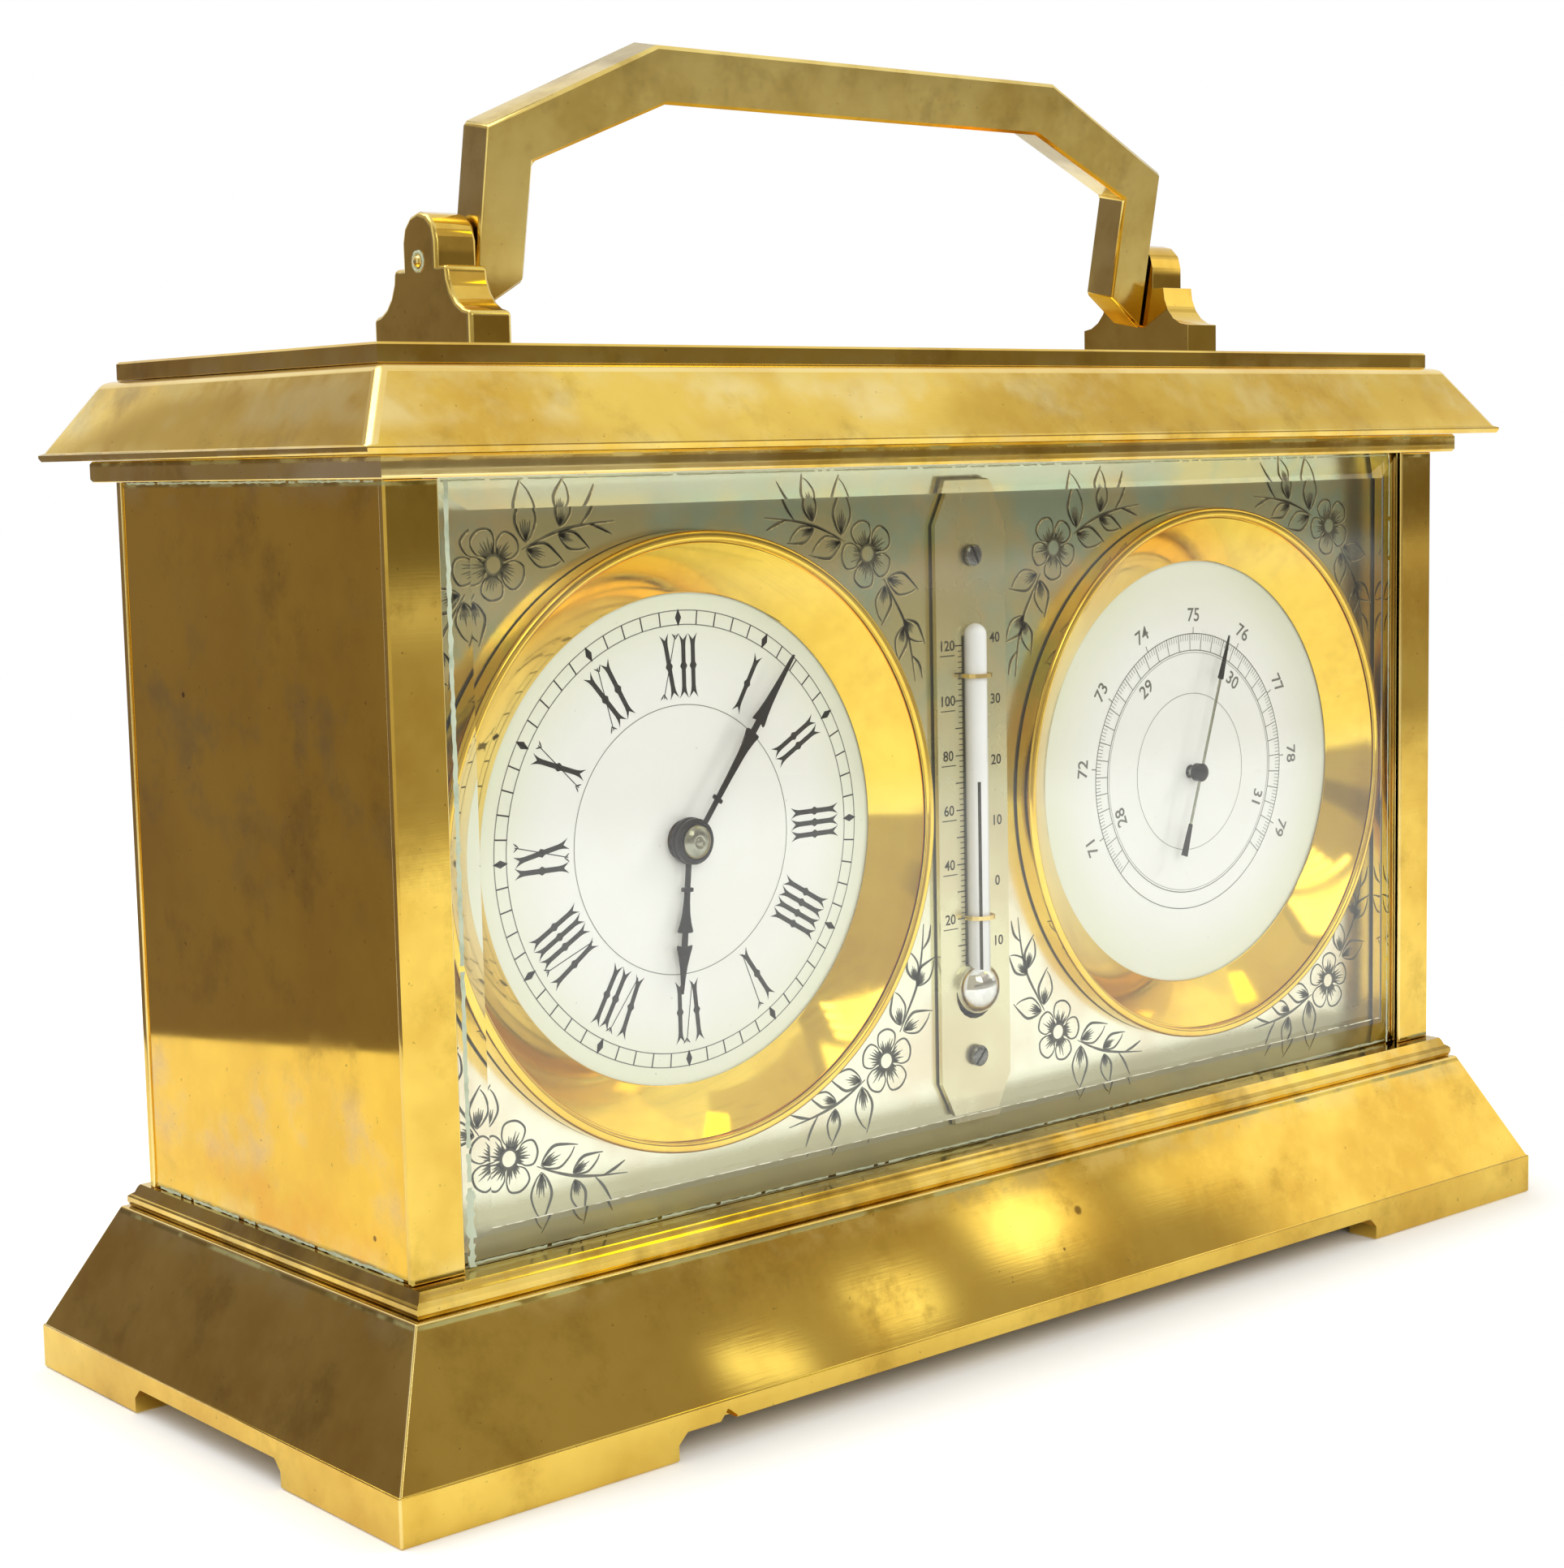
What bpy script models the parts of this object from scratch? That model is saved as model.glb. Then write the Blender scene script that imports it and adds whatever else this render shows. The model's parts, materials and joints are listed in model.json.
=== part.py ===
# Desk compendium in a brass case: clock, thermometer and aneroid barometer behind one
# bevelled glass, with a folding carrying handle on top and a door at the back.
# Metres, +Z up. The front faces -Y. The origin is on the ground, under the middle.

import math

import bmesh
import bpy
from mathutils import Vector

# Clearances and mesh fineness

SEAT_GAP = 0.0003
PIVOT_GAP = 0.00025
CUT_OVERRUN = 0.0010
SMOOTH_ANGLE = math.radians(35)
BEZEL_SEGMENTS = 40
DIAL_SEGMENTS = 32
CAPSULE_SEGMENTS = 20
DRUM_SEGMENTS = 24
KNOB_SEGMENTS = 16
KNOB_STEPS = 6
ROD_SEGMENTS = 10
PIVOT_SEGMENTS = 8

# The two bezels with the thermometer between them, from which the case takes its width and
# height, and the depth that the movement needs

BEZEL_RADIUS = 0.0349
BEZEL_SIDE_MARGIN = 0.0011
BEZEL_MIDDLE_MARGIN = 0.00225
BEZEL_MARGIN_BELOW = 0.0062
BEZEL_MARGIN_ABOVE = 0.0063
THERMOMETER_HALF_WIDTH = 0.00585
PILLAR_FACE = 0.0066
BODY_HALF_DEPTH = 0.0282
DIAL_SIDE = THERMOMETER_HALF_WIDTH + BEZEL_MIDDLE_MARGIN + BEZEL_RADIUS
BODY_HALF_WIDTH = DIAL_SIDE + BEZEL_RADIUS + BEZEL_SIDE_MARGIN + PILLAR_FACE
PILLAR_LENGTH = 2 * BEZEL_RADIUS + BEZEL_MARGIN_BELOW + BEZEL_MARGIN_ABOVE

# Case: the base moulding, a hollow sloping plinth on four feet

BASE_PROUD_WIDTH = 0.0094
BASE_PROUD_DEPTH = 0.0108
BASE_LIP_HEIGHT = 0.0054
BASE_HEIGHT = 0.0198
BASE_SLOPE_INSET = 0.0073
BASE_WALL = 0.0045
FLANGE_THICKNESS = 0.0022
FLANGE_INSET_WIDTH = 0.0096
FLANGE_INSET_DEPTH = 0.0127
NOTCH_HEIGHT = 0.0031
FOOT_WIDTH = 0.0351
FOOT_DEPTH = 0.0230
NOTCH_FLARE = 0.0012
BASE_HALF_WIDTH = BODY_HALF_WIDTH + BASE_PROUD_WIDTH
BASE_HALF_DEPTH = BODY_HALF_DEPTH + BASE_PROUD_DEPTH
FLANGE_HALF_WIDTH = BODY_HALF_WIDTH - FLANGE_INSET_WIDTH
FLANGE_HALF_DEPTH = BODY_HALF_DEPTH - FLANGE_INSET_DEPTH
NOTCH_HALF_WIDTH = BASE_HALF_WIDTH - FOOT_WIDTH
NOTCH_HALF_DEPTH = BASE_HALF_DEPTH - FOOT_DEPTH

# Case: the moulded plate on the base

BASE_PLATE_THICKNESS = 0.0022
BASE_PLATE_OUTSET = -0.0006
BASE_BEAD_STEP = 0.0009
BASE_BEAD_HEIGHT = 0.0011
EDGE_SOFTENING = 0.00025

# Case: the body between the plates

PILLAR_DEPTH = 0.0112
GROOVE_DEPTH = 0.0016
GROOVE_CLEARANCE = 0.0003
SIDE_LIP = 0.0011
SIDE_PANEL_THICKNESS = 0.0019
SIDE_PANEL_SETBACK = 0.0003

# Case: the frieze plate, cornice and top plate

FRIEZE_OUTSET = 0.0018
FRIEZE_DEPTH_OUTSET = 0.0026
FRIEZE_THICKNESS = 0.0022
CORNICE_PROUD_WIDTH = 0.0060
CORNICE_PROUD_DEPTH = 0.0069
CORNICE_HALF_WIDTH = BODY_HALF_WIDTH + CORNICE_PROUD_WIDTH
CORNICE_HALF_DEPTH = BODY_HALF_DEPTH + CORNICE_PROUD_DEPTH
CORNICE_LIP = 0.0008
CORNICE_HEIGHT = 0.00865
CORNICE_INSET_WIDTH = 0.0053
CORNICE_INSET_DEPTH = 0.0057
TOP_PLATE_INSET_WIDTH = 0.0011
TOP_PLATE_INSET_DEPTH = 0.0020
TOP_PLATE_THICKNESS = 0.0020

# Screws of the case: shanks run through flange and plate into the pillars

SCREW_RADIUS = 0.0009
SCREW_HEAD_RADIUS = 0.0022
SCREW_HEAD_HEIGHT = 0.0014
SCREW_BITE = 0.0060
SCREW_SIDE = 0.0021
SCREW_BACK = 0.0017

# Handle and its lugs

HANDLE_LEAN = math.radians(10.8)
HANDLE_THICKNESS = 0.0050
HANDLE_INSET = 0.0299
HANDLE_HALF_WIDTH = BODY_HALF_WIDTH - HANDLE_INSET
HANDLE_LEG_WIDTH = 0.0067
HANDLE_SHOULDER = 0.0154
HANDLE_INNER_SHOULDER = 0.0117
HANDLE_TOP = 0.0258
HANDLE_BAR_HEIGHT = 0.0066
HANDLE_SLANT = 0.0229
HANDLE_INNER_SLANT = 0.0249
HANDLE_CORNER = HANDLE_HALF_WIDTH - HANDLE_SLANT
HANDLE_INNER_CORNER = HANDLE_HALF_WIDTH - HANDLE_INNER_SLANT
HANDLE_FOOT_INNER = 0.0016
HANDLE_FOOT_OUTER = 0.0058
HANDLE_EDGE_BEVEL = 0.0004
LUG_GAP = 0.0004
LUG_WIDTH = 0.0058
LUG_HALF_DEPTH = 0.00965
LUG_BASE_HEIGHT = 0.0041
LUG_SHOULDER_HEIGHT = 0.0093
LUG_SHOULDER_HALF_DEPTH = 0.0052
LUG_TONGUE_HALF_DEPTH = 0.0033
LUG_HEIGHT = 0.0154
LUG_PIN_HEIGHT = 0.0099
LUG_PIN_RADIUS = 0.0008
LUG_PIN_HEAD_RADIUS = 0.0011
LUG_PIN_HEAD_HEIGHT = 0.0004
LUG_PIN_REACH = 0.0040
LUG_SCREW_SPREAD = 0.0055
LUG_CURVE_STEPS = 5
LUG_ROUND_STEPS = 6

# Front glass and dial plate, which slide in grooves of the front pillars

GLASS_SETBACK = 0.0005
GLASS_THICKNESS = 0.0018
GLASS_EDGE_THICKNESS = 0.0010
GLASS_BEVEL = 0.0049
DIAL_PLATE_SETBACK = 0.0060
DIAL_PLATE_THICKNESS = 0.0012

# Bezels and dials

BEZEL_WIDTH = 0.0070
BEZEL_LIP_WIDTH = 0.0008
BEZEL_LIP_PROUD = 0.0024
BEZEL_BACK = 0.0016
BEZEL_LAND = 0.0035
BEZEL_NECK_GAP = 0.0004
BEZEL_INNER_RADIUS = BEZEL_RADIUS - BEZEL_WIDTH
BEZEL_NECK_RADIUS = BEZEL_RADIUS - BEZEL_LAND
DIAL_EDGE = 0.0030
DIAL_RADIUS = BEZEL_INNER_RADIUS + DIAL_EDGE
DIAL_THICKNESS = 0.0009
DIAL_FOOT_RADIUS = 0.0006
DIAL_FOOT_INSET = 0.0064
DIAL_FOOT_PLACE = DIAL_RADIUS - DIAL_FOOT_INSET

# Thermometer

THERMOMETER_MARGIN = 0.0029
THERMOMETER_THICKNESS = 0.0006
THERMOMETER_CORNER_WIDTH = 0.0021
THERMOMETER_CORNER_HEIGHT = 0.0042
TUBE_RADIUS = 0.0014
TUBE_END_INSET = 0.0161
BULB_RADIUS = 0.0028
BULB_PLACE = 0.0150
BULB_HOLE_GAP = 0.0005
CLIP_WIRE = 0.0003
CLIP_WIDTH = 0.0005
CLIP_PLACE = 0.0245
CLIP_TOP_INSET = 0.0224
THERMOMETER_SCREW_PLACE = 0.0071
THERMOMETER_SCREW_TOP_INSET = 0.0079
THERMOMETER_SCREW_RADIUS = 0.0013
THERMOMETER_SCREW_HEAD = 0.0006

# Back door

DOOR_THICKNESS = 0.0020
DOOR_CLEARANCE = 0.0004
DOOR_STOP_WIDTH = 0.0015
DOOR_PIN_RADIUS = 0.0007
DOOR_PIN_LENGTH = 0.0014
KNOB_PLACE = 0.0051
KNOB_NECK_RADIUS = 0.0012
KNOB_RADIUS = 0.0023
KNOB_LENGTH = 0.0048

# Movement of the clock: two square plates held by four pillars

MOVEMENT_HALF = 0.0290
MOVEMENT_CORNER = 0.0030
MOVEMENT_PLATE = 0.0016
MOVEMENT_DEPTH = 0.0140
MOTION_SPACE = 0.0054
POST_PLACE = 0.0260
POST_RADIUS = 0.0019
PILLAR_RADIUS = 0.0016
PILLAR_TENON = 0.0009
PLATE_SCREW_HEAD = 0.0017
PLATE_SCREW_HEIGHT = 0.0011

# Train: wheel teeth, leaves of the pinion that the wheel drives, module, and the angle at
# which that pinion lies, seen from the front

BARREL_TEETH = 48
CENTRE_LEAVES = 8
BARREL_MODULE = 0.000625
BARREL_TURN = math.radians(225)
CENTRE_TEETH = 48
THIRD_LEAVES = 6
CENTRE_MODULE = 0.00046
THIRD_TURN = math.radians(60)
THIRD_TEETH = 45
FOURTH_LEAVES = 6
THIRD_MODULE = 0.00038
FOURTH_TURN = math.radians(-20)
FOURTH_TEETH = 48
ESCAPE_LEAVES = 6
FOURTH_MODULE = 0.00033
ESCAPE_TURN = math.radians(-75)
MINUTE_TEETH = 24
CANNON_LEAVES = 8
MINUTE_MODULE = 0.00050
MINUTE_TURN = math.radians(135)
HOUR_TEETH = 24
MINUTE_LEAVES = 6

# Tooth forms in modules above and below the pitch circle, and as shares of the tooth pitch

WHEEL_ADDENDUM_SHARE = 1.1
WHEEL_DEDENDUM_SHARE = 1.2
WHEEL_TIP_SHARE = 0.18
WHEEL_ROOT_SHARE = 0.74
POINTED_TIP_SHARE = 0.0
LEAF_ADDENDUM_SHARE = 0.7
LEAF_DEDENDUM_SHARE = 1.4
LEAF_TIP_SHARE = 0.24
LEAF_ROOT_SHARE = 0.58

# Wheels: thickness, place behind the front plate's inner face, rim and hub

WHEEL_THICKNESS = 0.0008
GREAT_WHEEL_THICKNESS = 0.0010
GREAT_WHEEL_PLACE = 0.0085
DRUM_RADIUS = 0.0134
DRUM_PLACE = 0.0008
CENTRE_WHEEL_PLACE = 0.0107
THIRD_WHEEL_PLACE = 0.0059
FOURTH_WHEEL_PLACE = 0.0025
PINION_OVERHANG = 0.0006
RIM_WIDTH = 0.0013
CENTRE_HUB = 0.0031
THIRD_HUB = 0.0020
SPOKE_WIDTH = 0.0009
SPOKES = 4
SPOKE_ARC_STEPS = 3
CENTRE_ARBOR = 0.0010
CENTRE_FRONT_ARBOR = 0.0007
ARBOR_RADIUS = 0.00050
FOURTH_ARBOR_RADIUS = 0.00045
ESCAPE_ARBOR_RADIUS = 0.00035
PIVOT_RADIUS = 0.00028
PIVOT_HOLE = 0.00055
ARBOR_END_SHAKE = 0.0003
WINDING_RADIUS = 0.0012
WINDING_SQUARE_HALF = 0.0011
WINDING_REACH = 0.0118
SETTING_SQUARE_HALF = 0.0008
SETTING_REACH = 0.0070
SQUARE_LENGTH = 0.0060

# Motion work between the front plate and the dial

CANNON_PIPE = 0.00135
CANNON_BORE = 0.0010
CANNON_PINION_START = 0.0012
CANNON_PINION_LENGTH = 0.0018
MINUTE_WHEEL_START = 0.0017
MINUTE_PINION_LENGTH = 0.0023
MINUTE_POST_RADIUS = 0.0004
MINUTE_BORE = 0.0006
HOUR_WHEEL_START = 0.0036
HOUR_PIPE = 0.0020
HOUR_BORE = 0.00165

# Hands of the clock

HAND_THICKNESS = 0.0003
HOUR_HAND_STANDOFF = 0.0011
HAND_SPACING = 0.0010
MINUTE_HAND_INSET = 0.0027
HOUR_HAND_INSET = 0.0107
MINUTE_HAND_LENGTH = BEZEL_INNER_RADIUS - MINUTE_HAND_INSET
HOUR_HAND_LENGTH = BEZEL_INNER_RADIUS - HOUR_HAND_INSET
HAND_EYE_RADIUS = 0.0030
HAND_HALF_WIDTH = 0.0013
HAND_EYE_STEPS = 16
MINUTE_HAND_ANGLE = math.radians(37.2)
HOUR_HAND_ANGLE = math.radians(183.1)
COLLET_RADIUS = 0.0023
COLLET_HEIGHT = 0.0012

# Outline of the hands: (share of the length from the centre, share of the half width)

MINUTE_HAND_SHARES = (
    (0.220, 0.28), (0.222, 0.95), (0.244, 0.95), (0.246, 0.28), (0.560, 0.36), (0.535, 1.15),
    (0.600, 0.70), (0.650, 0.34), (0.630, 1.00), (0.700, 0.55), (0.960, 0.14),
)
HOUR_HAND_SHARES = (
    (0.310, 0.32), (0.312, 1.05), (0.344, 1.05), (0.346, 0.32), (0.600, 0.40), (0.560, 1.35),
    (0.650, 0.80), (0.700, 0.40), (0.670, 1.20), (0.760, 0.62), (0.950, 0.16),
)
BAROMETER_ARROW_SHARES = ((0.70, 0.32), (0.70, 1.00), (0.90, 0.42))
BAROMETER_TAIL_SHARES = ((0.56, 0.32), (0.56, 0.90), (0.97, 0.90))

# Ratchet and click on the back plate

RATCHET_RADIUS = 0.0060
RATCHET_DEPTH = 0.0008
RATCHET_TEETH = 20
RATCHET_TIP_SHARE = 0.85
RATCHET_THICKNESS = 0.0010
CLICK_DISTANCE = 0.0098
CLICK_TURN = math.radians(100)
CLICK_EYE = 0.0016
CLICK_SCREW = 0.0007
CLICK_NOSE_TURN = math.radians(62)
CLICK_NOSE_GAP = 0.0002
CLICK_NOSE_WIDTH = 0.0009

# Platform escapement, set flat on the back plate

PLATFORM_HALF_WIDTH = 0.0090
PLATFORM_TOP = 0.0050
PLATFORM_BOTTOM = 0.0205
PLATFORM_THICKNESS = 0.0010
ESCAPE_TIP = 0.0038
ESCAPE_ROOT = 0.0030
ESCAPE_TEETH = 15
ESCAPE_ROOT_SHARE = 0.10
ESCAPE_HEEL_SHARE = 0.86
ESCAPE_THICKNESS = 0.0004
ESCAPE_STANDOFF = 0.0011
LEVER_DISTANCE = 0.0052
LEVER_THICKNESS = 0.0005
LEVER_STAFF = 0.0004
PALLET_CLEARANCE = 0.0004
PALLET_LENGTH = 0.0003
PALLET_SPREAD = math.radians(48)
PALLET_TURN = math.radians(5)
ANCHOR_WIDTH = 0.0008
ANCHOR_STEPS = 8
LEVER_ARM_HALF = 0.0003
FORK_REACH = 0.0028
FORK_HALF = 0.0008
FORK_SLOT_HALF = 0.0003
FORK_SLOT_DEPTH = 0.0006
LEVER_BOSS = 0.0009
BALANCE_DISTANCE = 0.0100
BALANCE_RADIUS = 0.0065
BALANCE_RIM = 0.0010
BALANCE_THICKNESS = 0.0008
BALANCE_STANDOFF = 0.0031
BALANCE_ARM_HALF = 0.0005
BALANCE_STAFF = 0.00035
ROLLER_RADIUS = 0.0019
ROLLER_THICKNESS = 0.0004
ROLLER_STANDOFF = 0.0021
IMPULSE_PLACE = 0.0015
IMPULSE_RADIUS = 0.0002
IMPULSE_LENGTH = 0.0008
SPRING_STANDOFF = 0.0043
SPRING_HEIGHT = 0.0003
SPRING_INNER = 0.0011
SPRING_OUTER = 0.0036
SPRING_STRIP = 0.00014
SPRING_TURNS = 3
SPRING_STEPS = 10
COCK_STANDOFF = 0.0052
COCK_THICKNESS = 0.0009
COCK_FOOT_HALF = 0.0030
COCK_FOOT_TOP = 0.0070
COCK_FOOT_BOTTOM = 0.0100
COCK_HEAD = 0.0020
COCK_HEAD_STEPS = 8
SMALL_COCK_STANDOFF = 0.0021
SMALL_COCK_THICKNESS = 0.0006
SMALL_COCK_HEAD = 0.0009
SMALL_COCK_FOOT_IN = 0.0046
SMALL_COCK_FOOT_OUT = 0.0074
SMALL_COCK_FOOT_LOW = 0.0044
SMALL_COCK_FOOT_HIGH = 0.0016

# Aneroid: capsule, main spring, bridge, rocking shaft and hand arbor

ANEROID_PLATE_PLACE = 0.0232
ANEROID_PLATE_THICKNESS = 0.0020
CAPSULE_RADIUS = 0.0190
CAPSULE_DEPTH = 0.0046
CAPSULE_BASE = 0.0015
CAPSULE_BASE_RADIUS = 0.0060
CAPSULE_RING_DEPTH = 0.0009
CAPSULE_RINGS = 2
CAPSULE_STUD = 0.0022
CAPSULE_STUD_HEIGHT = 0.0014
CAPSULE_RIM = 0.0014
CAPSULE_EDGE = 0.0006
LEAF_THICKNESS = 0.0012
LEAF_HALF_WIDTH = 0.0080
LEAF_PLACE = 0.0215
LEAF_FOOT_LENGTH = 0.0050
LEAF_END = 0.0080
LEAF_RADIUS = 0.0030
LEAF_STEPS = 5
BRIDGE_HALF_SPAN = 0.0245
BRIDGE_THICKNESS = 0.0012
BRIDGE_HALF_HEIGHT = 0.0035
BRIDGE_PLACE = 0.0038
REGULATOR_HEIGHT = 0.0140
REGULATOR_PLACE = 0.0113
REGULATOR_RADIUS = 0.0008
REGULATOR_PIVOT = 0.0004
REGULATOR_HALF_SPAN = 0.0154
REGULATOR_ARM_HALF = 0.0006
REGULATOR_TAIL = 0.0050
REGULATOR_REACH = 0.0078
REGULATOR_POST_WIDTH = 0.0024
REGULATOR_POST_HALF = 0.0014
HAND_ARBOR = 0.0006
HAND_DRUM = 0.0008
HAND_DRUM_PLACE = 0.0010
HAND_DRUM_LENGTH = 0.0016
BAROMETER_HAND_INSET = 0.0091
BAROMETER_HAND_LENGTH = BEZEL_INNER_RADIUS - BAROMETER_HAND_INSET
BAROMETER_TAIL = 0.0116
BAROMETER_HALF_WIDTH = 0.00055
BAROMETER_EYE_RADIUS = 0.0014
BAROMETER_BOSS_RADIUS = 0.0019
BAROMETER_BOSS_HEIGHT = 0.0012
BAROMETER_HAND_STANDOFF = 0.0010
BAROMETER_HAND_ANGLE = math.radians(17.7)

# Heights and depths that follow from the sizes above

BASE_PLATE_LOW = BASE_HEIGHT + SEAT_GAP
BASE_PLATE_HIGH = BASE_PLATE_LOW + BASE_PLATE_THICKNESS
PILLAR_LOW = BASE_PLATE_HIGH + SEAT_GAP
PILLAR_HIGH = PILLAR_LOW + PILLAR_LENGTH
DIAL_HEIGHT = PILLAR_LOW + BEZEL_MARGIN_BELOW + BEZEL_RADIUS
FRIEZE_LOW = PILLAR_HIGH + SEAT_GAP
FRIEZE_HIGH = FRIEZE_LOW + FRIEZE_THICKNESS
CORNICE_LOW = FRIEZE_HIGH + SEAT_GAP
CORNICE_HIGH = CORNICE_LOW + CORNICE_HEIGHT
TOP_PLATE_LOW = CORNICE_HIGH + SEAT_GAP
TOP_PLATE_HIGH = TOP_PLATE_LOW + TOP_PLATE_THICKNESS
LUG_LOW = TOP_PLATE_HIGH + SEAT_GAP
PIN_HEIGHT = LUG_LOW + LUG_PIN_HEIGHT
THERMOMETER_BOTTOM = PILLAR_LOW + THERMOMETER_MARGIN
THERMOMETER_TOP = PILLAR_HIGH - THERMOMETER_MARGIN
TUBE_TOP = THERMOMETER_TOP - TUBE_END_INSET
BULB_HEIGHT = THERMOMETER_BOTTOM + BULB_PLACE
CLIP_HEIGHTS = (THERMOMETER_BOTTOM + CLIP_PLACE, THERMOMETER_TOP - CLIP_TOP_INSET)
THERMOMETER_SCREW_HEIGHTS = (
    THERMOMETER_BOTTOM + THERMOMETER_SCREW_PLACE,
    THERMOMETER_TOP - THERMOMETER_SCREW_TOP_INSET,
)

FRONT = -BODY_HALF_DEPTH
BACK = BODY_HALF_DEPTH
OPENING_HALF = BODY_HALF_WIDTH - PILLAR_FACE
SHEET_HALF = OPENING_HALF + GROOVE_DEPTH - GROOVE_CLEARANCE
GLASS_FRONT = FRONT + GLASS_SETBACK
GLASS_BACK = GLASS_FRONT + GLASS_THICKNESS
PLATE_FRONT = FRONT + DIAL_PLATE_SETBACK
PLATE_BACK = PLATE_FRONT + DIAL_PLATE_THICKNESS
BEZEL_SEAT = PLATE_FRONT - SEAT_GAP
DIAL_FRONT = PLATE_FRONT + BEZEL_BACK + SEAT_GAP
DIAL_BACK = DIAL_FRONT + DIAL_THICKNESS
FRONT_PLATE_FRONT = DIAL_BACK + MOTION_SPACE
FRONT_PLATE_BACK = FRONT_PLATE_FRONT + MOVEMENT_PLATE
BACK_PLATE_FRONT = FRONT_PLATE_BACK + MOVEMENT_DEPTH
BACK_PLATE_BACK = BACK_PLATE_FRONT + MOVEMENT_PLATE
PLATFORM_FRONT = BACK_PLATE_BACK + SEAT_GAP
PLATFORM_BACK = PLATFORM_FRONT + PLATFORM_THICKNESS
HOUR_HAND_BACK = DIAL_FRONT - HOUR_HAND_STANDOFF
MINUTE_HAND_BACK = HOUR_HAND_BACK - HAND_SPACING
MINUTE_HAND_FRONT = MINUTE_HAND_BACK - HAND_THICKNESS
ANEROID_FRONT = PLATE_BACK + ANEROID_PLATE_PLACE
DOOR_AXIS = (OPENING_HALF - DOOR_CLEARANCE - DOOR_THICKNESS / 2, BACK - DOOR_THICKNESS / 2)


def around(centre, distance, angle):
    return (centre[0] + distance * math.cos(angle), centre[1] + distance * math.sin(angle))


def centre_distance(teeth, leaves, module):
    return (teeth + leaves) * module / 2


CLOCK = (-DIAL_SIDE, DIAL_HEIGHT)
BAROMETER = (DIAL_SIDE, DIAL_HEIGHT)
BARREL = around(CLOCK, centre_distance(BARREL_TEETH, CENTRE_LEAVES, BARREL_MODULE), BARREL_TURN)
THIRD = around(CLOCK, centre_distance(CENTRE_TEETH, THIRD_LEAVES, CENTRE_MODULE), THIRD_TURN)
FOURTH = around(THIRD, centre_distance(THIRD_TEETH, FOURTH_LEAVES, THIRD_MODULE), FOURTH_TURN)
ESCAPE = around(FOURTH, centre_distance(FOURTH_TEETH, ESCAPE_LEAVES, FOURTH_MODULE), ESCAPE_TURN)
MOTION_DISTANCE = centre_distance(MINUTE_TEETH, CANNON_LEAVES, MINUTE_MODULE)
HOUR_MODULE = 2 * MOTION_DISTANCE / (HOUR_TEETH + MINUTE_LEAVES)
MINUTE = around(CLOCK, MOTION_DISTANCE, MINUTE_TURN)
LEVER = (ESCAPE[0], ESCAPE[1] - LEVER_DISTANCE)
BALANCE = (ESCAPE[0], ESCAPE[1] - BALANCE_DISTANCE)
CLICK = around(BARREL, CLICK_DISTANCE, CLICK_TURN)


# Mesh helpers. Plane coordinates (u, v) are (y, z) across X, (x, z) across Y and (x, y) across Z.

def place(u, v, along, axis):
    if axis == "X":
        return (along, u, v)
    if axis == "Y":
        return (u, along, v)
    return (u, v, along)


def prism(bm, outline, low, high, axis):
    rings = [[bm.verts.new(place(u, v, w, axis)) for u, v in outline] for w in (low, high)]
    count = len(outline)
    bm.faces.new(rings[0])
    bm.faces.new(rings[1])
    for i in range(count):
        n = (i + 1) % count
        bm.faces.new((rings[0][i], rings[0][n], rings[1][n], rings[1][i]))


def box(bm, low, high):
    outline = [(low[0], low[1]), (high[0], low[1]), (high[0], high[1]), (low[0], high[1])]
    prism(bm, outline, low[2], high[2], "Z")


# A turned solid. The profile is a list of (radius, place along the axis). It starts and
# ends on the axis, or is a closed ring that stays off it.
def turned(bm, profile, centre, axis, segments):
    rings = []
    for radius, along in profile:
        if radius == 0:
            rings.append([bm.verts.new(place(centre[0], centre[1], along, axis))])
            continue
        ring = []
        for k in range(segments):
            u, v = around(centre, radius, math.tau * k / segments)
            ring.append(bm.verts.new(place(u, v, along, axis)))
        rings.append(ring)
    pairs = list(zip(rings, rings[1:]))
    if all(radius > 0 for radius, along in profile):
        pairs.append((rings[-1], rings[0]))
    for a, b in pairs:
        for k in range(segments):
            n = (k + 1) % segments
            corners = [a[k % len(a)], a[n % len(a)], b[n % len(b)], b[k % len(b)]]
            corners = list(dict.fromkeys(corners))
            if len(corners) > 2:
                bm.faces.new(corners)


def rod(bm, centre, radius, low, high, axis, segments=ROD_SEGMENTS):
    outline = [around(centre, radius, math.tau * k / segments) for k in range(segments)]
    prism(bm, outline, low, high, axis)


# A ring of four mitred lengths. The section is a closed list of (half width, half depth, height).
def mitred_ring(bm, section):
    loops = [rectangle_loop(bm, *corner) for corner in section]
    for a, b in zip(loops, loops[1:] + loops[:1]):
        link_loops(bm, a, b)


# A plate whose edge is moulded. The section runs from the bottom to the top.
def moulded_plate(bm, section):
    loops = [rectangle_loop(bm, *corner) for corner in section]
    for a, b in zip(loops, loops[1:]):
        link_loops(bm, a, b)
    bm.faces.new(loops[0])
    bm.faces.new(loops[-1])


def rectangle_loop(bm, half_width, half_depth, height):
    corners = [(-1, -1), (1, -1), (1, 1), (-1, 1)]
    return [bm.verts.new((a * half_width, b * half_depth, height)) for a, b in corners]


def link_loops(bm, a, b):
    for i in range(len(a)):
        n = (i + 1) % len(a)
        bm.faces.new((a[i], a[n], b[n], b[i]))


def mirrored(outline, side):
    return [(side * u, v) for u, v in outline]


def arc(centre, radius, start, end, steps):
    return [around(centre, radius, start + (end - start) * k / steps) for k in range(steps + 1)]


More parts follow.
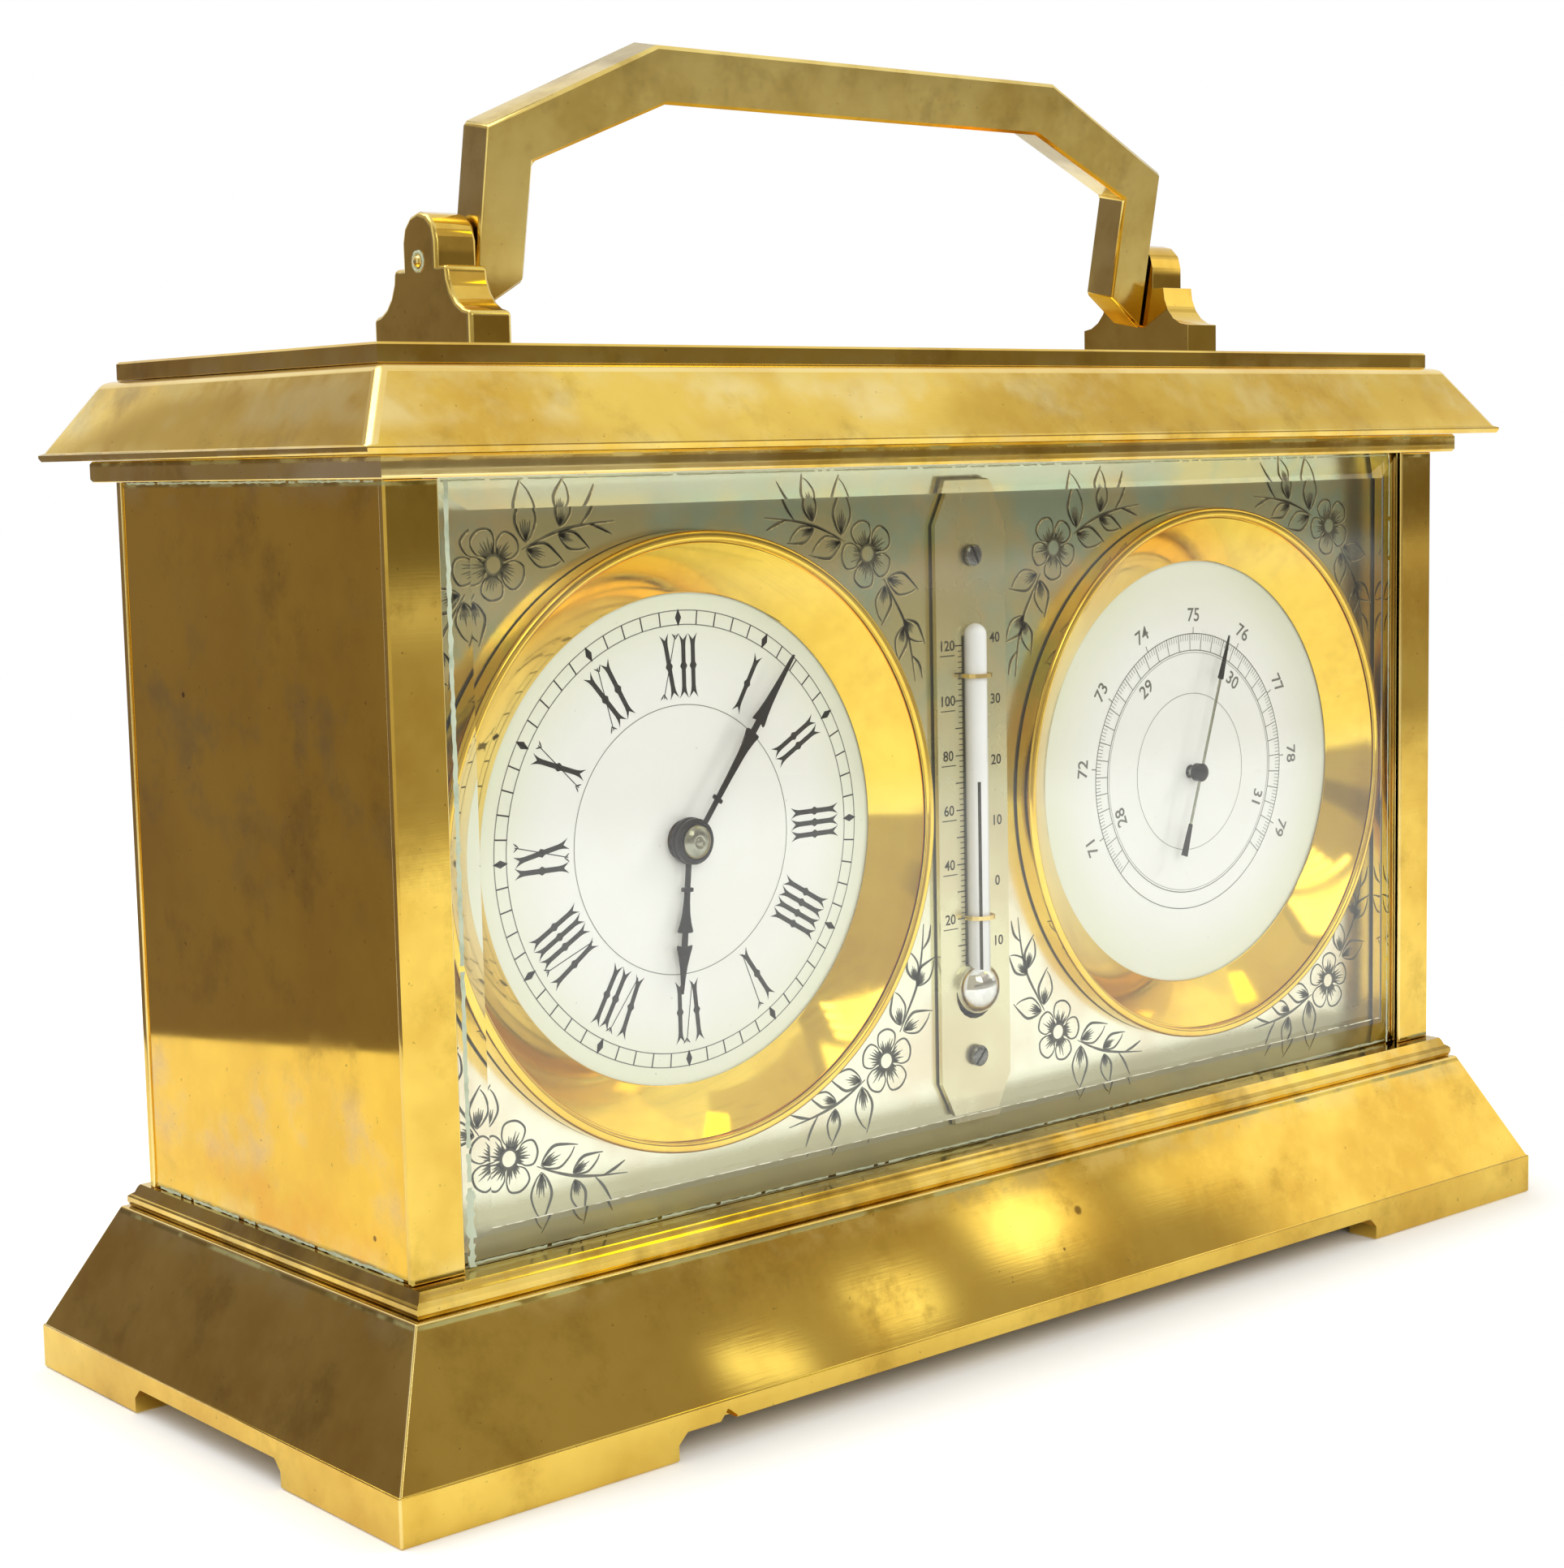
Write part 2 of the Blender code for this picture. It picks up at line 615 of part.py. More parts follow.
def build(name, bm, material, pivot=(0, 0, 0)):
    bmesh.ops.recalc_face_normals(bm, faces=bm.faces)
    bmesh.ops.translate(bm, vec=-Vector(pivot), verts=bm.verts)
    mesh = bpy.data.meshes.new(name)
    bm.to_mesh(mesh)
    bm.free()
    mesh.shade_smooth()
    mesh.set_sharp_from_angle(angle=SMOOTH_ANGLE)
    mesh.materials.append(material)
    obj = bpy.data.objects.new(name, mesh)
    obj.location = pivot
    bpy.context.scene.collection.objects.link(obj)
    return obj


def boolean(obj, bm, operation):
    count = len(obj.modifiers)
    tool = build(f"{obj.name}_{operation.lower()}_{count}", bm, obj.data.materials[0])
    tool.hide_render = True
    tool.display_type = "WIRE"
    modifier = obj.modifiers.new(f"{operation.lower()}_{count}", "BOOLEAN")
    modifier.operation = operation
    modifier.solver = "EXACT"
    modifier.object = tool


def cut(obj, bm):
    boolean(obj, bm, "DIFFERENCE")


def join(obj, bm):
    boolean(obj, bm, "UNION")


def paint(name, colour, metallic, roughness):
    material = bpy.data.materials.new(name)
    material.use_nodes = True
    shader = material.node_tree.nodes["Principled BSDF"]
    shader.inputs["Base Color"].default_value = (*colour, 1)
    shader.inputs["Metallic"].default_value = metallic
    shader.inputs["Roughness"].default_value = roughness
    return material


# Outline of a wheel or, with leaves, of a pinion. A pointed tooth comes to one ridge.
def toothed(teeth, module, centre, phase, form="wheel"):
    leaf = form == "leaves"
    addendum = LEAF_ADDENDUM_SHARE if leaf else WHEEL_ADDENDUM_SHARE
    dedendum = LEAF_DEDENDUM_SHARE if leaf else WHEEL_DEDENDUM_SHARE
    tip_share = LEAF_TIP_SHARE if leaf else WHEEL_TIP_SHARE
    root_share = LEAF_ROOT_SHARE if leaf else WHEEL_ROOT_SHARE
    radius = teeth * module / 2
    half_pitch = math.pi / teeth
    root = radius - dedendum * module
    tip = radius + addendum * module
    ridge = [(tip, -tip_share), (tip, tip_share)]
    if form == "pointed":
        ridge = [(tip, POINTED_TIP_SHARE)]
    outline = []
    for k in range(teeth):
        for r, share in [(root, -root_share)] + ridge + [(root, root_share)]:
            outline.append(around(centre, r, phase + (2 * k + share) * half_pitch))
    return outline


# The gap of a pinion faces the wheel's tooth that points at it.
def pinion_phase(wheel_phase, leaves):
    return wheel_phase + math.pi + math.pi / leaves


# Openings between the spokes of a crossed-out wheel
def spoke_cutters(centre, hub, rim, low, high, phase):
    bm = bmesh.new()
    for k in range(SPOKES):
        start = phase + math.tau * k / SPOKES
        end = start + math.tau / SPOKES
        outer_turn = SPOKE_WIDTH / 2 / rim
        inner_turn = SPOKE_WIDTH / 2 / hub
        outline = arc(centre, rim, start + outer_turn, end - outer_turn, SPOKE_ARC_STEPS)
        outline += arc(centre, hub, end - inner_turn, start + inner_turn, SPOKE_ARC_STEPS // 2)
        prism(bm, outline, low - CUT_OVERRUN, high + CUT_OVERRUN, "Y")
    return bm


def square_end(bm, centre, half, low, high):
    outline = [
        (centre[0] - half, centre[1] - half),
        (centre[0] + half, centre[1] - half),
        (centre[0] + half, centre[1] + half),
        (centre[0] - half, centre[1] + half),
    ]
    prism(bm, outline, low, high, "Y")


def plane_pivot(centre, along):
    return (centre[0], along, centre[1])


# Case

def screw_place(side, end):
    x = BODY_HALF_WIDTH - SIDE_PANEL_THICKNESS - SIDE_PANEL_SETBACK - SEAT_GAP - SCREW_SIDE
    y = BODY_HALF_DEPTH - PILLAR_DEPTH + SCREW_BACK
    return (side * x, end * y)


def screw_places():
    return [screw_place(side, end) for side in (-1, 1) for end in (-1, 1)]


def screw_holes(low, high):
    bm = bmesh.new()
    for centre in screw_places():
        rod(bm, centre, SCREW_RADIUS + SEAT_GAP, low, high, "Z", PIVOT_SEGMENTS)
    return bm


def lug_screw_places():
    x = HANDLE_HALF_WIDTH + LUG_GAP + LUG_WIDTH / 2
    return [(a * x, b * LUG_SCREW_SPREAD) for a in (-1, 1) for b in (-1, 1)]


def lug_screw_holes():
    bm = bmesh.new()
    high = TOP_PLATE_HIGH + CUT_OVERRUN
    for centre in lug_screw_places():
        rod(bm, centre, SCREW_RADIUS + SEAT_GAP, TOP_PLATE_LOW - CUT_OVERRUN, high, "Z", PIVOT_SEGMENTS)
    return bm


def door_pin_holes():
    bm = bmesh.new()
    deep = DOOR_PIN_LENGTH + DOOR_CLEARANCE
    radius = DOOR_PIN_RADIUS + SEAT_GAP
    rod(bm, DOOR_AXIS, radius, BASE_PLATE_HIGH - deep, BASE_PLATE_HIGH + CUT_OVERRUN, "Z")
    rod(bm, DOOR_AXIS, radius, FRIEZE_LOW - CUT_OVERRUN, FRIEZE_LOW + deep, "Z")
    return bm


def base_moulding(brass):
    bm = bmesh.new()
    slope_width = BASE_HALF_WIDTH - BASE_SLOPE_INSET
    slope_depth = BASE_HALF_DEPTH - BASE_SLOPE_INSET
    flange_low = BASE_HEIGHT - FLANGE_THICKNESS
    mitred_ring(bm, [
        (BASE_HALF_WIDTH - EDGE_SOFTENING, BASE_HALF_DEPTH - EDGE_SOFTENING, 0),
        (BASE_HALF_WIDTH, BASE_HALF_DEPTH, EDGE_SOFTENING),
        (BASE_HALF_WIDTH, BASE_HALF_DEPTH, BASE_LIP_HEIGHT - EDGE_SOFTENING),
        (BASE_HALF_WIDTH - EDGE_SOFTENING, BASE_HALF_DEPTH - EDGE_SOFTENING, BASE_LIP_HEIGHT),
        (slope_width, slope_depth, BASE_HEIGHT),
        (FLANGE_HALF_WIDTH, FLANGE_HALF_DEPTH, BASE_HEIGHT),
        (FLANGE_HALF_WIDTH, FLANGE_HALF_DEPTH, flange_low),
        (slope_width - BASE_WALL, slope_depth - BASE_WALL, flange_low),
        (BASE_HALF_WIDTH - BASE_WALL, BASE_HALF_DEPTH - BASE_WALL, BASE_LIP_HEIGHT),
        (BASE_HALF_WIDTH - BASE_WALL, BASE_HALF_DEPTH - BASE_WALL, 0),
    ])
    obj = build("base_moulding", bm, brass)
    wide = BASE_HALF_WIDTH + CUT_OVERRUN
    deep = BASE_HALF_DEPTH + CUT_OVERRUN
    bm = bmesh.new()
    prism(bm, notch_outline(NOTCH_HALF_WIDTH), -deep, deep, "Y")
    cut(obj, bm)
    bm = bmesh.new()
    prism(bm, notch_outline(NOTCH_HALF_DEPTH), -wide, wide, "X")
    cut(obj, bm)
    cut(obj, screw_holes(flange_low - CUT_OVERRUN, BASE_HEIGHT + CUT_OVERRUN))


# The notch between two feet, with a small flare at its upper corners
def notch_outline(half):
    high = NOTCH_HEIGHT - NOTCH_FLARE
    return [
        (-half, -CUT_OVERRUN),
        (half, -CUT_OVERRUN),
        (half, high),
        (half - NOTCH_FLARE, NOTCH_HEIGHT),
        (-half + NOTCH_FLARE, NOTCH_HEIGHT),
        (-half, high),
    ]


def base_plate(brass):
    width = BASE_HALF_WIDTH - BASE_SLOPE_INSET + BASE_PLATE_OUTSET
    depth = BASE_HALF_DEPTH - BASE_SLOPE_INSET + BASE_PLATE_OUTSET
    bead = BASE_PLATE_LOW + BASE_BEAD_HEIGHT
    soft = EDGE_SOFTENING
    step = BASE_BEAD_STEP
    bm = bmesh.new()
    moulded_plate(bm, [
        (width - soft, depth - soft, BASE_PLATE_LOW),
        (width, depth, BASE_PLATE_LOW + soft),
        (width, depth, bead - soft),
        (width - soft, depth - soft, bead),
        (width - step + soft, depth - step + soft, bead + soft),
        (width - step, depth - step, BASE_PLATE_HIGH - soft),
        (width - step - soft, depth - step - soft, BASE_PLATE_HIGH),
    ])
    obj = build("base_plate", bm, brass)
    cut(obj, screw_holes(BASE_PLATE_LOW - CUT_OVERRUN, BASE_PLATE_HIGH + CUT_OVERRUN))
    cut(obj, door_pin_holes())


def frieze_plate(brass):
    width = BODY_HALF_WIDTH + FRIEZE_OUTSET
    depth = BODY_HALF_DEPTH + FRIEZE_DEPTH_OUTSET
    soft = EDGE_SOFTENING
    bm = bmesh.new()
    moulded_plate(bm, [
        (width - soft, depth - soft, FRIEZE_LOW),
        (width, depth, FRIEZE_LOW + soft),
        (width, depth, FRIEZE_HIGH - soft),
        (width - soft, depth - soft, FRIEZE_HIGH),
    ])
    obj = build("frieze_plate", bm, brass)
    cut(obj, screw_holes(FRIEZE_LOW - CUT_OVERRUN, FRIEZE_HIGH + CUT_OVERRUN))
    cut(obj, door_pin_holes())


def cornice(brass):
    flange_high = CORNICE_LOW + FLANGE_THICKNESS
    top_width = CORNICE_HALF_WIDTH - CORNICE_INSET_WIDTH
    top_depth = CORNICE_HALF_DEPTH - CORNICE_INSET_DEPTH
    soft = EDGE_SOFTENING
    bm = bmesh.new()
    mitred_ring(bm, [
        (CORNICE_HALF_WIDTH - soft, CORNICE_HALF_DEPTH - soft, CORNICE_LOW),
        (CORNICE_HALF_WIDTH, CORNICE_HALF_DEPTH, CORNICE_LOW + soft),
        (CORNICE_HALF_WIDTH, CORNICE_HALF_DEPTH, CORNICE_LOW + CORNICE_LIP - soft),
        (CORNICE_HALF_WIDTH - soft, CORNICE_HALF_DEPTH - soft, CORNICE_LOW + CORNICE_LIP),
        (top_width, top_depth, CORNICE_HIGH),
        (top_width - BASE_WALL, top_depth - BASE_WALL, CORNICE_HIGH),
        (CORNICE_HALF_WIDTH - BASE_WALL - soft, CORNICE_HALF_DEPTH - BASE_WALL - soft, flange_high),
        (FLANGE_HALF_WIDTH, FLANGE_HALF_DEPTH, flange_high),
        (FLANGE_HALF_WIDTH, FLANGE_HALF_DEPTH, CORNICE_LOW),
    ])
    obj = build("cornice", bm, brass)
    cut(obj, screw_holes(CORNICE_LOW - CUT_OVERRUN, flange_high + CUT_OVERRUN))


def top_plate(brass):
    width = CORNICE_HALF_WIDTH - CORNICE_INSET_WIDTH - TOP_PLATE_INSET_WIDTH
    depth = CORNICE_HALF_DEPTH - CORNICE_INSET_DEPTH - TOP_PLATE_INSET_DEPTH
    soft = EDGE_SOFTENING
    bm = bmesh.new()
    moulded_plate(bm, [
        (width, depth, TOP_PLATE_LOW),
        (width, depth, TOP_PLATE_HIGH - soft),
        (width - soft, depth - soft, TOP_PLATE_HIGH),
    ])
    obj = build("top_plate", bm, brass)
    cut(obj, lug_screw_holes())


# A front pillar holds the glass and the dial plate in two grooves. Its outer side is
# rebated for the side panel.
def front_pillar(name, side, brass):
    inner = OPENING_HALF
    groove = OPENING_HALF + GROOVE_DEPTH
    rebate = BODY_HALF_WIDTH - SIDE_PANEL_SETBACK - SIDE_PANEL_THICKNESS - SEAT_GAP
    back = FRONT + PILLAR_DEPTH
    outline = [
        (BODY_HALF_WIDTH, FRONT + EDGE_SOFTENING),
        (BODY_HALF_WIDTH, FRONT + SIDE_LIP),
        (rebate, FRONT + SIDE_LIP),
        (rebate, back),
        (inner, back),
        (inner, PLATE_BACK + GROOVE_CLEARANCE),
        (groove, PLATE_BACK + GROOVE_CLEARANCE),
        (groove, PLATE_FRONT - GROOVE_CLEARANCE),
        (inner, PLATE_FRONT - GROOVE_CLEARANCE),
        (inner, GLASS_BACK + GROOVE_CLEARANCE),
        (groove, GLASS_BACK + GROOVE_CLEARANCE),
        (groove, GLASS_FRONT),
        (inner, GLASS_FRONT),
        (inner, FRONT),
        (BODY_HALF_WIDTH - EDGE_SOFTENING, FRONT),
    ]
    bm = bmesh.new()
    prism(bm, mirrored(outline, side), PILLAR_LOW, PILLAR_HIGH, "Z")
    pillar_screws(build(name, bm, brass), side, -1)


# A rear pillar has the same rebate, and a stop for the door
def rear_pillar(name, side, brass):
    rebate = BODY_HALF_WIDTH - SIDE_PANEL_SETBACK - SIDE_PANEL_THICKNESS - SEAT_GAP
    stop = OPENING_HALF - DOOR_STOP_WIDTH
    door_face = BACK - DOOR_THICKNESS - SEAT_GAP
    outline = [
        (BODY_HALF_WIDTH, BACK - EDGE_SOFTENING),
        (BODY_HALF_WIDTH, BACK - SIDE_LIP),
        (rebate, BACK - SIDE_LIP),
        (rebate, BACK - PILLAR_DEPTH),
        (stop, BACK - PILLAR_DEPTH),
        (stop, door_face),
        (OPENING_HALF, door_face),
        (OPENING_HALF, BACK),
        (BODY_HALF_WIDTH - EDGE_SOFTENING, BACK),
    ]
    bm = bmesh.new()
    prism(bm, mirrored(outline, side), PILLAR_LOW, PILLAR_HIGH, "Z")
    pillar_screws(build(name, bm, brass), side, 1)


# A cheese-headed screw from its head to its tip, joined to the piece that it holds
def screw(obj, centre, head, tip):
    way = 1 if tip > head else -1
    bm = bmesh.new()
    turned(bm, [
        (0, head - way * SCREW_HEAD_HEIGHT),
        (SCREW_HEAD_RADIUS, head - way * SCREW_HEAD_HEIGHT),
        (SCREW_HEAD_RADIUS, head),
        (SCREW_RADIUS, head),
        (SCREW_RADIUS, tip),
        (0, tip),
    ], centre, "Z", PIVOT_SEGMENTS)
    join(obj, bm)


# One screw comes up through the base into each pillar, one comes down through the cornice
def pillar_screws(obj, side, end):
    centre = screw_place(side, end)
    screw(obj, centre, BASE_HEIGHT - FLANGE_THICKNESS - SEAT_GAP, PILLAR_LOW + SCREW_BITE)
    screw(obj, centre, CORNICE_LOW + FLANGE_THICKNESS + SEAT_GAP, PILLAR_HIGH - SCREW_BITE)


def side_panel(name, side, brass):
    outer = BODY_HALF_WIDTH - SIDE_PANEL_SETBACK
    inner = outer - SIDE_PANEL_THICKNESS
    deep = BODY_HALF_DEPTH - SIDE_LIP - SEAT_GAP
    outline = mirrored([(inner, -deep), (outer, -deep), (outer, deep), (inner, deep)], side)
    bm = bmesh.new()
    prism(bm, outline, PILLAR_LOW, PILLAR_HIGH, "Z")
    build(name, bm, brass)


# Handle: an angular bail of rectangular section that swings on two pins

def handle(brass):
    leg = HANDLE_HALF_WIDTH - HANDLE_LEG_WIDTH
    bar = HANDLE_TOP - HANDLE_BAR_HEIGHT
    right = [
        (leg, -HANDLE_FOOT_INNER),
        (HANDLE_HALF_WIDTH, -HANDLE_FOOT_OUTER),
        (HANDLE_HALF_WIDTH, HANDLE_SHOULDER),
        (HANDLE_CORNER, HANDLE_TOP),
    ]
    inner = [
        (HANDLE_INNER_CORNER, bar),
        (leg, HANDLE_INNER_SHOULDER),
    ]
    outline = right + mirrored(right[::-1], -1) + mirrored(inner[::-1], -1) + inner
    bm = bmesh.new()
    prism(bm, outline, -HANDLE_THICKNESS / 2, HANDLE_THICKNESS / 2, "Y")
    obj = build("handle", bm, brass)
    soft = obj.modifiers.new("softened_edges", "BEVEL")
    soft.width = HANDLE_EDGE_BEVEL
    soft.segments = 1
    bores = bmesh.new()
    for side in (-1, 1):
        outer = HANDLE_HALF_WIDTH + CUT_OVERRUN
        inner = HANDLE_HALF_WIDTH - LUG_PIN_REACH - SEAT_GAP
        rod(bores, (0, 0), LUG_PIN_RADIUS + SEAT_GAP, side * inner, side * outer, "X")
    cut(obj, bores)
    bores_object = obj.modifiers[-1].object
    for item in (obj, bores_object):
        item.location = (0, 0, PIN_HEIGHT)
        item.rotation_euler = (HANDLE_LEAN, 0, 0)


# Half of the lug's outline: foot, hollow curve, shoulder, straight tongue, round top
def lug_outline():
    right = [(LUG_HALF_DEPTH, LUG_LOW), (LUG_HALF_DEPTH, LUG_LOW + LUG_BASE_HEIGHT)]
    reach = LUG_HALF_DEPTH - LUG_SHOULDER_HALF_DEPTH
    rise = LUG_SHOULDER_HEIGHT - LUG_BASE_HEIGHT
    for k in range(1, LUG_CURVE_STEPS + 1):
        turn = math.pi / 2 * k / LUG_CURVE_STEPS
        u = LUG_HALF_DEPTH - reach * math.sin(turn)
        v = LUG_LOW + LUG_BASE_HEIGHT + rise * (1 - math.cos(turn))
        right.append((u, v))
    right.append((LUG_TONGUE_HALF_DEPTH, LUG_LOW + LUG_SHOULDER_HEIGHT))
    top = (0, LUG_LOW + LUG_HEIGHT - LUG_TONGUE_HALF_DEPTH)
    crown = arc(top, LUG_TONGUE_HALF_DEPTH, 0, math.pi, LUG_ROUND_STEPS)
    return right + crown + mirrored(right[::-1], -1)


def lug(name, side, brass):
    inner = HANDLE_HALF_WIDTH + LUG_GAP
    ends = sorted((side * inner, side * (inner + LUG_WIDTH)))
    bm = bmesh.new()
    prism(bm, lug_outline(), ends[0], ends[1], "X")
    obj = build(name, bm, brass)
    for centre in lug_screw_places():
        if centre[0] * side > 0:
            screw(obj, centre, TOP_PLATE_LOW - SEAT_GAP, LUG_LOW + LUG_BASE_HEIGHT / 2)
    bm = bmesh.new()
    through = sorted((side * (inner - CUT_OVERRUN), side * (inner + LUG_WIDTH + CUT_OVERRUN)))
    rod(bm, (0, PIN_HEIGHT), LUG_PIN_RADIUS + SEAT_GAP, through[0], through[1], "X")
    cut(obj, bm)


def handle_pin(name, side, brass):
    inner = HANDLE_HALF_WIDTH - LUG_PIN_REACH
    outer = HANDLE_HALF_WIDTH + LUG_GAP + LUG_WIDTH + SEAT_GAP
    bm = bmesh.new()
    turned(bm, [
        (0, side * inner),
        (LUG_PIN_RADIUS, side * inner),
        (LUG_PIN_RADIUS, side * outer),
        (LUG_PIN_HEAD_RADIUS + SEAT_GAP, side * outer),
        (LUG_PIN_HEAD_RADIUS, side * (outer + LUG_PIN_HEAD_HEIGHT)),
        (0, side * (outer + LUG_PIN_HEAD_HEIGHT)),
    ], (0, PIN_HEIGHT), "X", ROD_SEGMENTS)
    build(name, bm, brass)


# Front: glass, dial plate, bezels, dials

def front_glass(glass):
    low = PILLAR_LOW
    high = PILLAR_HIGH
    edge = GLASS_BACK - GLASS_EDGE_THICKNESS
    loops = []
    bm = bmesh.new()
    for inset, depth in ((0, GLASS_BACK), (0, edge), (GLASS_BEVEL, GLASS_FRONT)):
        half = SHEET_HALF - inset
        corners = [(-half, low + inset), (half, low + inset), (half, high - inset), (-half, high - inset)]
        loops.append([bm.verts.new((x, depth, z)) for x, z in corners])
    link_loops(bm, loops[0], loops[1])
    link_loops(bm, loops[1], loops[2])
    bm.faces.new(loops[0])
    bm.faces.new(loops[2])
    build("front_glass", bm, glass)


def dial_plate(silvered):
    bm = bmesh.new()
    box(bm, (-SHEET_HALF, PLATE_FRONT, PILLAR_LOW), (SHEET_HALF, PLATE_BACK, PILLAR_HIGH))
    obj = build("dial_plate", bm, silvered)
    bm = bmesh.new()
    low = PLATE_FRONT - CUT_OVERRUN
    high = PLATE_BACK + CUT_OVERRUN
    for centre in (CLOCK, BAROMETER):
        rod(bm, centre, BEZEL_NECK_RADIUS + BEZEL_NECK_GAP, low, high, "Y", BEZEL_SEGMENTS)
    rod(bm, (0, BULB_HEIGHT), BULB_RADIUS + BULB_HOLE_GAP, low, high, "Y", KNOB_SEGMENTS)
    cut(obj, bm)


def bezel(name, centre, gilt):
    lip = BEZEL_SEAT - BEZEL_LIP_PROUD
    back = PLATE_FRONT + BEZEL_BACK
    soft = EDGE_SOFTENING
    bm = bmesh.new()
    turned(bm, [
        (BEZEL_RADIUS, BEZEL_SEAT),
        (BEZEL_RADIUS, lip + soft),
        (BEZEL_RADIUS - soft, lip),
        (BEZEL_RADIUS - BEZEL_LIP_WIDTH, lip),
        (BEZEL_RADIUS - BEZEL_LIP_WIDTH - soft, lip + soft),
        (BEZEL_INNER_RADIUS, back),
        (BEZEL_NECK_RADIUS, back),
        (BEZEL_NECK_RADIUS, BEZEL_SEAT),
    ], centre, "Y", BEZEL_SEGMENTS)
    build(name, bm, gilt)


# The clock dial has three feet that stand on the movement's front plate
def clock_dial(enamel):
    bm = bmesh.new()
    turned(bm, [
        (HOUR_PIPE + SEAT_GAP, DIAL_FRONT),
        (DIAL_RADIUS, DIAL_FRONT),
        (DIAL_RADIUS, DIAL_BACK),
        (HOUR_PIPE + SEAT_GAP, DIAL_BACK),
    ], CLOCK, "Y", DIAL_SEGMENTS)
    obj = build("clock_dial", bm, enamel)
    bm = bmesh.new()
    for k in range(3):
        foot = around(CLOCK, DIAL_FOOT_PLACE, math.pi / 2 + math.tau * k / 3)
        low = DIAL_BACK - DIAL_THICKNESS / 2
        rod(bm, foot, DIAL_FOOT_RADIUS, low, FRONT_PLATE_FRONT - SEAT_GAP, "Y", PIVOT_SEGMENTS)
    join(obj, bm)


def barometer_dial(enamel):
    bm = bmesh.new()
    turned(bm, [
        (HAND_ARBOR + SEAT_GAP, DIAL_FRONT),
        (DIAL_RADIUS, DIAL_FRONT),
        (DIAL_RADIUS, DIAL_BACK),
        (HAND_ARBOR + SEAT_GAP, DIAL_BACK),
    ], BAROMETER, "Y", DIAL_SEGMENTS)
    build("barometer_dial", bm, enamel)


# Thermometer

THERMOMETER_BACK = PLATE_FRONT - SEAT_GAP
THERMOMETER_FRONT = THERMOMETER_BACK - THERMOMETER_THICKNESS
TUBE_DEPTH = PLATE_FRONT - SEAT_GAP / 2 - TUBE_RADIUS
BULB_DEPTH = TUBE_DEPTH + TUBE_RADIUS - SEAT_GAP


def thermometer_plate(silvered):
    half = THERMOMETER_HALF_WIDTH
    narrow = half - THERMOMETER_CORNER_WIDTH
    corner = THERMOMETER_CORNER_HEIGHT
    outline = [
        (-narrow, THERMOMETER_BOTTOM),
        (narrow, THERMOMETER_BOTTOM),
        (half, THERMOMETER_BOTTOM + corner),
        (half, THERMOMETER_TOP - corner),
        (narrow, THERMOMETER_TOP),
        (-narrow, THERMOMETER_TOP),
        (-half, THERMOMETER_TOP - corner),
        (-half, THERMOMETER_BOTTOM + corner),
    ]
    bm = bmesh.new()
    prism(bm, outline, THERMOMETER_FRONT, THERMOMETER_BACK, "Y")
    obj = build("thermometer_plate", bm, silvered)
    low = THERMOMETER_FRONT - CUT_OVERRUN
    high = THERMOMETER_BACK + CUT_OVERRUN
    slot = TUBE_RADIUS + SEAT_GAP
    bulb = BULB_RADIUS + BULB_HOLE_GAP
    meet = math.acos(slot / bulb)
    outline = arc((0, BULB_HEIGHT), bulb, meet, meet - math.tau + (math.pi - 2 * meet), KNOB_SEGMENTS)
    outline += arc((0, TUBE_TOP), slot, math.pi, 0, PIVOT_SEGMENTS)
    bm = bmesh.new()
    prism(bm, outline, low, high, "Y")
    cut(obj, bm)


def ball_profile(radius, height, steps):
    turns = [math.pi * k / steps for k in range(1, steps)]
    middle = [(radius * math.sin(turn), height - radius * math.cos(turn)) for turn in turns]
    return [(0, height - radius)] + middle + [(0, height + radius)]


def thermometer_tube(glass):
    bm = bmesh.new()
    rod(bm, (0, TUBE_DEPTH), TUBE_RADIUS, BULB_HEIGHT, TUBE_TOP - TUBE_RADIUS, "Z", ROD_SEGMENTS)
    obj = build("thermometer_tube", bm, glass)
    for height, depth, radius, segments in (
        (TUBE_TOP - TUBE_RADIUS, TUBE_DEPTH, TUBE_RADIUS, ROD_SEGMENTS),
        (BULB_HEIGHT, BULB_DEPTH, BULB_RADIUS, KNOB_SEGMENTS),
    ):
        bm = bmesh.new()
        turned(bm, ball_profile(radius, height, segments // 2), (0, depth), "Z", segments)
        join(obj, bm)


# A wire staple holds the tube
def thermometer_clip(name, height, brass):
    inner = TUBE_RADIUS + SEAT_GAP
    outer = inner + CLIP_WIRE
    foot = THERMOMETER_FRONT - SEAT_GAP
    outline = [(-inner, foot), (-outer, foot)]
    outline += arc((0, TUBE_DEPTH), outer, math.pi, math.tau, PIVOT_SEGMENTS)
    outline += [(outer, foot), (inner, foot)]
    outline += arc((0, TUBE_DEPTH), inner, math.tau, math.pi, PIVOT_SEGMENTS)
    bm = bmesh.new()
    prism(bm, outline, height - CLIP_WIDTH / 2, height + CLIP_WIDTH / 2, "Z")
    build(name, bm, brass)


def thermometer_screw(name, height, steel):
    back = THERMOMETER_FRONT - SEAT_GAP
    front = back - THERMOMETER_SCREW_HEAD
    bm = bmesh.new()
    turned(bm, [
        (0, front),
        (THERMOMETER_SCREW_RADIUS - EDGE_SOFTENING, front),
        (THERMOMETER_SCREW_RADIUS, front + EDGE_SOFTENING),
        (THERMOMETER_SCREW_RADIUS, back),
        (0, back),
    ], (0, height), "Y", ROD_SEGMENTS)
    build(name, bm, steel)


# Back door on two pins, with a rounded edge on its hinge side

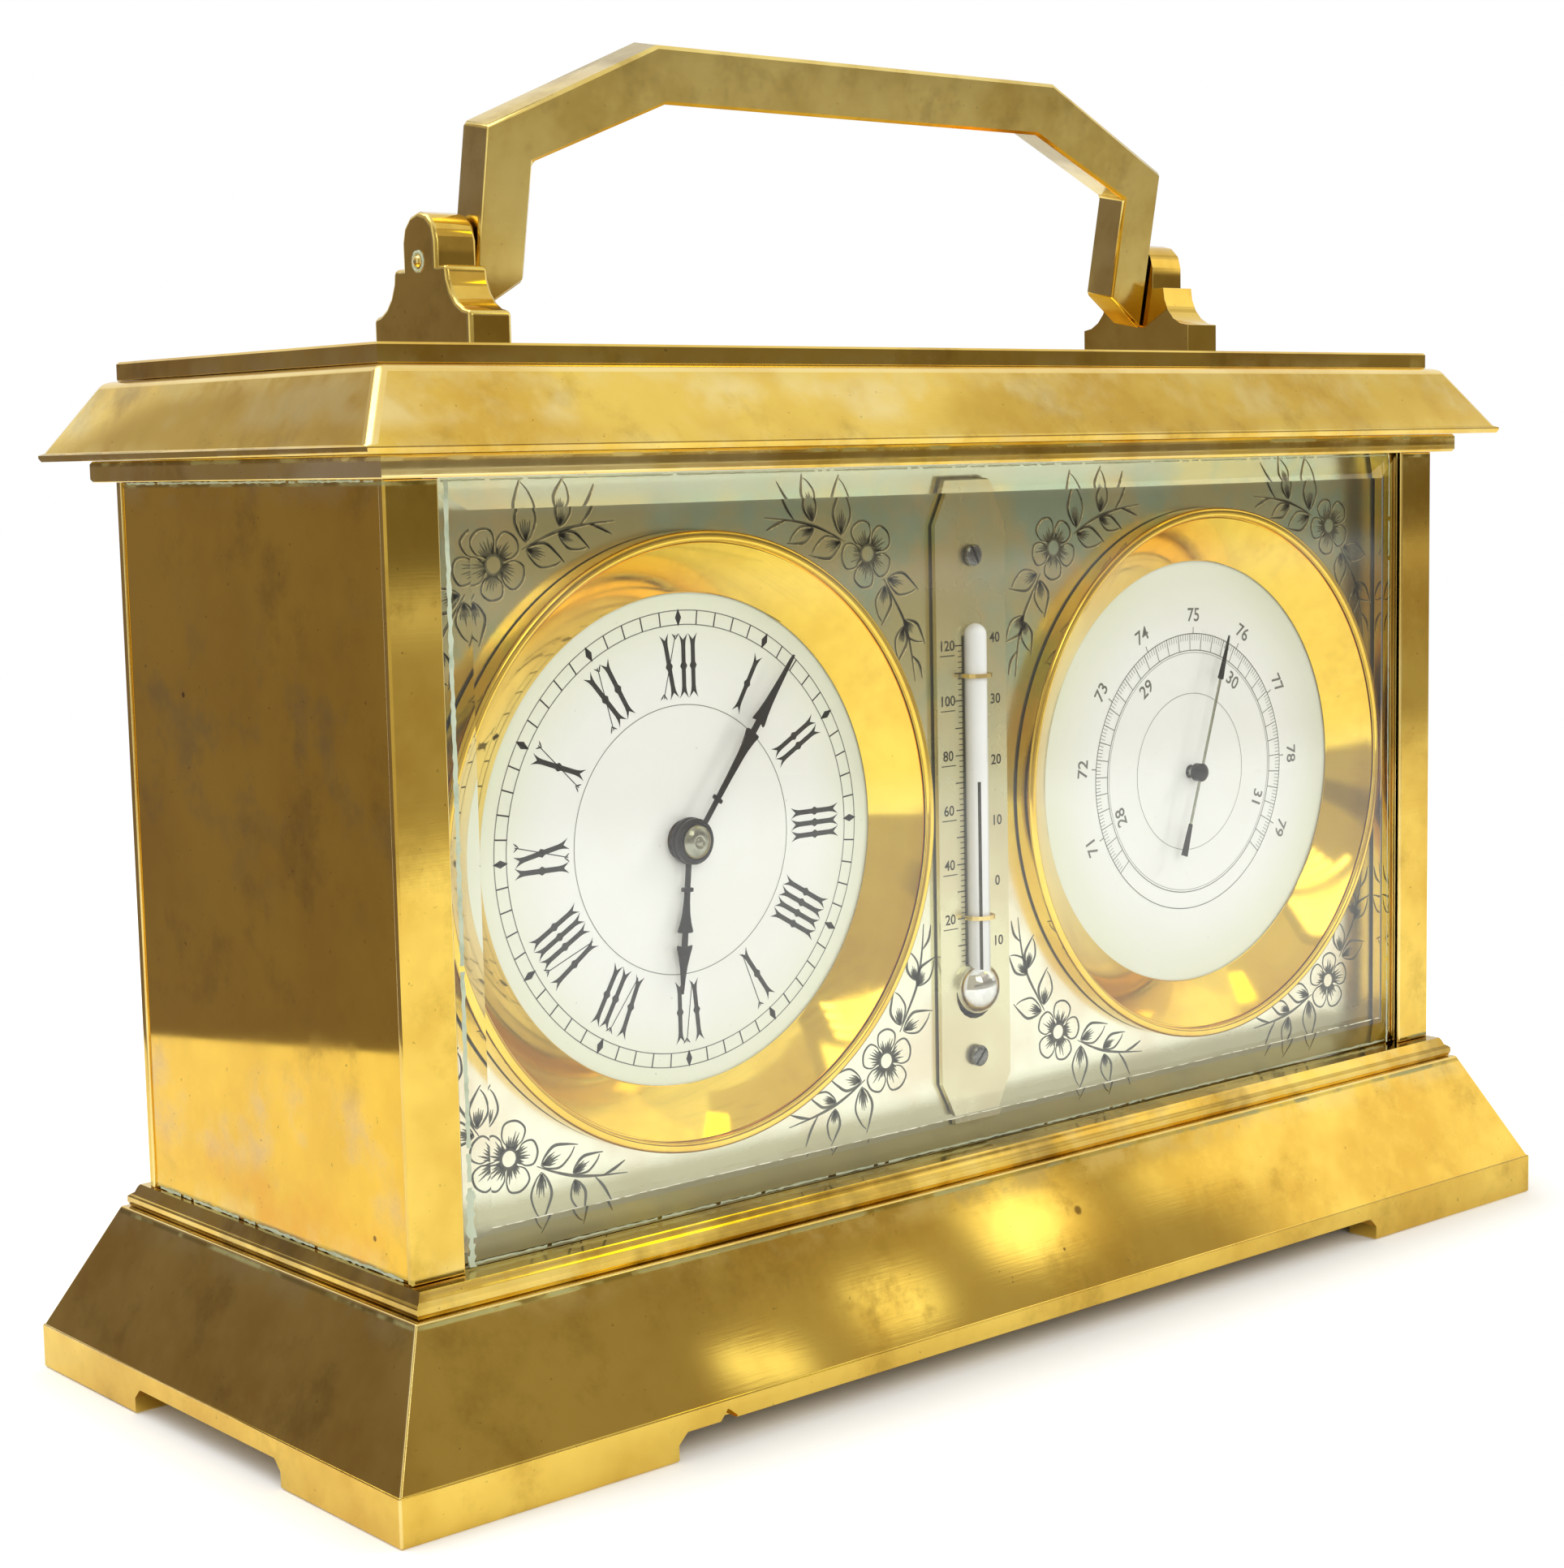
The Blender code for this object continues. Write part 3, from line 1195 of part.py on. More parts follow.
def rear_door(brass):
    x, y = DOOR_AXIS
    half = DOOR_THICKNESS / 2
    free = -OPENING_HALF + DOOR_CLEARANCE
    low = PILLAR_LOW + DOOR_CLEARANCE
    high = PILLAR_HIGH - DOOR_CLEARANCE
    hinge_edge = arc((x, y), half, -math.pi / 2, math.pi / 2, PIVOT_SEGMENTS)
    outline = [(free, y - half)] + hinge_edge + [(free, y + half)]
    bm = bmesh.new()
    prism(bm, outline, low, high, "Z")
    obj = build("rear_door", bm, brass, (x, y, 0))
    bm = bmesh.new()
    rod(bm, DOOR_AXIS, DOOR_PIN_RADIUS, BASE_PLATE_HIGH - DOOR_PIN_LENGTH, low + DOOR_PIN_LENGTH, "Z")
    rod(bm, DOOR_AXIS, DOOR_PIN_RADIUS, high - DOOR_PIN_LENGTH, FRIEZE_LOW + DOOR_PIN_LENGTH, "Z")
    join(obj, bm)


def door_knob(brass):
    face = BACK + SEAT_GAP
    end = face + KNOB_LENGTH
    ball = end - KNOB_RADIUS
    centre = (-OPENING_HALF + DOOR_CLEARANCE + KNOB_PLACE, DIAL_HEIGHT)
    profile = [
        (0, face),
        (KNOB_RADIUS, face),
        (KNOB_RADIUS, face + EDGE_SOFTENING),
        (KNOB_NECK_RADIUS, face + 2 * EDGE_SOFTENING),
    ]
    start = math.asin(KNOB_NECK_RADIUS / KNOB_RADIUS)
    steps = KNOB_STEPS
    for k in range(steps):
        turn = math.pi - start - (math.pi - start) * k / steps
        profile.append((KNOB_RADIUS * math.sin(turn), ball + KNOB_RADIUS * math.cos(turn)))
    profile.append((0, end))
    bm = bmesh.new()
    turned(bm, profile, centre, "Y", KNOB_SEGMENTS)
    build("door_knob", bm, brass, (DOOR_AXIS[0], DOOR_AXIS[1], 0))


# Movement of the clock

def corner_places(centre, offset):
    return [(centre[0] + a * offset, centre[1] + b * offset) for a in (-1, 1) for b in (-1, 1)]


def square_plate(bm, centre, low, high):
    half = MOVEMENT_HALF
    cropped = half - MOVEMENT_CORNER
    outline = []
    for a, b in ((1, -1), (1, 1), (-1, 1), (-1, -1)):
        first = (centre[0] + a * cropped, centre[1] + b * half)
        second = (centre[0] + a * half, centre[1] + b * cropped)
        outline += [first, second] if a * b < 0 else [second, first]
    prism(bm, outline, low, high, "Y")


def plate_holes(holes, low, high):
    bm = bmesh.new()
    for centre, radius, segments in holes:
        rod(bm, centre, radius, low - CUT_OVERRUN, high + CUT_OVERRUN, "Y", segments)
    return bm


def train_holes():
    return [
        (THIRD, PIVOT_HOLE, PIVOT_SEGMENTS),
        (FOURTH, PIVOT_HOLE, PIVOT_SEGMENTS),
        (ESCAPE, PIVOT_HOLE, PIVOT_SEGMENTS),
        (CLOCK, CENTRE_ARBOR + PIVOT_GAP, ROD_SEGMENTS),
        (BARREL, WINDING_RADIUS + PIVOT_GAP, ROD_SEGMENTS),
    ]


# The front plate carries the post of the minute wheel, the four pillars riveted to it with
# the screws behind the back plate, and the four posts that stand off the dial plate.
def clock_front_plate(brass):
    bm = bmesh.new()
    square_plate(bm, CLOCK, FRONT_PLATE_FRONT, FRONT_PLATE_BACK)
    obj = build("clock_front_plate", bm, brass)
    cut(obj, plate_holes(train_holes(), FRONT_PLATE_FRONT, FRONT_PLATE_BACK))
    middle = (FRONT_PLATE_FRONT + FRONT_PLATE_BACK) / 2
    bm = bmesh.new()
    top = FRONT_PLATE_FRONT - MINUTE_WHEEL_START - MINUTE_PINION_LENGTH - WHEEL_THICKNESS - SEAT_GAP
    rod(bm, MINUTE, MINUTE_POST_RADIUS, top, middle, "Y", PIVOT_SEGMENTS)
    join(obj, bm)
    for centre in corner_places(CLOCK, POST_PLACE):
        movement_pillar(obj, centre, middle)


# One pillar: post to the dial plate, shaft between the plates, tenon, screw head
def movement_pillar(obj, centre, start):
    high = BACK_PLATE_FRONT - SEAT_GAP
    head = BACK_PLATE_BACK + SEAT_GAP
    bm = bmesh.new()
    turned(bm, [
        (0, start),
        (PILLAR_RADIUS, start),
        (PILLAR_RADIUS, high),
        (PILLAR_TENON, high),
        (PILLAR_TENON, head),
        (PLATE_SCREW_HEAD, head),
        (PLATE_SCREW_HEAD, head + PLATE_SCREW_HEIGHT),
        (0, head + PLATE_SCREW_HEIGHT),
    ], centre, "Y", PIVOT_SEGMENTS)
    join(obj, bm)
    bm = bmesh.new()
    rod(bm, centre, POST_RADIUS, PLATE_BACK + SEAT_GAP, start - MOVEMENT_PLATE / 8, "Y")
    join(obj, bm)


# The back plate carries the shouldered screw on which the click turns
def clock_back_plate(brass):
    holes = train_holes()
    holes += [(c, PILLAR_TENON + PIVOT_GAP, PIVOT_SEGMENTS) for c in corner_places(CLOCK, POST_PLACE)]
    bm = bmesh.new()
    square_plate(bm, CLOCK, BACK_PLATE_FRONT, BACK_PLATE_BACK)
    obj = build("clock_back_plate", bm, brass)
    cut(obj, plate_holes(holes, BACK_PLATE_FRONT, BACK_PLATE_BACK))
    head = BACK_PLATE_BACK + 2 * SEAT_GAP + RATCHET_THICKNESS
    bm = bmesh.new()
    turned(bm, [
        (0, BACK_PLATE_BACK - MOVEMENT_PLATE / 2),
        (CLICK_SCREW, BACK_PLATE_BACK - MOVEMENT_PLATE / 2),
        (CLICK_SCREW, head),
        (PLATE_SCREW_HEAD, head),
        (PLATE_SCREW_HEAD, head + PLATE_SCREW_HEIGHT),
        (0, head + PLATE_SCREW_HEIGHT),
    ], CLICK, "Y", PIVOT_SEGMENTS)
    join(obj, bm)


def platform_screw_places():
    x = PLATFORM_HALF_WIDTH - PLATE_SCREW_HEAD
    low = ESCAPE[1] - PLATFORM_BOTTOM + PLATE_SCREW_HEAD
    high = ESCAPE[1] + PLATFORM_TOP - PLATE_SCREW_HEAD
    return [(ESCAPE[0] + a * x, z) for a in (-1, 1) for z in (low, high)]


def barrel(brass):
    phase = BARREL_TURN + math.pi
    low = FRONT_PLATE_BACK + GREAT_WHEEL_PLACE
    high = low + GREAT_WHEEL_THICKNESS
    bm = bmesh.new()
    prism(bm, toothed(BARREL_TEETH, BARREL_MODULE, BARREL, phase), low, high, "Y")
    obj = build("barrel", bm, brass, plane_pivot(BARREL, 0))
    bm = bmesh.new()
    rod(bm, BARREL, DRUM_RADIUS, FRONT_PLATE_BACK + DRUM_PLACE, (low + high) / 2, "Y", DRUM_SEGMENTS)
    join(obj, bm)
    cut(obj, plate_holes([(BARREL, WINDING_RADIUS + PIVOT_GAP, ROD_SEGMENTS)], FRONT_PLATE_BACK, high))


# The barrel's own arbor: it is wound by its square, and the ratchet holds it
def winding_arbor(steel):
    bm = bmesh.new()
    end = BACK_PLATE_BACK + WINDING_REACH
    rod(bm, BARREL, WINDING_RADIUS, FRONT_PLATE_FRONT, end - SQUARE_LENGTH, "Y")
    obj = build("winding_arbor", bm, steel, plane_pivot(BARREL, 0))
    bm = bmesh.new()
    square_end(bm, BARREL, WINDING_SQUARE_HALF * math.sqrt(0.5), end - SQUARE_LENGTH - CUT_OVERRUN, end)
    join(obj, bm)


def ratchet_wheel(steel):
    outline = []
    for k in range(RATCHET_TEETH):
        start = math.tau * k / RATCHET_TEETH
        outline.append(around(BARREL, RATCHET_RADIUS - RATCHET_DEPTH, start))
        outline.append(around(BARREL, RATCHET_RADIUS, start + math.tau / RATCHET_TEETH * RATCHET_TIP_SHARE))
    low = BACK_PLATE_BACK + SEAT_GAP
    high = low + RATCHET_THICKNESS
    bm = bmesh.new()
    prism(bm, outline, low, high, "Y")
    obj = build("ratchet_wheel", bm, steel, plane_pivot(BARREL, 0))
    cut(obj, plate_holes([(BARREL, WINDING_RADIUS + PIVOT_GAP, ROD_SEGMENTS)], low, high))


def click(steel):
    nose = around(BARREL, RATCHET_RADIUS + CLICK_NOSE_GAP, CLICK_NOSE_TURN)
    heel = around(BARREL, RATCHET_RADIUS + CLICK_NOSE_GAP + CLICK_NOSE_WIDTH, CLICK_NOSE_TURN)
    toward = math.atan2(nose[1] - CLICK[1], nose[0] - CLICK[0])
    eye = arc(CLICK, CLICK_EYE, toward + math.pi / 2, toward + 3 * math.pi / 2, PIVOT_SEGMENTS)
    outline = eye + [nose, heel]
    low = BACK_PLATE_BACK + SEAT_GAP
    high = low + RATCHET_THICKNESS
    bm = bmesh.new()
    prism(bm, outline, low, high, "Y")
    obj = build("click", bm, steel, plane_pivot(CLICK, 0))
    cut(obj, plate_holes([(CLICK, CLICK_SCREW + PIVOT_GAP, PIVOT_SEGMENTS)], low, high))


# A crossed-out wheel. Its arbor and pinion are joined to it and turn with it.
def crossed_wheel(name, centre, teeth, module, phase, low, hub, metal, form="wheel"):
    high = low + WHEEL_THICKNESS
    rim = teeth * module / 2 - WHEEL_DEDENDUM_SHARE * module - RIM_WIDTH
    bm = bmesh.new()
    prism(bm, toothed(teeth, module, centre, phase, form), low, high, "Y")
    obj = build(name, bm, metal, plane_pivot(centre, 0))
    cut(obj, spoke_cutters(centre, hub, rim, low, high, phase))
    return obj


# A pinion spans the wheel that drives it, with a little overhang on both sides
def pinion(obj, centre, leaves, module, wheel_phase, drive, thickness=WHEEL_THICKNESS):
    phase = pinion_phase(wheel_phase, leaves)
    bm = bmesh.new()
    outline = toothed(leaves, module, centre, phase, "leaves")
    prism(bm, outline, drive - PINION_OVERHANG, drive + thickness + PINION_OVERHANG, "Y")
    join(obj, bm)


# A plain arbor between the plates, with a pivot in each plate
def arbor(obj, centre, radius):
    low = FRONT_PLATE_BACK + ARBOR_END_SHAKE
    high = BACK_PLATE_FRONT - ARBOR_END_SHAKE
    pivot = MOVEMENT_PLATE
    bm = bmesh.new()
    turned(bm, [
        (0, low - pivot),
        (PIVOT_RADIUS, low - pivot),
        (PIVOT_RADIUS, low),
        (radius, low),
        (radius, high),
        (PIVOT_RADIUS, high),
        (PIVOT_RADIUS, high + pivot),
        (0, high + pivot),
    ], centre, "Y", PIVOT_SEGMENTS)
    join(obj, bm)


GREAT_WHEEL = FRONT_PLATE_BACK + GREAT_WHEEL_PLACE
CENTRE_WHEEL = FRONT_PLATE_BACK + CENTRE_WHEEL_PLACE
THIRD_WHEEL = FRONT_PLATE_BACK + THIRD_WHEEL_PLACE
FOURTH_WHEEL = FRONT_PLATE_BACK + FOURTH_WHEEL_PLACE


def centre_wheel(brass):
    obj = crossed_wheel(
        "centre_wheel", CLOCK, CENTRE_TEETH, CENTRE_MODULE, THIRD_TURN, CENTRE_WHEEL, CENTRE_HUB, brass)
    end = BACK_PLATE_BACK + SETTING_REACH
    bm = bmesh.new()
    turned(bm, [
        (0, MINUTE_HAND_FRONT),
        (CENTRE_FRONT_ARBOR, MINUTE_HAND_FRONT),
        (CENTRE_FRONT_ARBOR, FRONT_PLATE_FRONT),
        (CENTRE_ARBOR, FRONT_PLATE_FRONT),
        (CENTRE_ARBOR, end - SQUARE_LENGTH + CUT_OVERRUN),
        (0, end - SQUARE_LENGTH + CUT_OVERRUN),
    ], CLOCK, "Y", ROD_SEGMENTS)
    join(obj, bm)
    bm = bmesh.new()
    square_end(bm, CLOCK, SETTING_SQUARE_HALF * math.sqrt(0.5), end - SQUARE_LENGTH, end)
    join(obj, bm)
    drive = GREAT_WHEEL
    turn = BARREL_TURN + math.pi
    pinion(obj, CLOCK, CENTRE_LEAVES, BARREL_MODULE, turn, drive, GREAT_WHEEL_THICKNESS)


def third_wheel(brass):
    obj = crossed_wheel("third_wheel", THIRD, THIRD_TEETH, THIRD_MODULE, FOURTH_TURN,
                        THIRD_WHEEL, THIRD_HUB, brass, "pointed")
    arbor(obj, THIRD, ARBOR_RADIUS)
    pinion(obj, THIRD, THIRD_LEAVES, CENTRE_MODULE, THIRD_TURN, CENTRE_WHEEL)


def fourth_wheel(brass):
    bm = bmesh.new()
    outline = toothed(FOURTH_TEETH, FOURTH_MODULE, FOURTH, ESCAPE_TURN, "pointed")
    prism(bm, outline, FOURTH_WHEEL, FOURTH_WHEEL + WHEEL_THICKNESS, "Y")
    obj = build("fourth_wheel", bm, brass, plane_pivot(FOURTH, 0))
    arbor(obj, FOURTH, FOURTH_ARBOR_RADIUS)
    pinion(obj, FOURTH, FOURTH_LEAVES, THIRD_MODULE, FOURTH_TURN, THIRD_WHEEL)


# Motion work: the cannon pinion carries the minute hand, the hour wheel's pipe the hour hand

def cannon_pinion(steel):
    drive = FRONT_PLATE_FRONT - CANNON_PINION_START - CANNON_PINION_LENGTH
    bm = bmesh.new()
    phase = pinion_phase(MINUTE_TURN + math.pi, CANNON_LEAVES)
    outline = toothed(CANNON_LEAVES, MINUTE_MODULE, CLOCK, phase, "leaves")
    prism(bm, outline, drive, drive + CANNON_PINION_LENGTH, "Y")
    obj = build("cannon_pinion", bm, steel, plane_pivot(CLOCK, 0))
    bm = bmesh.new()
    rod(bm, CLOCK, CANNON_PIPE, MINUTE_HAND_FRONT, drive + CANNON_PINION_LENGTH / 2, "Y")
    join(obj, bm)
    cut(obj, plate_holes([(CLOCK, CANNON_BORE, ROD_SEGMENTS)], MINUTE_HAND_FRONT, FRONT_PLATE_FRONT))


def minute_wheel(brass):
    high = FRONT_PLATE_FRONT - MINUTE_WHEEL_START
    low = high - WHEEL_THICKNESS
    bm = bmesh.new()
    prism(bm, toothed(MINUTE_TEETH, MINUTE_MODULE, MINUTE, MINUTE_TURN + math.pi, "pointed"), low, high, "Y")
    obj = build("minute_wheel", bm, brass, plane_pivot(MINUTE, 0))
    bm = bmesh.new()
    phase = pinion_phase(MINUTE_TURN, MINUTE_LEAVES)
    outline = toothed(MINUTE_LEAVES, HOUR_MODULE, MINUTE, phase, "leaves")
    prism(bm, outline, low - MINUTE_PINION_LENGTH, low + WHEEL_THICKNESS / 2, "Y")
    join(obj, bm)
    cut(obj, plate_holes([(MINUTE, MINUTE_BORE, PIVOT_SEGMENTS)], low - MINUTE_PINION_LENGTH, high))


def hour_wheel(brass):
    high = FRONT_PLATE_FRONT - HOUR_WHEEL_START
    low = high - WHEEL_THICKNESS
    bm = bmesh.new()
    prism(bm, toothed(HOUR_TEETH, HOUR_MODULE, CLOCK, MINUTE_TURN, "pointed"), low, high, "Y")
    obj = build("hour_wheel", bm, brass, plane_pivot(CLOCK, 0))
    bm = bmesh.new()
    front = HOUR_HAND_BACK - HAND_THICKNESS
    rod(bm, CLOCK, HOUR_PIPE, front, low + WHEEL_THICKNESS / 2, "Y")
    join(obj, bm)
    cut(obj, plate_holes([(CLOCK, HOUR_BORE, ROD_SEGMENTS)], front, high))


# A flat hand. The table gives points along one side, from the eye to the tip.
def hand_side(length, half_width, shares):
    return [(share * length, width_share * half_width) for share, width_share in shares]


def hand(name, centre, angle, length, half_width, eye, shares, back, bore, metal, pivot, tail=None):
    side = hand_side(length, half_width, shares)
    stem = math.asin(side[0][1] / eye)
    tail_side = hand_side(tail[0], half_width, tail[1]) if tail else []
    tail_stem = math.asin(tail_side[0][1] / eye) if tail else 0
    points = side[::-1] + arc((0, 0), eye, stem, math.pi - tail_stem, HAND_EYE_STEPS // 2)
    points += [(-u, v) for u, v in tail_side]
    outline = [(length, 0)] + points + [(u, -v) for u, v in points[::-1]]
    turn = math.pi / 2 - angle
    placed = []
    for u, v in outline:
        x = centre[0] + u * math.cos(turn) - v * math.sin(turn)
        z = centre[1] + u * math.sin(turn) + v * math.cos(turn)
        if not placed or math.dist(placed[-1], (x, z)) > SEAT_GAP / 100:
            placed.append((x, z))
    bm = bmesh.new()
    prism(bm, placed, back - HAND_THICKNESS, back, "Y")
    obj = build(name, bm, metal, plane_pivot(pivot, 0))
    if bore:
        cut(obj, plate_holes([(centre, bore, ROD_SEGMENTS)], back - HAND_THICKNESS, back))


def clock_hands(steel):
    hand("hour_hand", CLOCK, HOUR_HAND_ANGLE, HOUR_HAND_LENGTH, HAND_HALF_WIDTH, HAND_EYE_RADIUS,
         HOUR_HAND_SHARES, HOUR_HAND_BACK, HOUR_PIPE + SEAT_GAP, steel, CLOCK)
    hand("minute_hand", CLOCK, MINUTE_HAND_ANGLE, MINUTE_HAND_LENGTH, HAND_HALF_WIDTH, HAND_EYE_RADIUS,
         MINUTE_HAND_SHARES, MINUTE_HAND_BACK, CANNON_PIPE + SEAT_GAP, steel, CLOCK)


def hand_collet(steel):
    seat = MINUTE_HAND_FRONT - SEAT_GAP
    bm = bmesh.new()
    turned(bm, [
        (0, seat),
        (COLLET_RADIUS, seat),
        (COLLET_RADIUS, seat - COLLET_HEIGHT / 3),
        (COLLET_RADIUS * 0.8, seat - COLLET_HEIGHT * 0.7),
        (COLLET_RADIUS * 0.4, seat - COLLET_HEIGHT),
        (0, seat - COLLET_HEIGHT),
    ], CLOCK, "Y", KNOB_SEGMENTS)
    build("hand_collet", bm, steel, plane_pivot(CLOCK, 0))


# Escapement on its platform

def escapement_platform(brass):
    x, z = ESCAPE
    bm = bmesh.new()
    box(bm, (x - PLATFORM_HALF_WIDTH, PLATFORM_FRONT, z - PLATFORM_BOTTOM),
        (x + PLATFORM_HALF_WIDTH, PLATFORM_BACK, z + PLATFORM_TOP))
    obj = build("escapement_platform", bm, brass)
    cut(obj, plate_holes([
        (ESCAPE, ESCAPE_ARBOR_RADIUS + 2 * PIVOT_GAP, PIVOT_SEGMENTS),
        (LEVER, LEVER_STAFF / 2 + PIVOT_GAP, PIVOT_SEGMENTS),
        (BALANCE, BALANCE_STAFF / 2 + PIVOT_GAP, PIVOT_SEGMENTS),
    ], PLATFORM_FRONT, PLATFORM_BACK))
    head = PLATFORM_BACK + PLATE_SCREW_HEIGHT
    for centre in platform_screw_places():
        bm = bmesh.new()
        rod(bm, centre, PLATE_SCREW_HEAD, PLATFORM_BACK - PLATFORM_THICKNESS / 2, head, "Y")
        join(obj, bm)


def escape_wheel(steel):
    low = PLATFORM_BACK + ESCAPE_STANDOFF
    pitch = math.tau / ESCAPE_TEETH
    outline = []
    for k in range(ESCAPE_TEETH):
        outline.append(around(ESCAPE, ESCAPE_ROOT, (k + ESCAPE_ROOT_SHARE) * pitch))
        outline.append(around(ESCAPE, ESCAPE_TIP, (k + ESCAPE_HEEL_SHARE) * pitch))
        outline.append(around(ESCAPE, ESCAPE_TIP, (k + 1) * pitch))
    bm = bmesh.new()
    prism(bm, outline, low, low + ESCAPE_THICKNESS, "Y")
    obj = build("escape_wheel", bm, steel, plane_pivot(ESCAPE, 0))
    end = PLATFORM_BACK + SMALL_COCK_STANDOFF
    bm = bmesh.new()
    turned(bm, [
        (0, FRONT_PLATE_FRONT + ARBOR_END_SHAKE),
        (PIVOT_RADIUS, FRONT_PLATE_FRONT + ARBOR_END_SHAKE),
        (PIVOT_RADIUS, FRONT_PLATE_BACK + ARBOR_END_SHAKE),
        (ESCAPE_ARBOR_RADIUS, FRONT_PLATE_BACK + ARBOR_END_SHAKE),
        (ESCAPE_ARBOR_RADIUS, end - PIVOT_GAP),
        (0, end - PIVOT_GAP),
    ], ESCAPE, "Y", PIVOT_SEGMENTS)
    join(obj, bm)
    pinion(obj, ESCAPE, ESCAPE_LEAVES, FOURTH_MODULE, ESCAPE_TURN, FOURTH_WHEEL)


# The lever: an anchor round the escape wheel, a boss, and a fork towards the balance
def lever(steel):
    x, z = ESCAPE
    inner = ESCAPE_TIP + PALLET_CLEARANCE
    web = inner + PALLET_LENGTH
    outer = web + ANCHOR_WIDTH
    down = -math.pi / 2
    spread = PALLET_SPREAD
    turn = PALLET_TURN
    outline = [around(ESCAPE, inner, down - spread)]
    outline += [around(ESCAPE, inner, down - spread + turn)]
    outline += arc(ESCAPE, web, down - spread + turn, down + spread - turn, ANCHOR_STEPS)
    outline += [around(ESCAPE, inner, down + spread - turn)]
    outline += [around(ESCAPE, inner, down + spread)]
    outline += arc(ESCAPE, outer, down + spread, down - spread, ANCHOR_STEPS)
    low = PLATFORM_BACK + ESCAPE_STANDOFF
    bm = bmesh.new()
    prism(bm, outline, low, low + LEVER_THICKNESS, "Y")
    obj = build("lever", bm, steel, plane_pivot(LEVER, 0))
    tip = LEVER[1] - FORK_REACH
    notch = tip + FORK_SLOT_DEPTH
    root = notch + FORK_SLOT_DEPTH
    half = [
        (FORK_SLOT_HALF, notch),
        (FORK_SLOT_HALF, tip),
        (FORK_HALF, tip),
        (FORK_HALF, notch),
        (LEVER_ARM_HALF, root),
        (LEVER_ARM_HALF, LEVER[1]),
    ]
    fork = [(x + u, v) for u, v in half] + [(x - u, v) for u, v in half[::-1]]
    bm = bmesh.new()
    prism(bm, fork, low, low + LEVER_THICKNESS, "Y")
    join(obj, bm)
    end = PLATFORM_BACK + SMALL_COCK_STANDOFF
    bm = bmesh.new()
    turned(bm, [
        (0, PLATFORM_FRONT + PIVOT_GAP),
        (LEVER_STAFF / 2, PLATFORM_FRONT + PIVOT_GAP),
        (LEVER_STAFF / 2, PLATFORM_BACK + PIVOT_GAP),
        (LEVER_STAFF, PLATFORM_BACK + PIVOT_GAP),
        (LEVER_STAFF, low - CUT_OVERRUN / 10),
        (LEVER_BOSS, low - CUT_OVERRUN / 10),
        (LEVER_BOSS, low + LEVER_THICKNESS + CUT_OVERRUN / 10),
        (LEVER_STAFF, low + LEVER_THICKNESS + CUT_OVERRUN / 10),
        (LEVER_STAFF, end - PIVOT_GAP),
        (0, end - PIVOT_GAP),
    ], LEVER, "Y", PIVOT_SEGMENTS)
    join(obj, bm)


def balance_wheel(brass):
    low = PLATFORM_BACK + BALANCE_STANDOFF
    high = low + BALANCE_THICKNESS
    bm = bmesh.new()
    turned(bm, [
        (BALANCE_RADIUS, low),
        (BALANCE_RADIUS, high),
        (BALANCE_RADIUS - BALANCE_RIM, high),
        (BALANCE_RADIUS - BALANCE_RIM, low),
    ], BALANCE, "Y", DRUM_SEGMENTS)
    obj = build("balance_wheel", bm, brass, plane_pivot(BALANCE, 0))
    bm = bmesh.new()
    reach = BALANCE_RADIUS - BALANCE_RIM / 2
    shrink = BALANCE_THICKNESS / 8
    box(bm, (BALANCE[0] - reach, low + shrink, BALANCE[1] - BALANCE_ARM_HALF),
        (BALANCE[0] + reach, high - shrink, BALANCE[1] + BALANCE_ARM_HALF))
    join(obj, bm)
    roller = PLATFORM_BACK + ROLLER_STANDOFF
    end = PLATFORM_BACK + COCK_STANDOFF + COCK_THICKNESS
    bm = bmesh.new()
    turned(bm, [
        (0, PLATFORM_FRONT + PIVOT_GAP),
        (BALANCE_STAFF / 2, PLATFORM_FRONT + PIVOT_GAP),
        (BALANCE_STAFF / 2, PLATFORM_BACK + PIVOT_GAP),
        (BALANCE_STAFF, PLATFORM_BACK + PIVOT_GAP),
        (BALANCE_STAFF, roller),
        (ROLLER_RADIUS, roller),
        (ROLLER_RADIUS, roller + ROLLER_THICKNESS),
        (BALANCE_STAFF, roller + ROLLER_THICKNESS),
        (BALANCE_STAFF, end - COCK_THICKNESS - PIVOT_GAP),
        (BALANCE_STAFF / 2, end - COCK_THICKNESS - PIVOT_GAP),
        (BALANCE_STAFF / 2, end - PIVOT_GAP),
        (0, end - PIVOT_GAP),
    ], BALANCE, "Y", PIVOT_SEGMENTS)
    join(obj, bm)
    bm = bmesh.new()
    pin = (BALANCE[0], BALANCE[1] + IMPULSE_PLACE)
    rod(bm, pin, IMPULSE_RADIUS, roller - IMPULSE_LENGTH, roller + ROLLER_THICKNESS / 2, "Y", PIVOT_SEGMENTS)
    join(obj, bm)


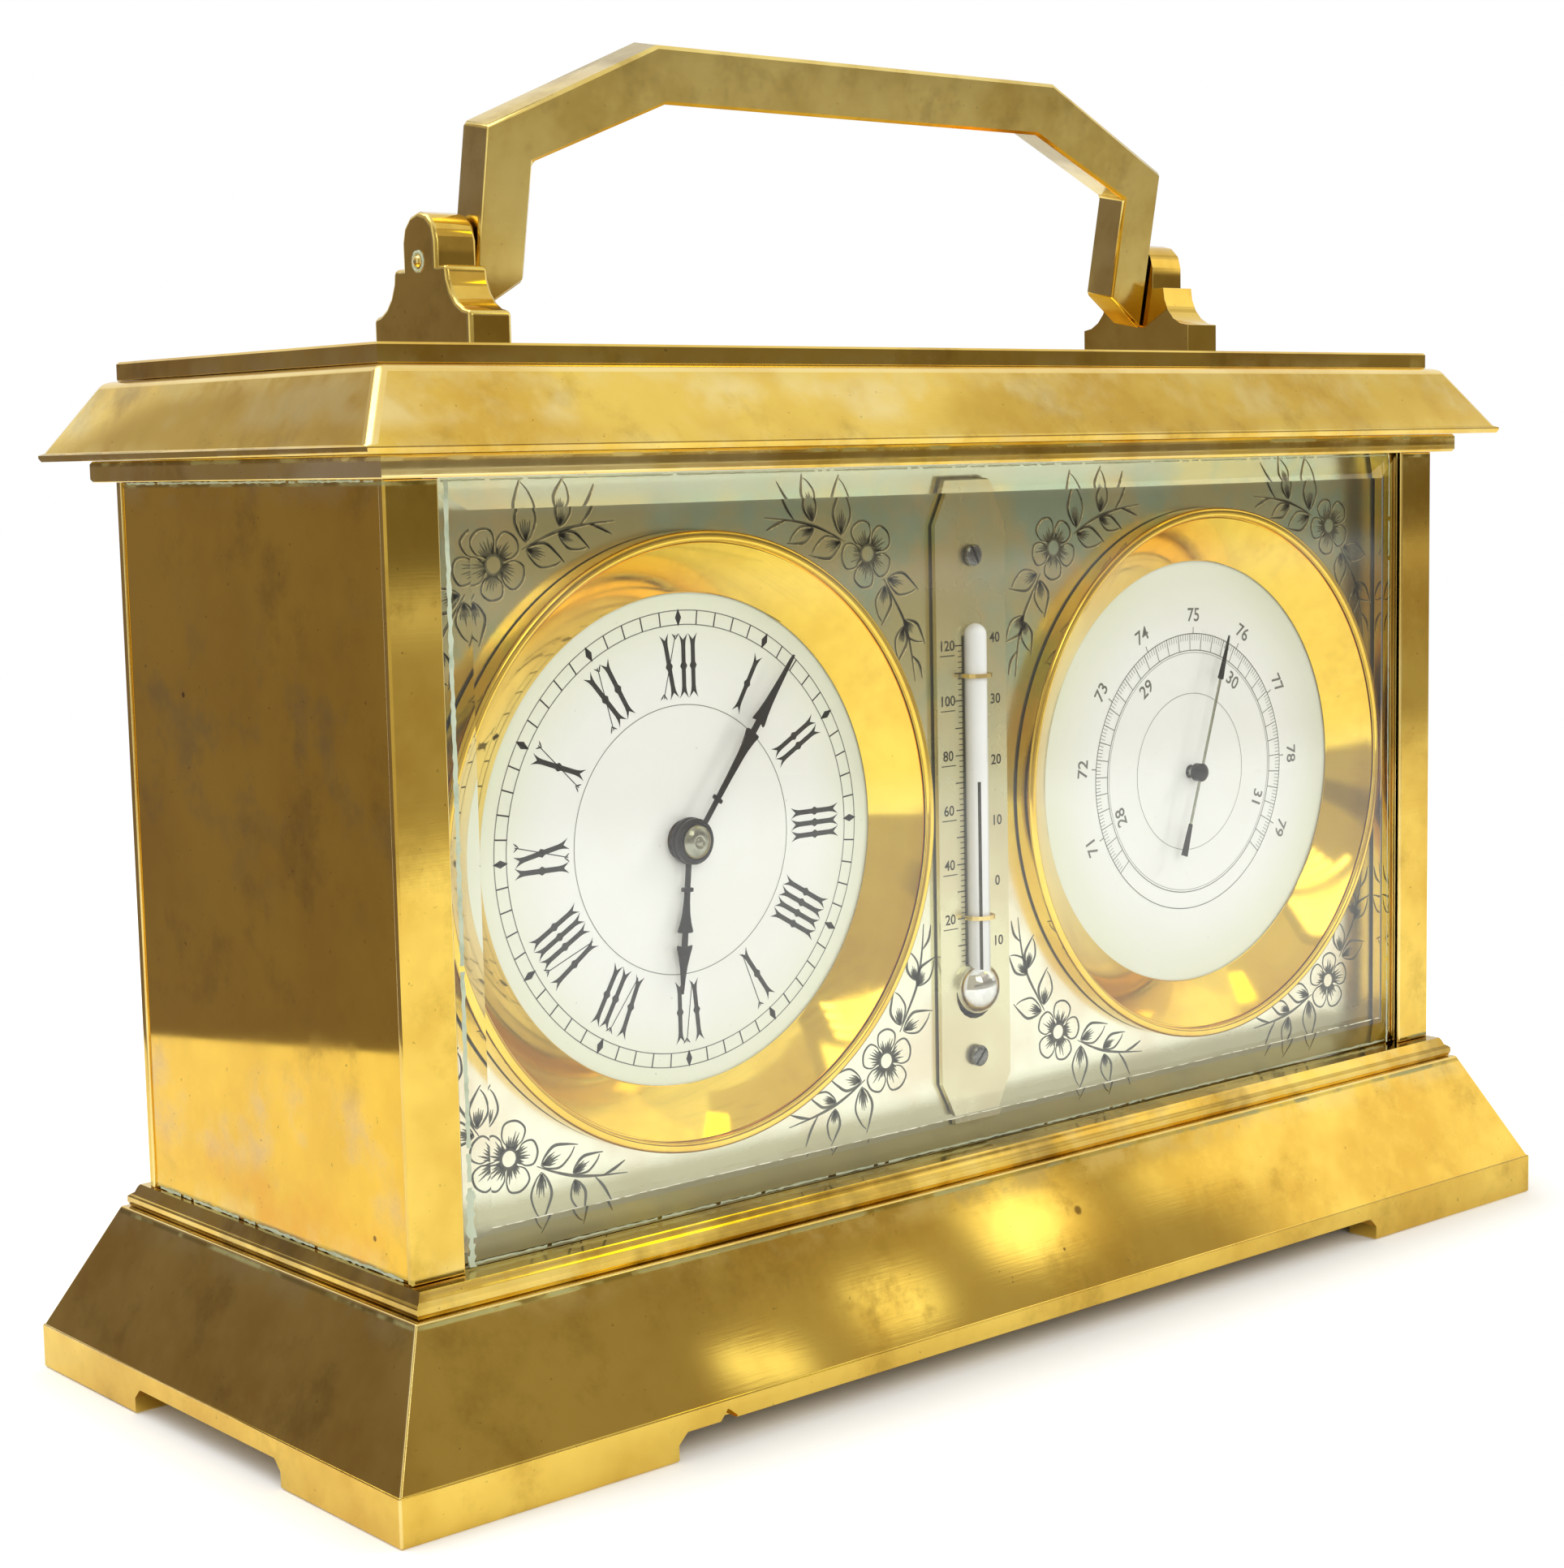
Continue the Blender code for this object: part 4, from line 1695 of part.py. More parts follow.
# A flat spiral strip. Its inner end is pinned to a collet on the staff.
def hairspring(steel):
    low = PLATFORM_BACK + SPRING_STANDOFF
    steps = SPRING_TURNS * SPRING_STEPS
    sides = [[], []]
    for k in range(steps + 1):
        radius = SPRING_INNER + (SPRING_OUTER - SPRING_INNER) * k / steps
        angle = math.tau * SPRING_TURNS * k / steps
        for side, offset in zip(sides, (-SPRING_STRIP / 2, SPRING_STRIP / 2)):
            side.append(around(BALANCE, radius + offset, angle))
    bm = bmesh.new()
    prism(bm, sides[0] + sides[1][::-1], low, low + SPRING_HEIGHT, "Y")
    obj = build("hairspring", bm, steel, plane_pivot(BALANCE, 0))
    bm = bmesh.new()
    turned(bm, [
        (BALANCE_STAFF + PIVOT_GAP / 2, low - SPRING_HEIGHT / 2),
        (SPRING_INNER + SPRING_STRIP / 4, low - SPRING_HEIGHT / 2),
        (SPRING_INNER + SPRING_STRIP / 4, low + 1.5 * SPRING_HEIGHT),
        (BALANCE_STAFF + PIVOT_GAP / 2, low + 1.5 * SPRING_HEIGHT),
    ], BALANCE, "Y", ROD_SEGMENTS)
    join(obj, bm)


# The balance cock stands on a foot below the balance
def balance_cock(brass):
    seat = PLATFORM_BACK + SEAT_GAP
    low = PLATFORM_BACK + COCK_STANDOFF
    high = low + COCK_THICKNESS
    x, z = BALANCE
    foot_low = z - COCK_FOOT_BOTTOM
    foot_high = z - COCK_FOOT_TOP
    outline = arc(BALANCE, COCK_HEAD, 0, math.pi, COCK_HEAD_STEPS)
    outline += [(x - COCK_FOOT_HALF, foot_high), (x - COCK_FOOT_HALF, foot_low)]
    outline += [(x + COCK_FOOT_HALF, foot_low), (x + COCK_FOOT_HALF, foot_high)]
    bm = bmesh.new()
    prism(bm, outline, low, high, "Y")
    obj = build("balance_cock", bm, brass)
    bm = bmesh.new()
    box(bm, (x - COCK_FOOT_HALF, seat, foot_low), (x + COCK_FOOT_HALF, (low + high) / 2, foot_high))
    join(obj, bm)
    cut(obj, plate_holes([(BALANCE, BALANCE_STAFF / 2 + PIVOT_GAP, PIVOT_SEGMENTS)], low, high))


# A small cock covers the escape wheel and the lever. Its foot stands beside the wheel.
def escape_cock(brass):
    seat = PLATFORM_BACK + SEAT_GAP
    low = PLATFORM_BACK + SMALL_COCK_STANDOFF
    high = low + SMALL_COCK_THICKNESS
    x, z = ESCAPE
    foot_high = z - SMALL_COCK_FOOT_HIGH
    foot_low = z - SMALL_COCK_FOOT_LOW
    outer = x - SMALL_COCK_FOOT_OUT
    outline = arc(ESCAPE, SMALL_COCK_HEAD, 0, math.pi / 2, COCK_HEAD_STEPS // 2)
    outline += [(outer, foot_high), (outer, foot_low)]
    outline += arc(LEVER, SMALL_COCK_HEAD, 3 * math.pi / 2, math.tau, COCK_HEAD_STEPS // 2)
    bm = bmesh.new()
    prism(bm, outline, low, high, "Y")
    obj = build("escape_cock", bm, brass)
    bm = bmesh.new()
    box(bm, (outer, seat, foot_low), (x - SMALL_COCK_FOOT_IN, (low + high) / 2, foot_high))
    join(obj, bm)


# Aneroid

CAPSULE_SEAT = ANEROID_FRONT - SEAT_GAP
CAPSULE_BACK = CAPSULE_SEAT - CAPSULE_BASE
CAPSULE_FRONT = CAPSULE_BACK - CAPSULE_DEPTH
LEAF_BACK = CAPSULE_FRONT - CAPSULE_STUD_HEIGHT - SEAT_GAP
LEAF_FRONT = LEAF_BACK - LEAF_THICKNESS
BRIDGE_FRONT = DIAL_BACK + BRIDGE_PLACE
BRIDGE_BACK = BRIDGE_FRONT + BRIDGE_THICKNESS
REGULATOR_AXIS = (DIAL_BACK + REGULATOR_PLACE, BAROMETER[1] + REGULATOR_HEIGHT)


# The plate carries the four posts to the dial plate and the two posts of the rocking shaft
def aneroid_plate(brass):
    back = ANEROID_FRONT + ANEROID_PLATE_THICKNESS
    middle = (ANEROID_FRONT + back) / 2
    bm = bmesh.new()
    square_plate(bm, BAROMETER, ANEROID_FRONT, back)
    obj = build("aneroid_plate", bm, brass)
    for centre in corner_places(BAROMETER, POST_PLACE):
        bm = bmesh.new()
        rod(bm, centre, POST_RADIUS, PLATE_BACK + SEAT_GAP, middle, "Y")
        join(obj, bm)
    y, z = REGULATOR_AXIS
    x = BAROMETER[0]
    inner = REGULATOR_HALF_SPAN + PIVOT_GAP
    outer = inner + REGULATOR_POST_WIDTH
    half = REGULATOR_POST_HALF
    for side in (-1, 1):
        ends = sorted((x + side * inner, x + side * outer))
        bm = bmesh.new()
        box(bm, (ends[0], y - half, z - half), (ends[1], middle, z + half))
        join(obj, bm)
    bm = bmesh.new()
    bore = REGULATOR_PIVOT + PIVOT_GAP
    rod(bm, REGULATOR_AXIS, bore, x - outer - CUT_OVERRUN, x + outer + CUT_OVERRUN, "X", PIVOT_SEGMENTS)
    cut(obj, bm)


def aneroid_capsule(silvered):
    inner = CAPSULE_RADIUS - CAPSULE_RIM
    middle = (CAPSULE_BACK + CAPSULE_FRONT) / 2
    profile = [
        (0, CAPSULE_SEAT),
        (CAPSULE_BASE_RADIUS, CAPSULE_SEAT),
        (CAPSULE_BASE_RADIUS, CAPSULE_BACK),
        (inner, CAPSULE_BACK),
        (inner, middle + CAPSULE_EDGE / 2),
        (CAPSULE_RADIUS, middle + CAPSULE_EDGE / 2),
        (CAPSULE_RADIUS, middle - CAPSULE_EDGE / 2),
        (inner, middle - CAPSULE_EDGE / 2),
        (inner, CAPSULE_FRONT),
    ]
    stud = CAPSULE_STUD
    pitch = (inner - stud - CAPSULE_RIM) / CAPSULE_RINGS
    for k in range(CAPSULE_RINGS):
        ring = inner - CAPSULE_RIM / 2 - k * pitch
        profile.append((ring, CAPSULE_FRONT))
        profile.append((ring - pitch / 2, CAPSULE_FRONT + CAPSULE_RING_DEPTH))
    profile += [
        (stud + CAPSULE_RIM / 2, CAPSULE_FRONT),
        (stud, CAPSULE_FRONT),
        (stud, CAPSULE_FRONT - CAPSULE_STUD_HEIGHT),
        (0, CAPSULE_FRONT - CAPSULE_STUD_HEIGHT),
    ]
    bm = bmesh.new()
    turned(bm, profile, BAROMETER, "Y", CAPSULE_SEGMENTS)
    build("aneroid_capsule", bm, silvered)


# The main spring: a foot on the plate, a bend, and a broad leaf over the capsule
def aneroid_spring(steel):
    z = BAROMETER[1]
    outer_z = z - LEAF_PLACE - LEAF_THICKNESS
    inner_z = z - LEAF_PLACE
    seat = ANEROID_FRONT - SEAT_GAP
    bend = (LEAF_FRONT + LEAF_RADIUS, outer_z + LEAF_RADIUS)
    inner_radius = LEAF_RADIUS - LEAF_THICKNESS
    foot = outer_z - LEAF_FOOT_LENGTH
    outline = [(seat, inner_z)]
    outline += arc(bend, inner_radius, -math.pi / 2, -math.pi, LEAF_STEPS)
    outline += [(LEAF_BACK, z + LEAF_END), (LEAF_FRONT, z + LEAF_END)]
    outline += arc(bend, LEAF_RADIUS, math.pi, 3 * math.pi / 2, LEAF_STEPS)
    outline += [(seat - LEAF_THICKNESS, outer_z), (seat - LEAF_THICKNESS, foot), (seat, foot)]
    bm = bmesh.new()
    x = BAROMETER[0]
    prism(bm, outline, x - LEAF_HALF_WIDTH, x + LEAF_HALF_WIDTH, "X")
    build("aneroid_spring", bm, steel)


def aneroid_bridge(brass):
    x, z = BAROMETER
    inner = BRIDGE_HALF_SPAN - BRIDGE_THICKNESS
    half = BRIDGE_HALF_SPAN
    seat = ANEROID_FRONT - SEAT_GAP
    outline = [
        (x - half, seat), (x - half, BRIDGE_FRONT), (x + half, BRIDGE_FRONT), (x + half, seat),
        (x + inner, seat), (x + inner, BRIDGE_BACK), (x - inner, BRIDGE_BACK), (x - inner, seat),
    ]
    bm = bmesh.new()
    prism(bm, outline, z - BRIDGE_HALF_HEIGHT, z + BRIDGE_HALF_HEIGHT, "Z")
    obj = build("aneroid_bridge", bm, brass)
    cut(obj, plate_holes([(BAROMETER, HAND_ARBOR + PIVOT_GAP, PIVOT_SEGMENTS)], BRIDGE_FRONT, BRIDGE_BACK))


# The rocking shaft: a tail hangs towards the leaf, an arm reaches forward towards the drum
def regulator(steel):
    y, z = REGULATOR_AXIS
    x = BAROMETER[0]
    half = REGULATOR_ARM_HALF
    end = REGULATOR_HALF_SPAN + REGULATOR_POST_WIDTH
    bm = bmesh.new()
    turned(bm, [
        (0, x - end),
        (REGULATOR_PIVOT, x - end),
        (REGULATOR_PIVOT, x - REGULATOR_HALF_SPAN),
        (REGULATOR_RADIUS, x - REGULATOR_HALF_SPAN),
        (REGULATOR_RADIUS, x + REGULATOR_HALF_SPAN),
        (REGULATOR_PIVOT, x + REGULATOR_HALF_SPAN),
        (REGULATOR_PIVOT, x + end),
        (0, x + end),
    ], REGULATOR_AXIS, "X", PIVOT_SEGMENTS)
    obj = build("regulator", bm, steel, (x, y, z))
    bm = bmesh.new()
    box(bm, (x - half, y - half / 2, z - REGULATOR_TAIL), (x + half, y + half / 2, z))
    join(obj, bm)
    bm = bmesh.new()
    box(bm, (x + half, y - REGULATOR_REACH, z - half / 2), (x + 3 * half, y, z + half / 2))
    join(obj, bm)


def barometer_arbor(steel):
    drum = BRIDGE_FRONT - HAND_DRUM_PLACE
    bm = bmesh.new()
    front = DIAL_FRONT - BAROMETER_HAND_STANDOFF + SEAT_GAP
    turned(bm, [
        (0, front),
        (HAND_ARBOR, front),
        (HAND_ARBOR, drum - HAND_DRUM_LENGTH),
        (HAND_DRUM, drum - HAND_DRUM_LENGTH),
        (HAND_DRUM, drum),
        (HAND_ARBOR, drum),
        (HAND_ARBOR, BRIDGE_BACK + PIVOT_GAP),
        (0, BRIDGE_BACK + PIVOT_GAP),
    ], BAROMETER, "Y", ROD_SEGMENTS)
    build("barometer_arbor", bm, steel, plane_pivot(BAROMETER, 0))


def barometer_hand(steel):
    back = DIAL_FRONT - BAROMETER_HAND_STANDOFF
    hand("barometer_hand", BAROMETER, BAROMETER_HAND_ANGLE, BAROMETER_HAND_LENGTH, BAROMETER_HALF_WIDTH,
         BAROMETER_EYE_RADIUS, BAROMETER_ARROW_SHARES, back, 0, steel, BAROMETER,
         (BAROMETER_TAIL, BAROMETER_TAIL_SHARES))
    obj = bpy.data.objects["barometer_hand"]
    bm = bmesh.new()
    radius = BAROMETER_BOSS_RADIUS
    low = back - HAND_THICKNESS / 2
    high = back - HAND_THICKNESS - BAROMETER_BOSS_HEIGHT
    turned(bm, [
        (0, low),
        (radius, low),
        (radius, (low + high) / 2),
        (radius * 0.75, high + (low - high) / 8),
        (radius * 0.3, high),
        (0, high),
    ], BAROMETER, "Y", KNOB_SEGMENTS)
    join(obj, bm)


def main():
    for obj in list(bpy.data.objects):
        bpy.data.objects.remove(obj, do_unlink=True)
    brass = paint("lacquered_brass", (0.62, 0.42, 0.12), 1.0, 0.25)
    movement_brass = paint("movement_brass", (0.72, 0.53, 0.22), 1.0, 0.3)
    gilt = paint("gilt_brass", (0.80, 0.52, 0.16), 1.0, 0.2)
    silvered = paint("silvered_brass", (0.62, 0.66, 0.60), 0.6, 0.4)
    enamel = paint("white_enamel", (0.88, 0.88, 0.84), 0.0, 0.2)
    steel = paint("polished_steel", (0.55, 0.55, 0.56), 1.0, 0.25)
    blued = paint("blued_steel", (0.03, 0.04, 0.12), 1.0, 0.25)
    glass = paint("clear_glass", (0.90, 0.95, 0.95), 0.0, 0.05)

    base_moulding(brass)
    base_plate(brass)
    frieze_plate(brass)
    cornice(brass)
    top_plate(brass)
    front_pillar("front_pillar_left", -1, brass)
    front_pillar("front_pillar_right", 1, brass)
    rear_pillar("rear_pillar_left", -1, brass)
    rear_pillar("rear_pillar_right", 1, brass)
    side_panel("side_panel_left", -1, brass)
    side_panel("side_panel_right", 1, brass)
    handle(brass)
    lug("handle_lug_left", -1, brass)
    lug("handle_lug_right", 1, brass)
    handle_pin("handle_pin_left", -1, brass)
    handle_pin("handle_pin_right", 1, brass)
    front_glass(glass)
    dial_plate(silvered)
    bezel("clock_bezel", CLOCK, gilt)
    bezel("barometer_bezel", BAROMETER, gilt)
    clock_dial(enamel)
    barometer_dial(enamel)
    thermometer_plate(silvered)
    thermometer_tube(glass)
    thermometer_clip("thermometer_clip_lower", CLIP_HEIGHTS[0], brass)
    thermometer_clip("thermometer_clip_upper", CLIP_HEIGHTS[1], brass)
    thermometer_screw("thermometer_screw_lower", THERMOMETER_SCREW_HEIGHTS[0], steel)
    thermometer_screw("thermometer_screw_upper", THERMOMETER_SCREW_HEIGHTS[1], steel)
    rear_door(brass)
    door_knob(brass)
    clock_front_plate(movement_brass)
    clock_back_plate(movement_brass)
    barrel(movement_brass)
    winding_arbor(steel)
    ratchet_wheel(steel)
    click(steel)
    centre_wheel(movement_brass)
    third_wheel(movement_brass)
    fourth_wheel(movement_brass)
    cannon_pinion(steel)
    minute_wheel(movement_brass)
    hour_wheel(movement_brass)
    clock_hands(blued)
    hand_collet(steel)
    escapement_platform(movement_brass)
    escape_wheel(steel)
    lever(steel)
    balance_wheel(movement_brass)
    hairspring(blued)
    balance_cock(movement_brass)
    escape_cock(movement_brass)
    aneroid_plate(movement_brass)
    aneroid_capsule(silvered)
    aneroid_spring(blued)
    aneroid_bridge(movement_brass)
    regulator(steel)
    barometer_arbor(steel)
    barometer_hand(blued)


main()
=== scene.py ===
import json
import math
import random

import bmesh
import bpy
from mathutils import Matrix, Vector

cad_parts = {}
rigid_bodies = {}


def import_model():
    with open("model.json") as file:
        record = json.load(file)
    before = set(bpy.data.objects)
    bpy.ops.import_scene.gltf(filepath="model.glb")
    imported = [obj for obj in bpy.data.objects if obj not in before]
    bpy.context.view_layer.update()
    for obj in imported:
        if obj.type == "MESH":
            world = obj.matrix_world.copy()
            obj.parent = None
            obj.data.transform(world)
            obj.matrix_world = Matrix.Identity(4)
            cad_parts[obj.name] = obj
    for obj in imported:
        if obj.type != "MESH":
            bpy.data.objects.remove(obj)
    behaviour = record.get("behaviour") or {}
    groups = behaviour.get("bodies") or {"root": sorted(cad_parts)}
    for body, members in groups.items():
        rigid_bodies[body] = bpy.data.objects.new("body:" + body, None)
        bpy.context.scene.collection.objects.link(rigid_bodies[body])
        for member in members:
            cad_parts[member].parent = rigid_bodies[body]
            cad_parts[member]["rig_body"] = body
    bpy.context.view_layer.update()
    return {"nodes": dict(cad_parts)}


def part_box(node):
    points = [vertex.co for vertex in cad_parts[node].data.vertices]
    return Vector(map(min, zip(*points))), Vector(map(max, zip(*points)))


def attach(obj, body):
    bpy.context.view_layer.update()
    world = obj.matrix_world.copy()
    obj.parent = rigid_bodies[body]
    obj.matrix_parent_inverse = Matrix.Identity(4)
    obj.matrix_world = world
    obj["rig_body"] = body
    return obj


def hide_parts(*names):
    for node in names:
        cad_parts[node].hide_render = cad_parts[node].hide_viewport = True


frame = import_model()
nodes = frame["nodes"]
mm = 0.001
print("frame loaded")

# Small helpers


def linear(hexColour):
    channels = [int(hexColour[k:k + 2], 16) / 255 for k in (1, 3, 5)]
    return [c / 12.92 if c <= 0.04045 else ((c + 0.055) / 1.055) ** 2.4 for c in channels] + [1]


def feed(tree, node, inputs):
    # an input gets a value, an output socket, or another node's first output
    for key, value in inputs.items():
        if isinstance(value, bpy.types.Node):
            value = value.outputs[0]
        if isinstance(value, bpy.types.NodeSocket):
            tree.links.new(value, node.inputs[key])
        else:
            node.inputs[key].default_value = value


def addNode(tree, kind, inputs=None, **settings):
    node = tree.nodes.new(kind)
    for name, value in settings.items():
        setattr(node, name, value)
    feed(tree, node, inputs or {})
    return node


def newMaterial(name, coordinates="Object"):
    material = bpy.data.materials.new(name)
    material.use_nodes = True
    tree = material.node_tree
    place = addNode(tree, "ShaderNodeTexCoord").outputs[coordinates]
    return material, tree, tree.nodes["Principled BSDF"], place


def dress(names, finish):
    for name in names.split():
        nodes[name].data.materials.clear()
        nodes[name].data.materials.append(finish)


def meshOf(name, bm):
    mesh = bpy.data.meshes.new(name)
    bm.to_mesh(mesh)
    bm.free()
    return mesh


def addObject(name, data):
    made = bpy.data.objects.new(name, data)
    bpy.context.scene.collection.objects.link(made)
    return made


def evaluatedMesh(made):
    return bpy.data.meshes.new_from_object(made.evaluated_get(bpy.context.evaluated_depsgraph_get()))


def finishPiece(name, bm, body, finishes, replaced=(), sharp=40, soft=True):
    for face in bm.faces:
        face.smooth = soft
    for edge in bm.edges:
        edge.smooth = not (edge.is_manifold and edge.calc_face_angle() > math.radians(sharp))
    mesh = meshOf(name, bm)
    for finish in finishes:
        mesh.materials.append(finish)
    piece = addObject(name, mesh)
    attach(piece, body)
    if replaced:
        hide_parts(*replaced)
    return piece


# Materials

jointHeights = (19.35, 22.86, 104.65, 107.1, 116.05)  # mm, where the plates of the case meet


def patches(tree, place, size, low, high, detail=4, rough=0.6):
    # a cloudy mask whose patches are about size mm across
    cloud = addNode(tree, "ShaderNodeTexNoise", {
        "Vector": place, "Scale": 1 / (size * mm), "Detail": detail, "Roughness": rough})
    return addNode(tree, "ShaderNodeMapRange", {
        "Value": cloud, "From Min": low, "From Max": high}, interpolation_type="SMOOTHSTEP")


def layered(tree, colour, layers):
    # lays tarnish, wear and dirt over a colour: each layer is (mask, how much of it, its colour)
    for mask, amount, over in layers:
        share = addNode(tree, "ShaderNodeMath", {0: mask, 1: amount}, operation="MULTIPLY")
        colour = addNode(tree, "ShaderNodeMix", {0: share, 6: colour, 7: linear(over)},
                         data_type="RGBA").outputs[2]
    return colour


def roughened(tree, value, layers):
    # polish that dulls where each mask is
    for mask, amount in layers:
        value = addNode(tree, "ShaderNodeMath", {0: mask, 1: amount, 2: value}, operation="MULTIPLY_ADD")
    return value


def nearHeights(tree, place, heights, inner, outer):
    # 1 within inner mm of any of the heights, 0 beyond outer mm
    level = addNode(tree, "ShaderNodeSeparateXYZ", {0: place}).outputs["Z"]
    nearest = None
    for height in heights:
        gap = addNode(tree, "ShaderNodeMath", {0: level, 1: height * mm}, operation="SUBTRACT")
        gap = addNode(tree, "ShaderNodeMath", {0: gap}, operation="ABSOLUTE")
        nearest = (addNode(tree, "ShaderNodeMath", {0: nearest, 1: gap}, operation="MINIMUM")
                   if nearest else gap)
    return addNode(tree, "ShaderNodeMapRange", {
        "Value": nearest, "From Min": inner * mm, "From Max": outer * mm, "To Min": 1.0, "To Max": 0.0},
        interpolation_type="SMOOTHSTEP")


def spotAt(tree, place, middle, radius):
    # one round spot with a soft rim, at a place in mm
    away = addNode(tree, "ShaderNodeVectorMath", {0: place, 1: [v * mm for v in middle]},
                   operation="DISTANCE").outputs["Value"]
    return addNode(tree, "ShaderNodeMapRange", {
        "Value": away, "From Min": radius * 0.55 * mm, "From Max": radius * mm, "To Min": 1.0, "To Max": 0.0},
        interpolation_type="SMOOTHSTEP")


def relief(tree, shader, steps):
    # each step is (height, depth in mm); one bump rides on the other
    below = {}
    for height, depth in steps:
        bump = addNode(tree, "ShaderNodeBump", {
            "Height": height, "Distance": depth * mm, "Strength": 1.0, **below})
        below = {"Normal": bump}
    feed(tree, shader, below)


def grainNoise(tree, place, size, stretch, detail=3):
    stretched = addNode(tree, "ShaderNodeMapping", {"Vector": place, "Scale": stretch})
    return addNode(tree, "ShaderNodeTexNoise", {
        "Vector": stretched, "Scale": 1 / (size * mm), "Detail": detail, "Roughness": 0.65})


def brassFinish(name, look):
    material, tree, shader, place = newMaterial(name)
    clouds = patches(tree, place, look["cloudSize"], 0.34, 0.68)
    stains = patches(tree, place, look["stainSize"], 0.50, 0.74, 6, 0.66)
    specks = patches(tree, place, 0.8, 0.71, 0.77, 2)
    rubs = patches(tree, place, 2.6, 0.44, 0.72, 5, 0.7)
    layers = [(clouds, 1.0, look["worn"]), (stains, look["stain"], look["tarnish"]),
              (rubs, look["rub"], look["fresh"]), (specks, look["speck"], "#4E3A16")]
    dull = [(clouds, look["roughRange"]), (stains, 0.06)]
    metal = 1
    if look["joints"]:
        # polish and verdigris gather in crumbs where two plates meet, in a hazy band
        haze, near = (nearHeights(tree, place, jointHeights, *reach) for reach in ((0.4, 3.2), (0.05, 0.40)))
        streaks = addNode(tree, "ShaderNodeMath", {0: haze, 1: patches(tree, place, 6, 0.40, 0.62, 5)},
                          operation="MULTIPLY")
        crumbs = addNode(tree, "ShaderNodeMath", {0: near, 1: patches(tree, place, 7, 0.46, 0.60, 3)},
                         operation="MULTIPLY")
        layers += [(streaks, 0.25, "#E9DDA0"), (near, 0.45, "#7C7A34"), (crumbs, look["joints"], "#A9B68E")]
        dull += [(streaks, 0.10), (crumbs, 0.4)]
        metal = addNode(tree, "ShaderNodeMath", {0: crumbs, 1: -0.6 * look["joints"], 2: 1.0},
                        operation="MULTIPLY_ADD")
    for height, inner, outer, size, share, over in look["heightBands"]:
        band = addNode(tree, "ShaderNodeMath", {
            0: nearHeights(tree, place, (height,), inner, outer),
            1: patches(tree, place, size, 0.46, 0.66, 4)},
            operation="MULTIPLY")
        layers.append((band, share, over))
    layers += [(spotAt(tree, place, middle, radius), 0.8, "#5E3F1C") for middle, radius in look["spots"]]
    feed(tree, shader, {"Base Color": layered(tree, linear(look["fresh"]), layers),
                        "Roughness": roughened(tree, look["rough"], dull), "Metallic": metal})
    # hand-polished surfaces are never quite flat, and carry hairline scratches
    swell = addNode(tree, "ShaderNodeTexNoise", {
        "Vector": place, "Scale": 1 / (look["swellSize"] * mm), "Detail": 1.0})
    relief(tree, shader, [(swell, look["swell"]),
                          (grainNoise(tree, place, 0.4, look["grainWay"]), look["grain"])])
    return material


# cast and milled yellow brass, polished and lacquered: a mirror gone slightly cloudy, yellow where it is
# rubbed and olive brown where the lacquer has thinned. Sizes and depths are in mm, a height band is (height,
# full within, gone beyond, size of its patches, share, colour), and a spot is (place, radius)
caseLook = {
    "fresh": "#ECCA60", "worn": "#D2A946", "tarnish": "#96742A", "cloudSize": 26, "stainSize": 11,
    "stain": 0.45, "rub": 0.25, "speck": 0.45, "rough": 0.05, "roughRange": 0.04, "joints": 0.5,
    "swellSize": 26, "swell": 0.05, "grain": 0.0009, "grainWay": (0.05, 1, 1),
    # bands by height: paler patches on the cornice at 112.6, darker olive patches on the base plate at 21.1,
    # and a pale, nearly even band on the frieze at 106.3
    "heightBands": [(112.6, 1, 3.5, 16, 0.45, "#F4E6AE"), (21.1, 1.5, 2.2, 14, 0.55, "#7E642C"),
               (106.3, 0.9, 1.3, 40, 0.7, "#FFF0B0")],
    "spots": [((6.5, -34.9, 13.9), 0.8), ((2.2, -36.6, 10.2), 0.35)],
}
caseBrass = brassFinish("lacquered polished brass", caseLook)
# rolled brass sheet on the sides where hands hold the case: browner, but flatter and more of a mirror
sheetBrass = brassFinish("stained brass sheet", {
    **caseLook, "fresh": "#F2C544", "worn": "#DDAF3D", "tarnish": "#A37A34", "cloudSize": 34, "stainSize": 13,
    "stain": 0.5, "rough": 0.035, "roughRange": 0.03, "swell": 0.010, "swellSize": 30, "grain": 0.0003,
    "grainWay": (1, 1, 0.05), "heightBands": [(76, 4, 22, 11, 0.30, "#7C8272"), (34, 3, 9, 13, 0.28, "#DCC9B0"),
                                         (24, 3, 9, 14, 0.45, "#E09A34")],
    "spots": [((-85.3, 15.1, 81.3), 0.4), ((-85.3, -20.7, 26.0), 0.4)]})
# edges rubbed through the lacquer: paler, brighter and nearly clean
edgeBrass = brassFinish("rubbed brass edge", {
    **caseLook, "fresh": "#F6DE92", "worn": "#E6C46C", "tarnish": "#B99448", "stain": 0.25, "speck": 0.1,
    "rough": 0.16, "joints": 0.0, "swell": 0.02, "heightBands": [], "spots": []})
# the handle, worn olive gold by the hand
handleBrass = brassFinish("handled brass", {
    **caseLook, "fresh": "#F0D884", "worn": "#D6B862", "tarnish": "#9A7C3A", "cloudSize": 15, "stainSize": 7,
    "stain": 0.4, "rough": 0.15, "joints": 0.0, "swellSize": 12, "swell": 0.06, "heightBands": [],
    "spots": [((0.6, -7.2, 148.9), 0.7)]})
# movement plates: straight-grained and clean behind the dials
movementBrass = brassFinish("grained movement brass", {
    **caseLook, "fresh": "#E4C06A", "worn": "#CFA850", "tarnish": "#A88440", "stain": 0.2, "speck": 0.15,
    "rough": 0.2, "joints": 0.0, "swell": 0.01, "grain": 0.004, "grainWay": (0.04, 1, 1), "heightBands": [],
    "spots": []})
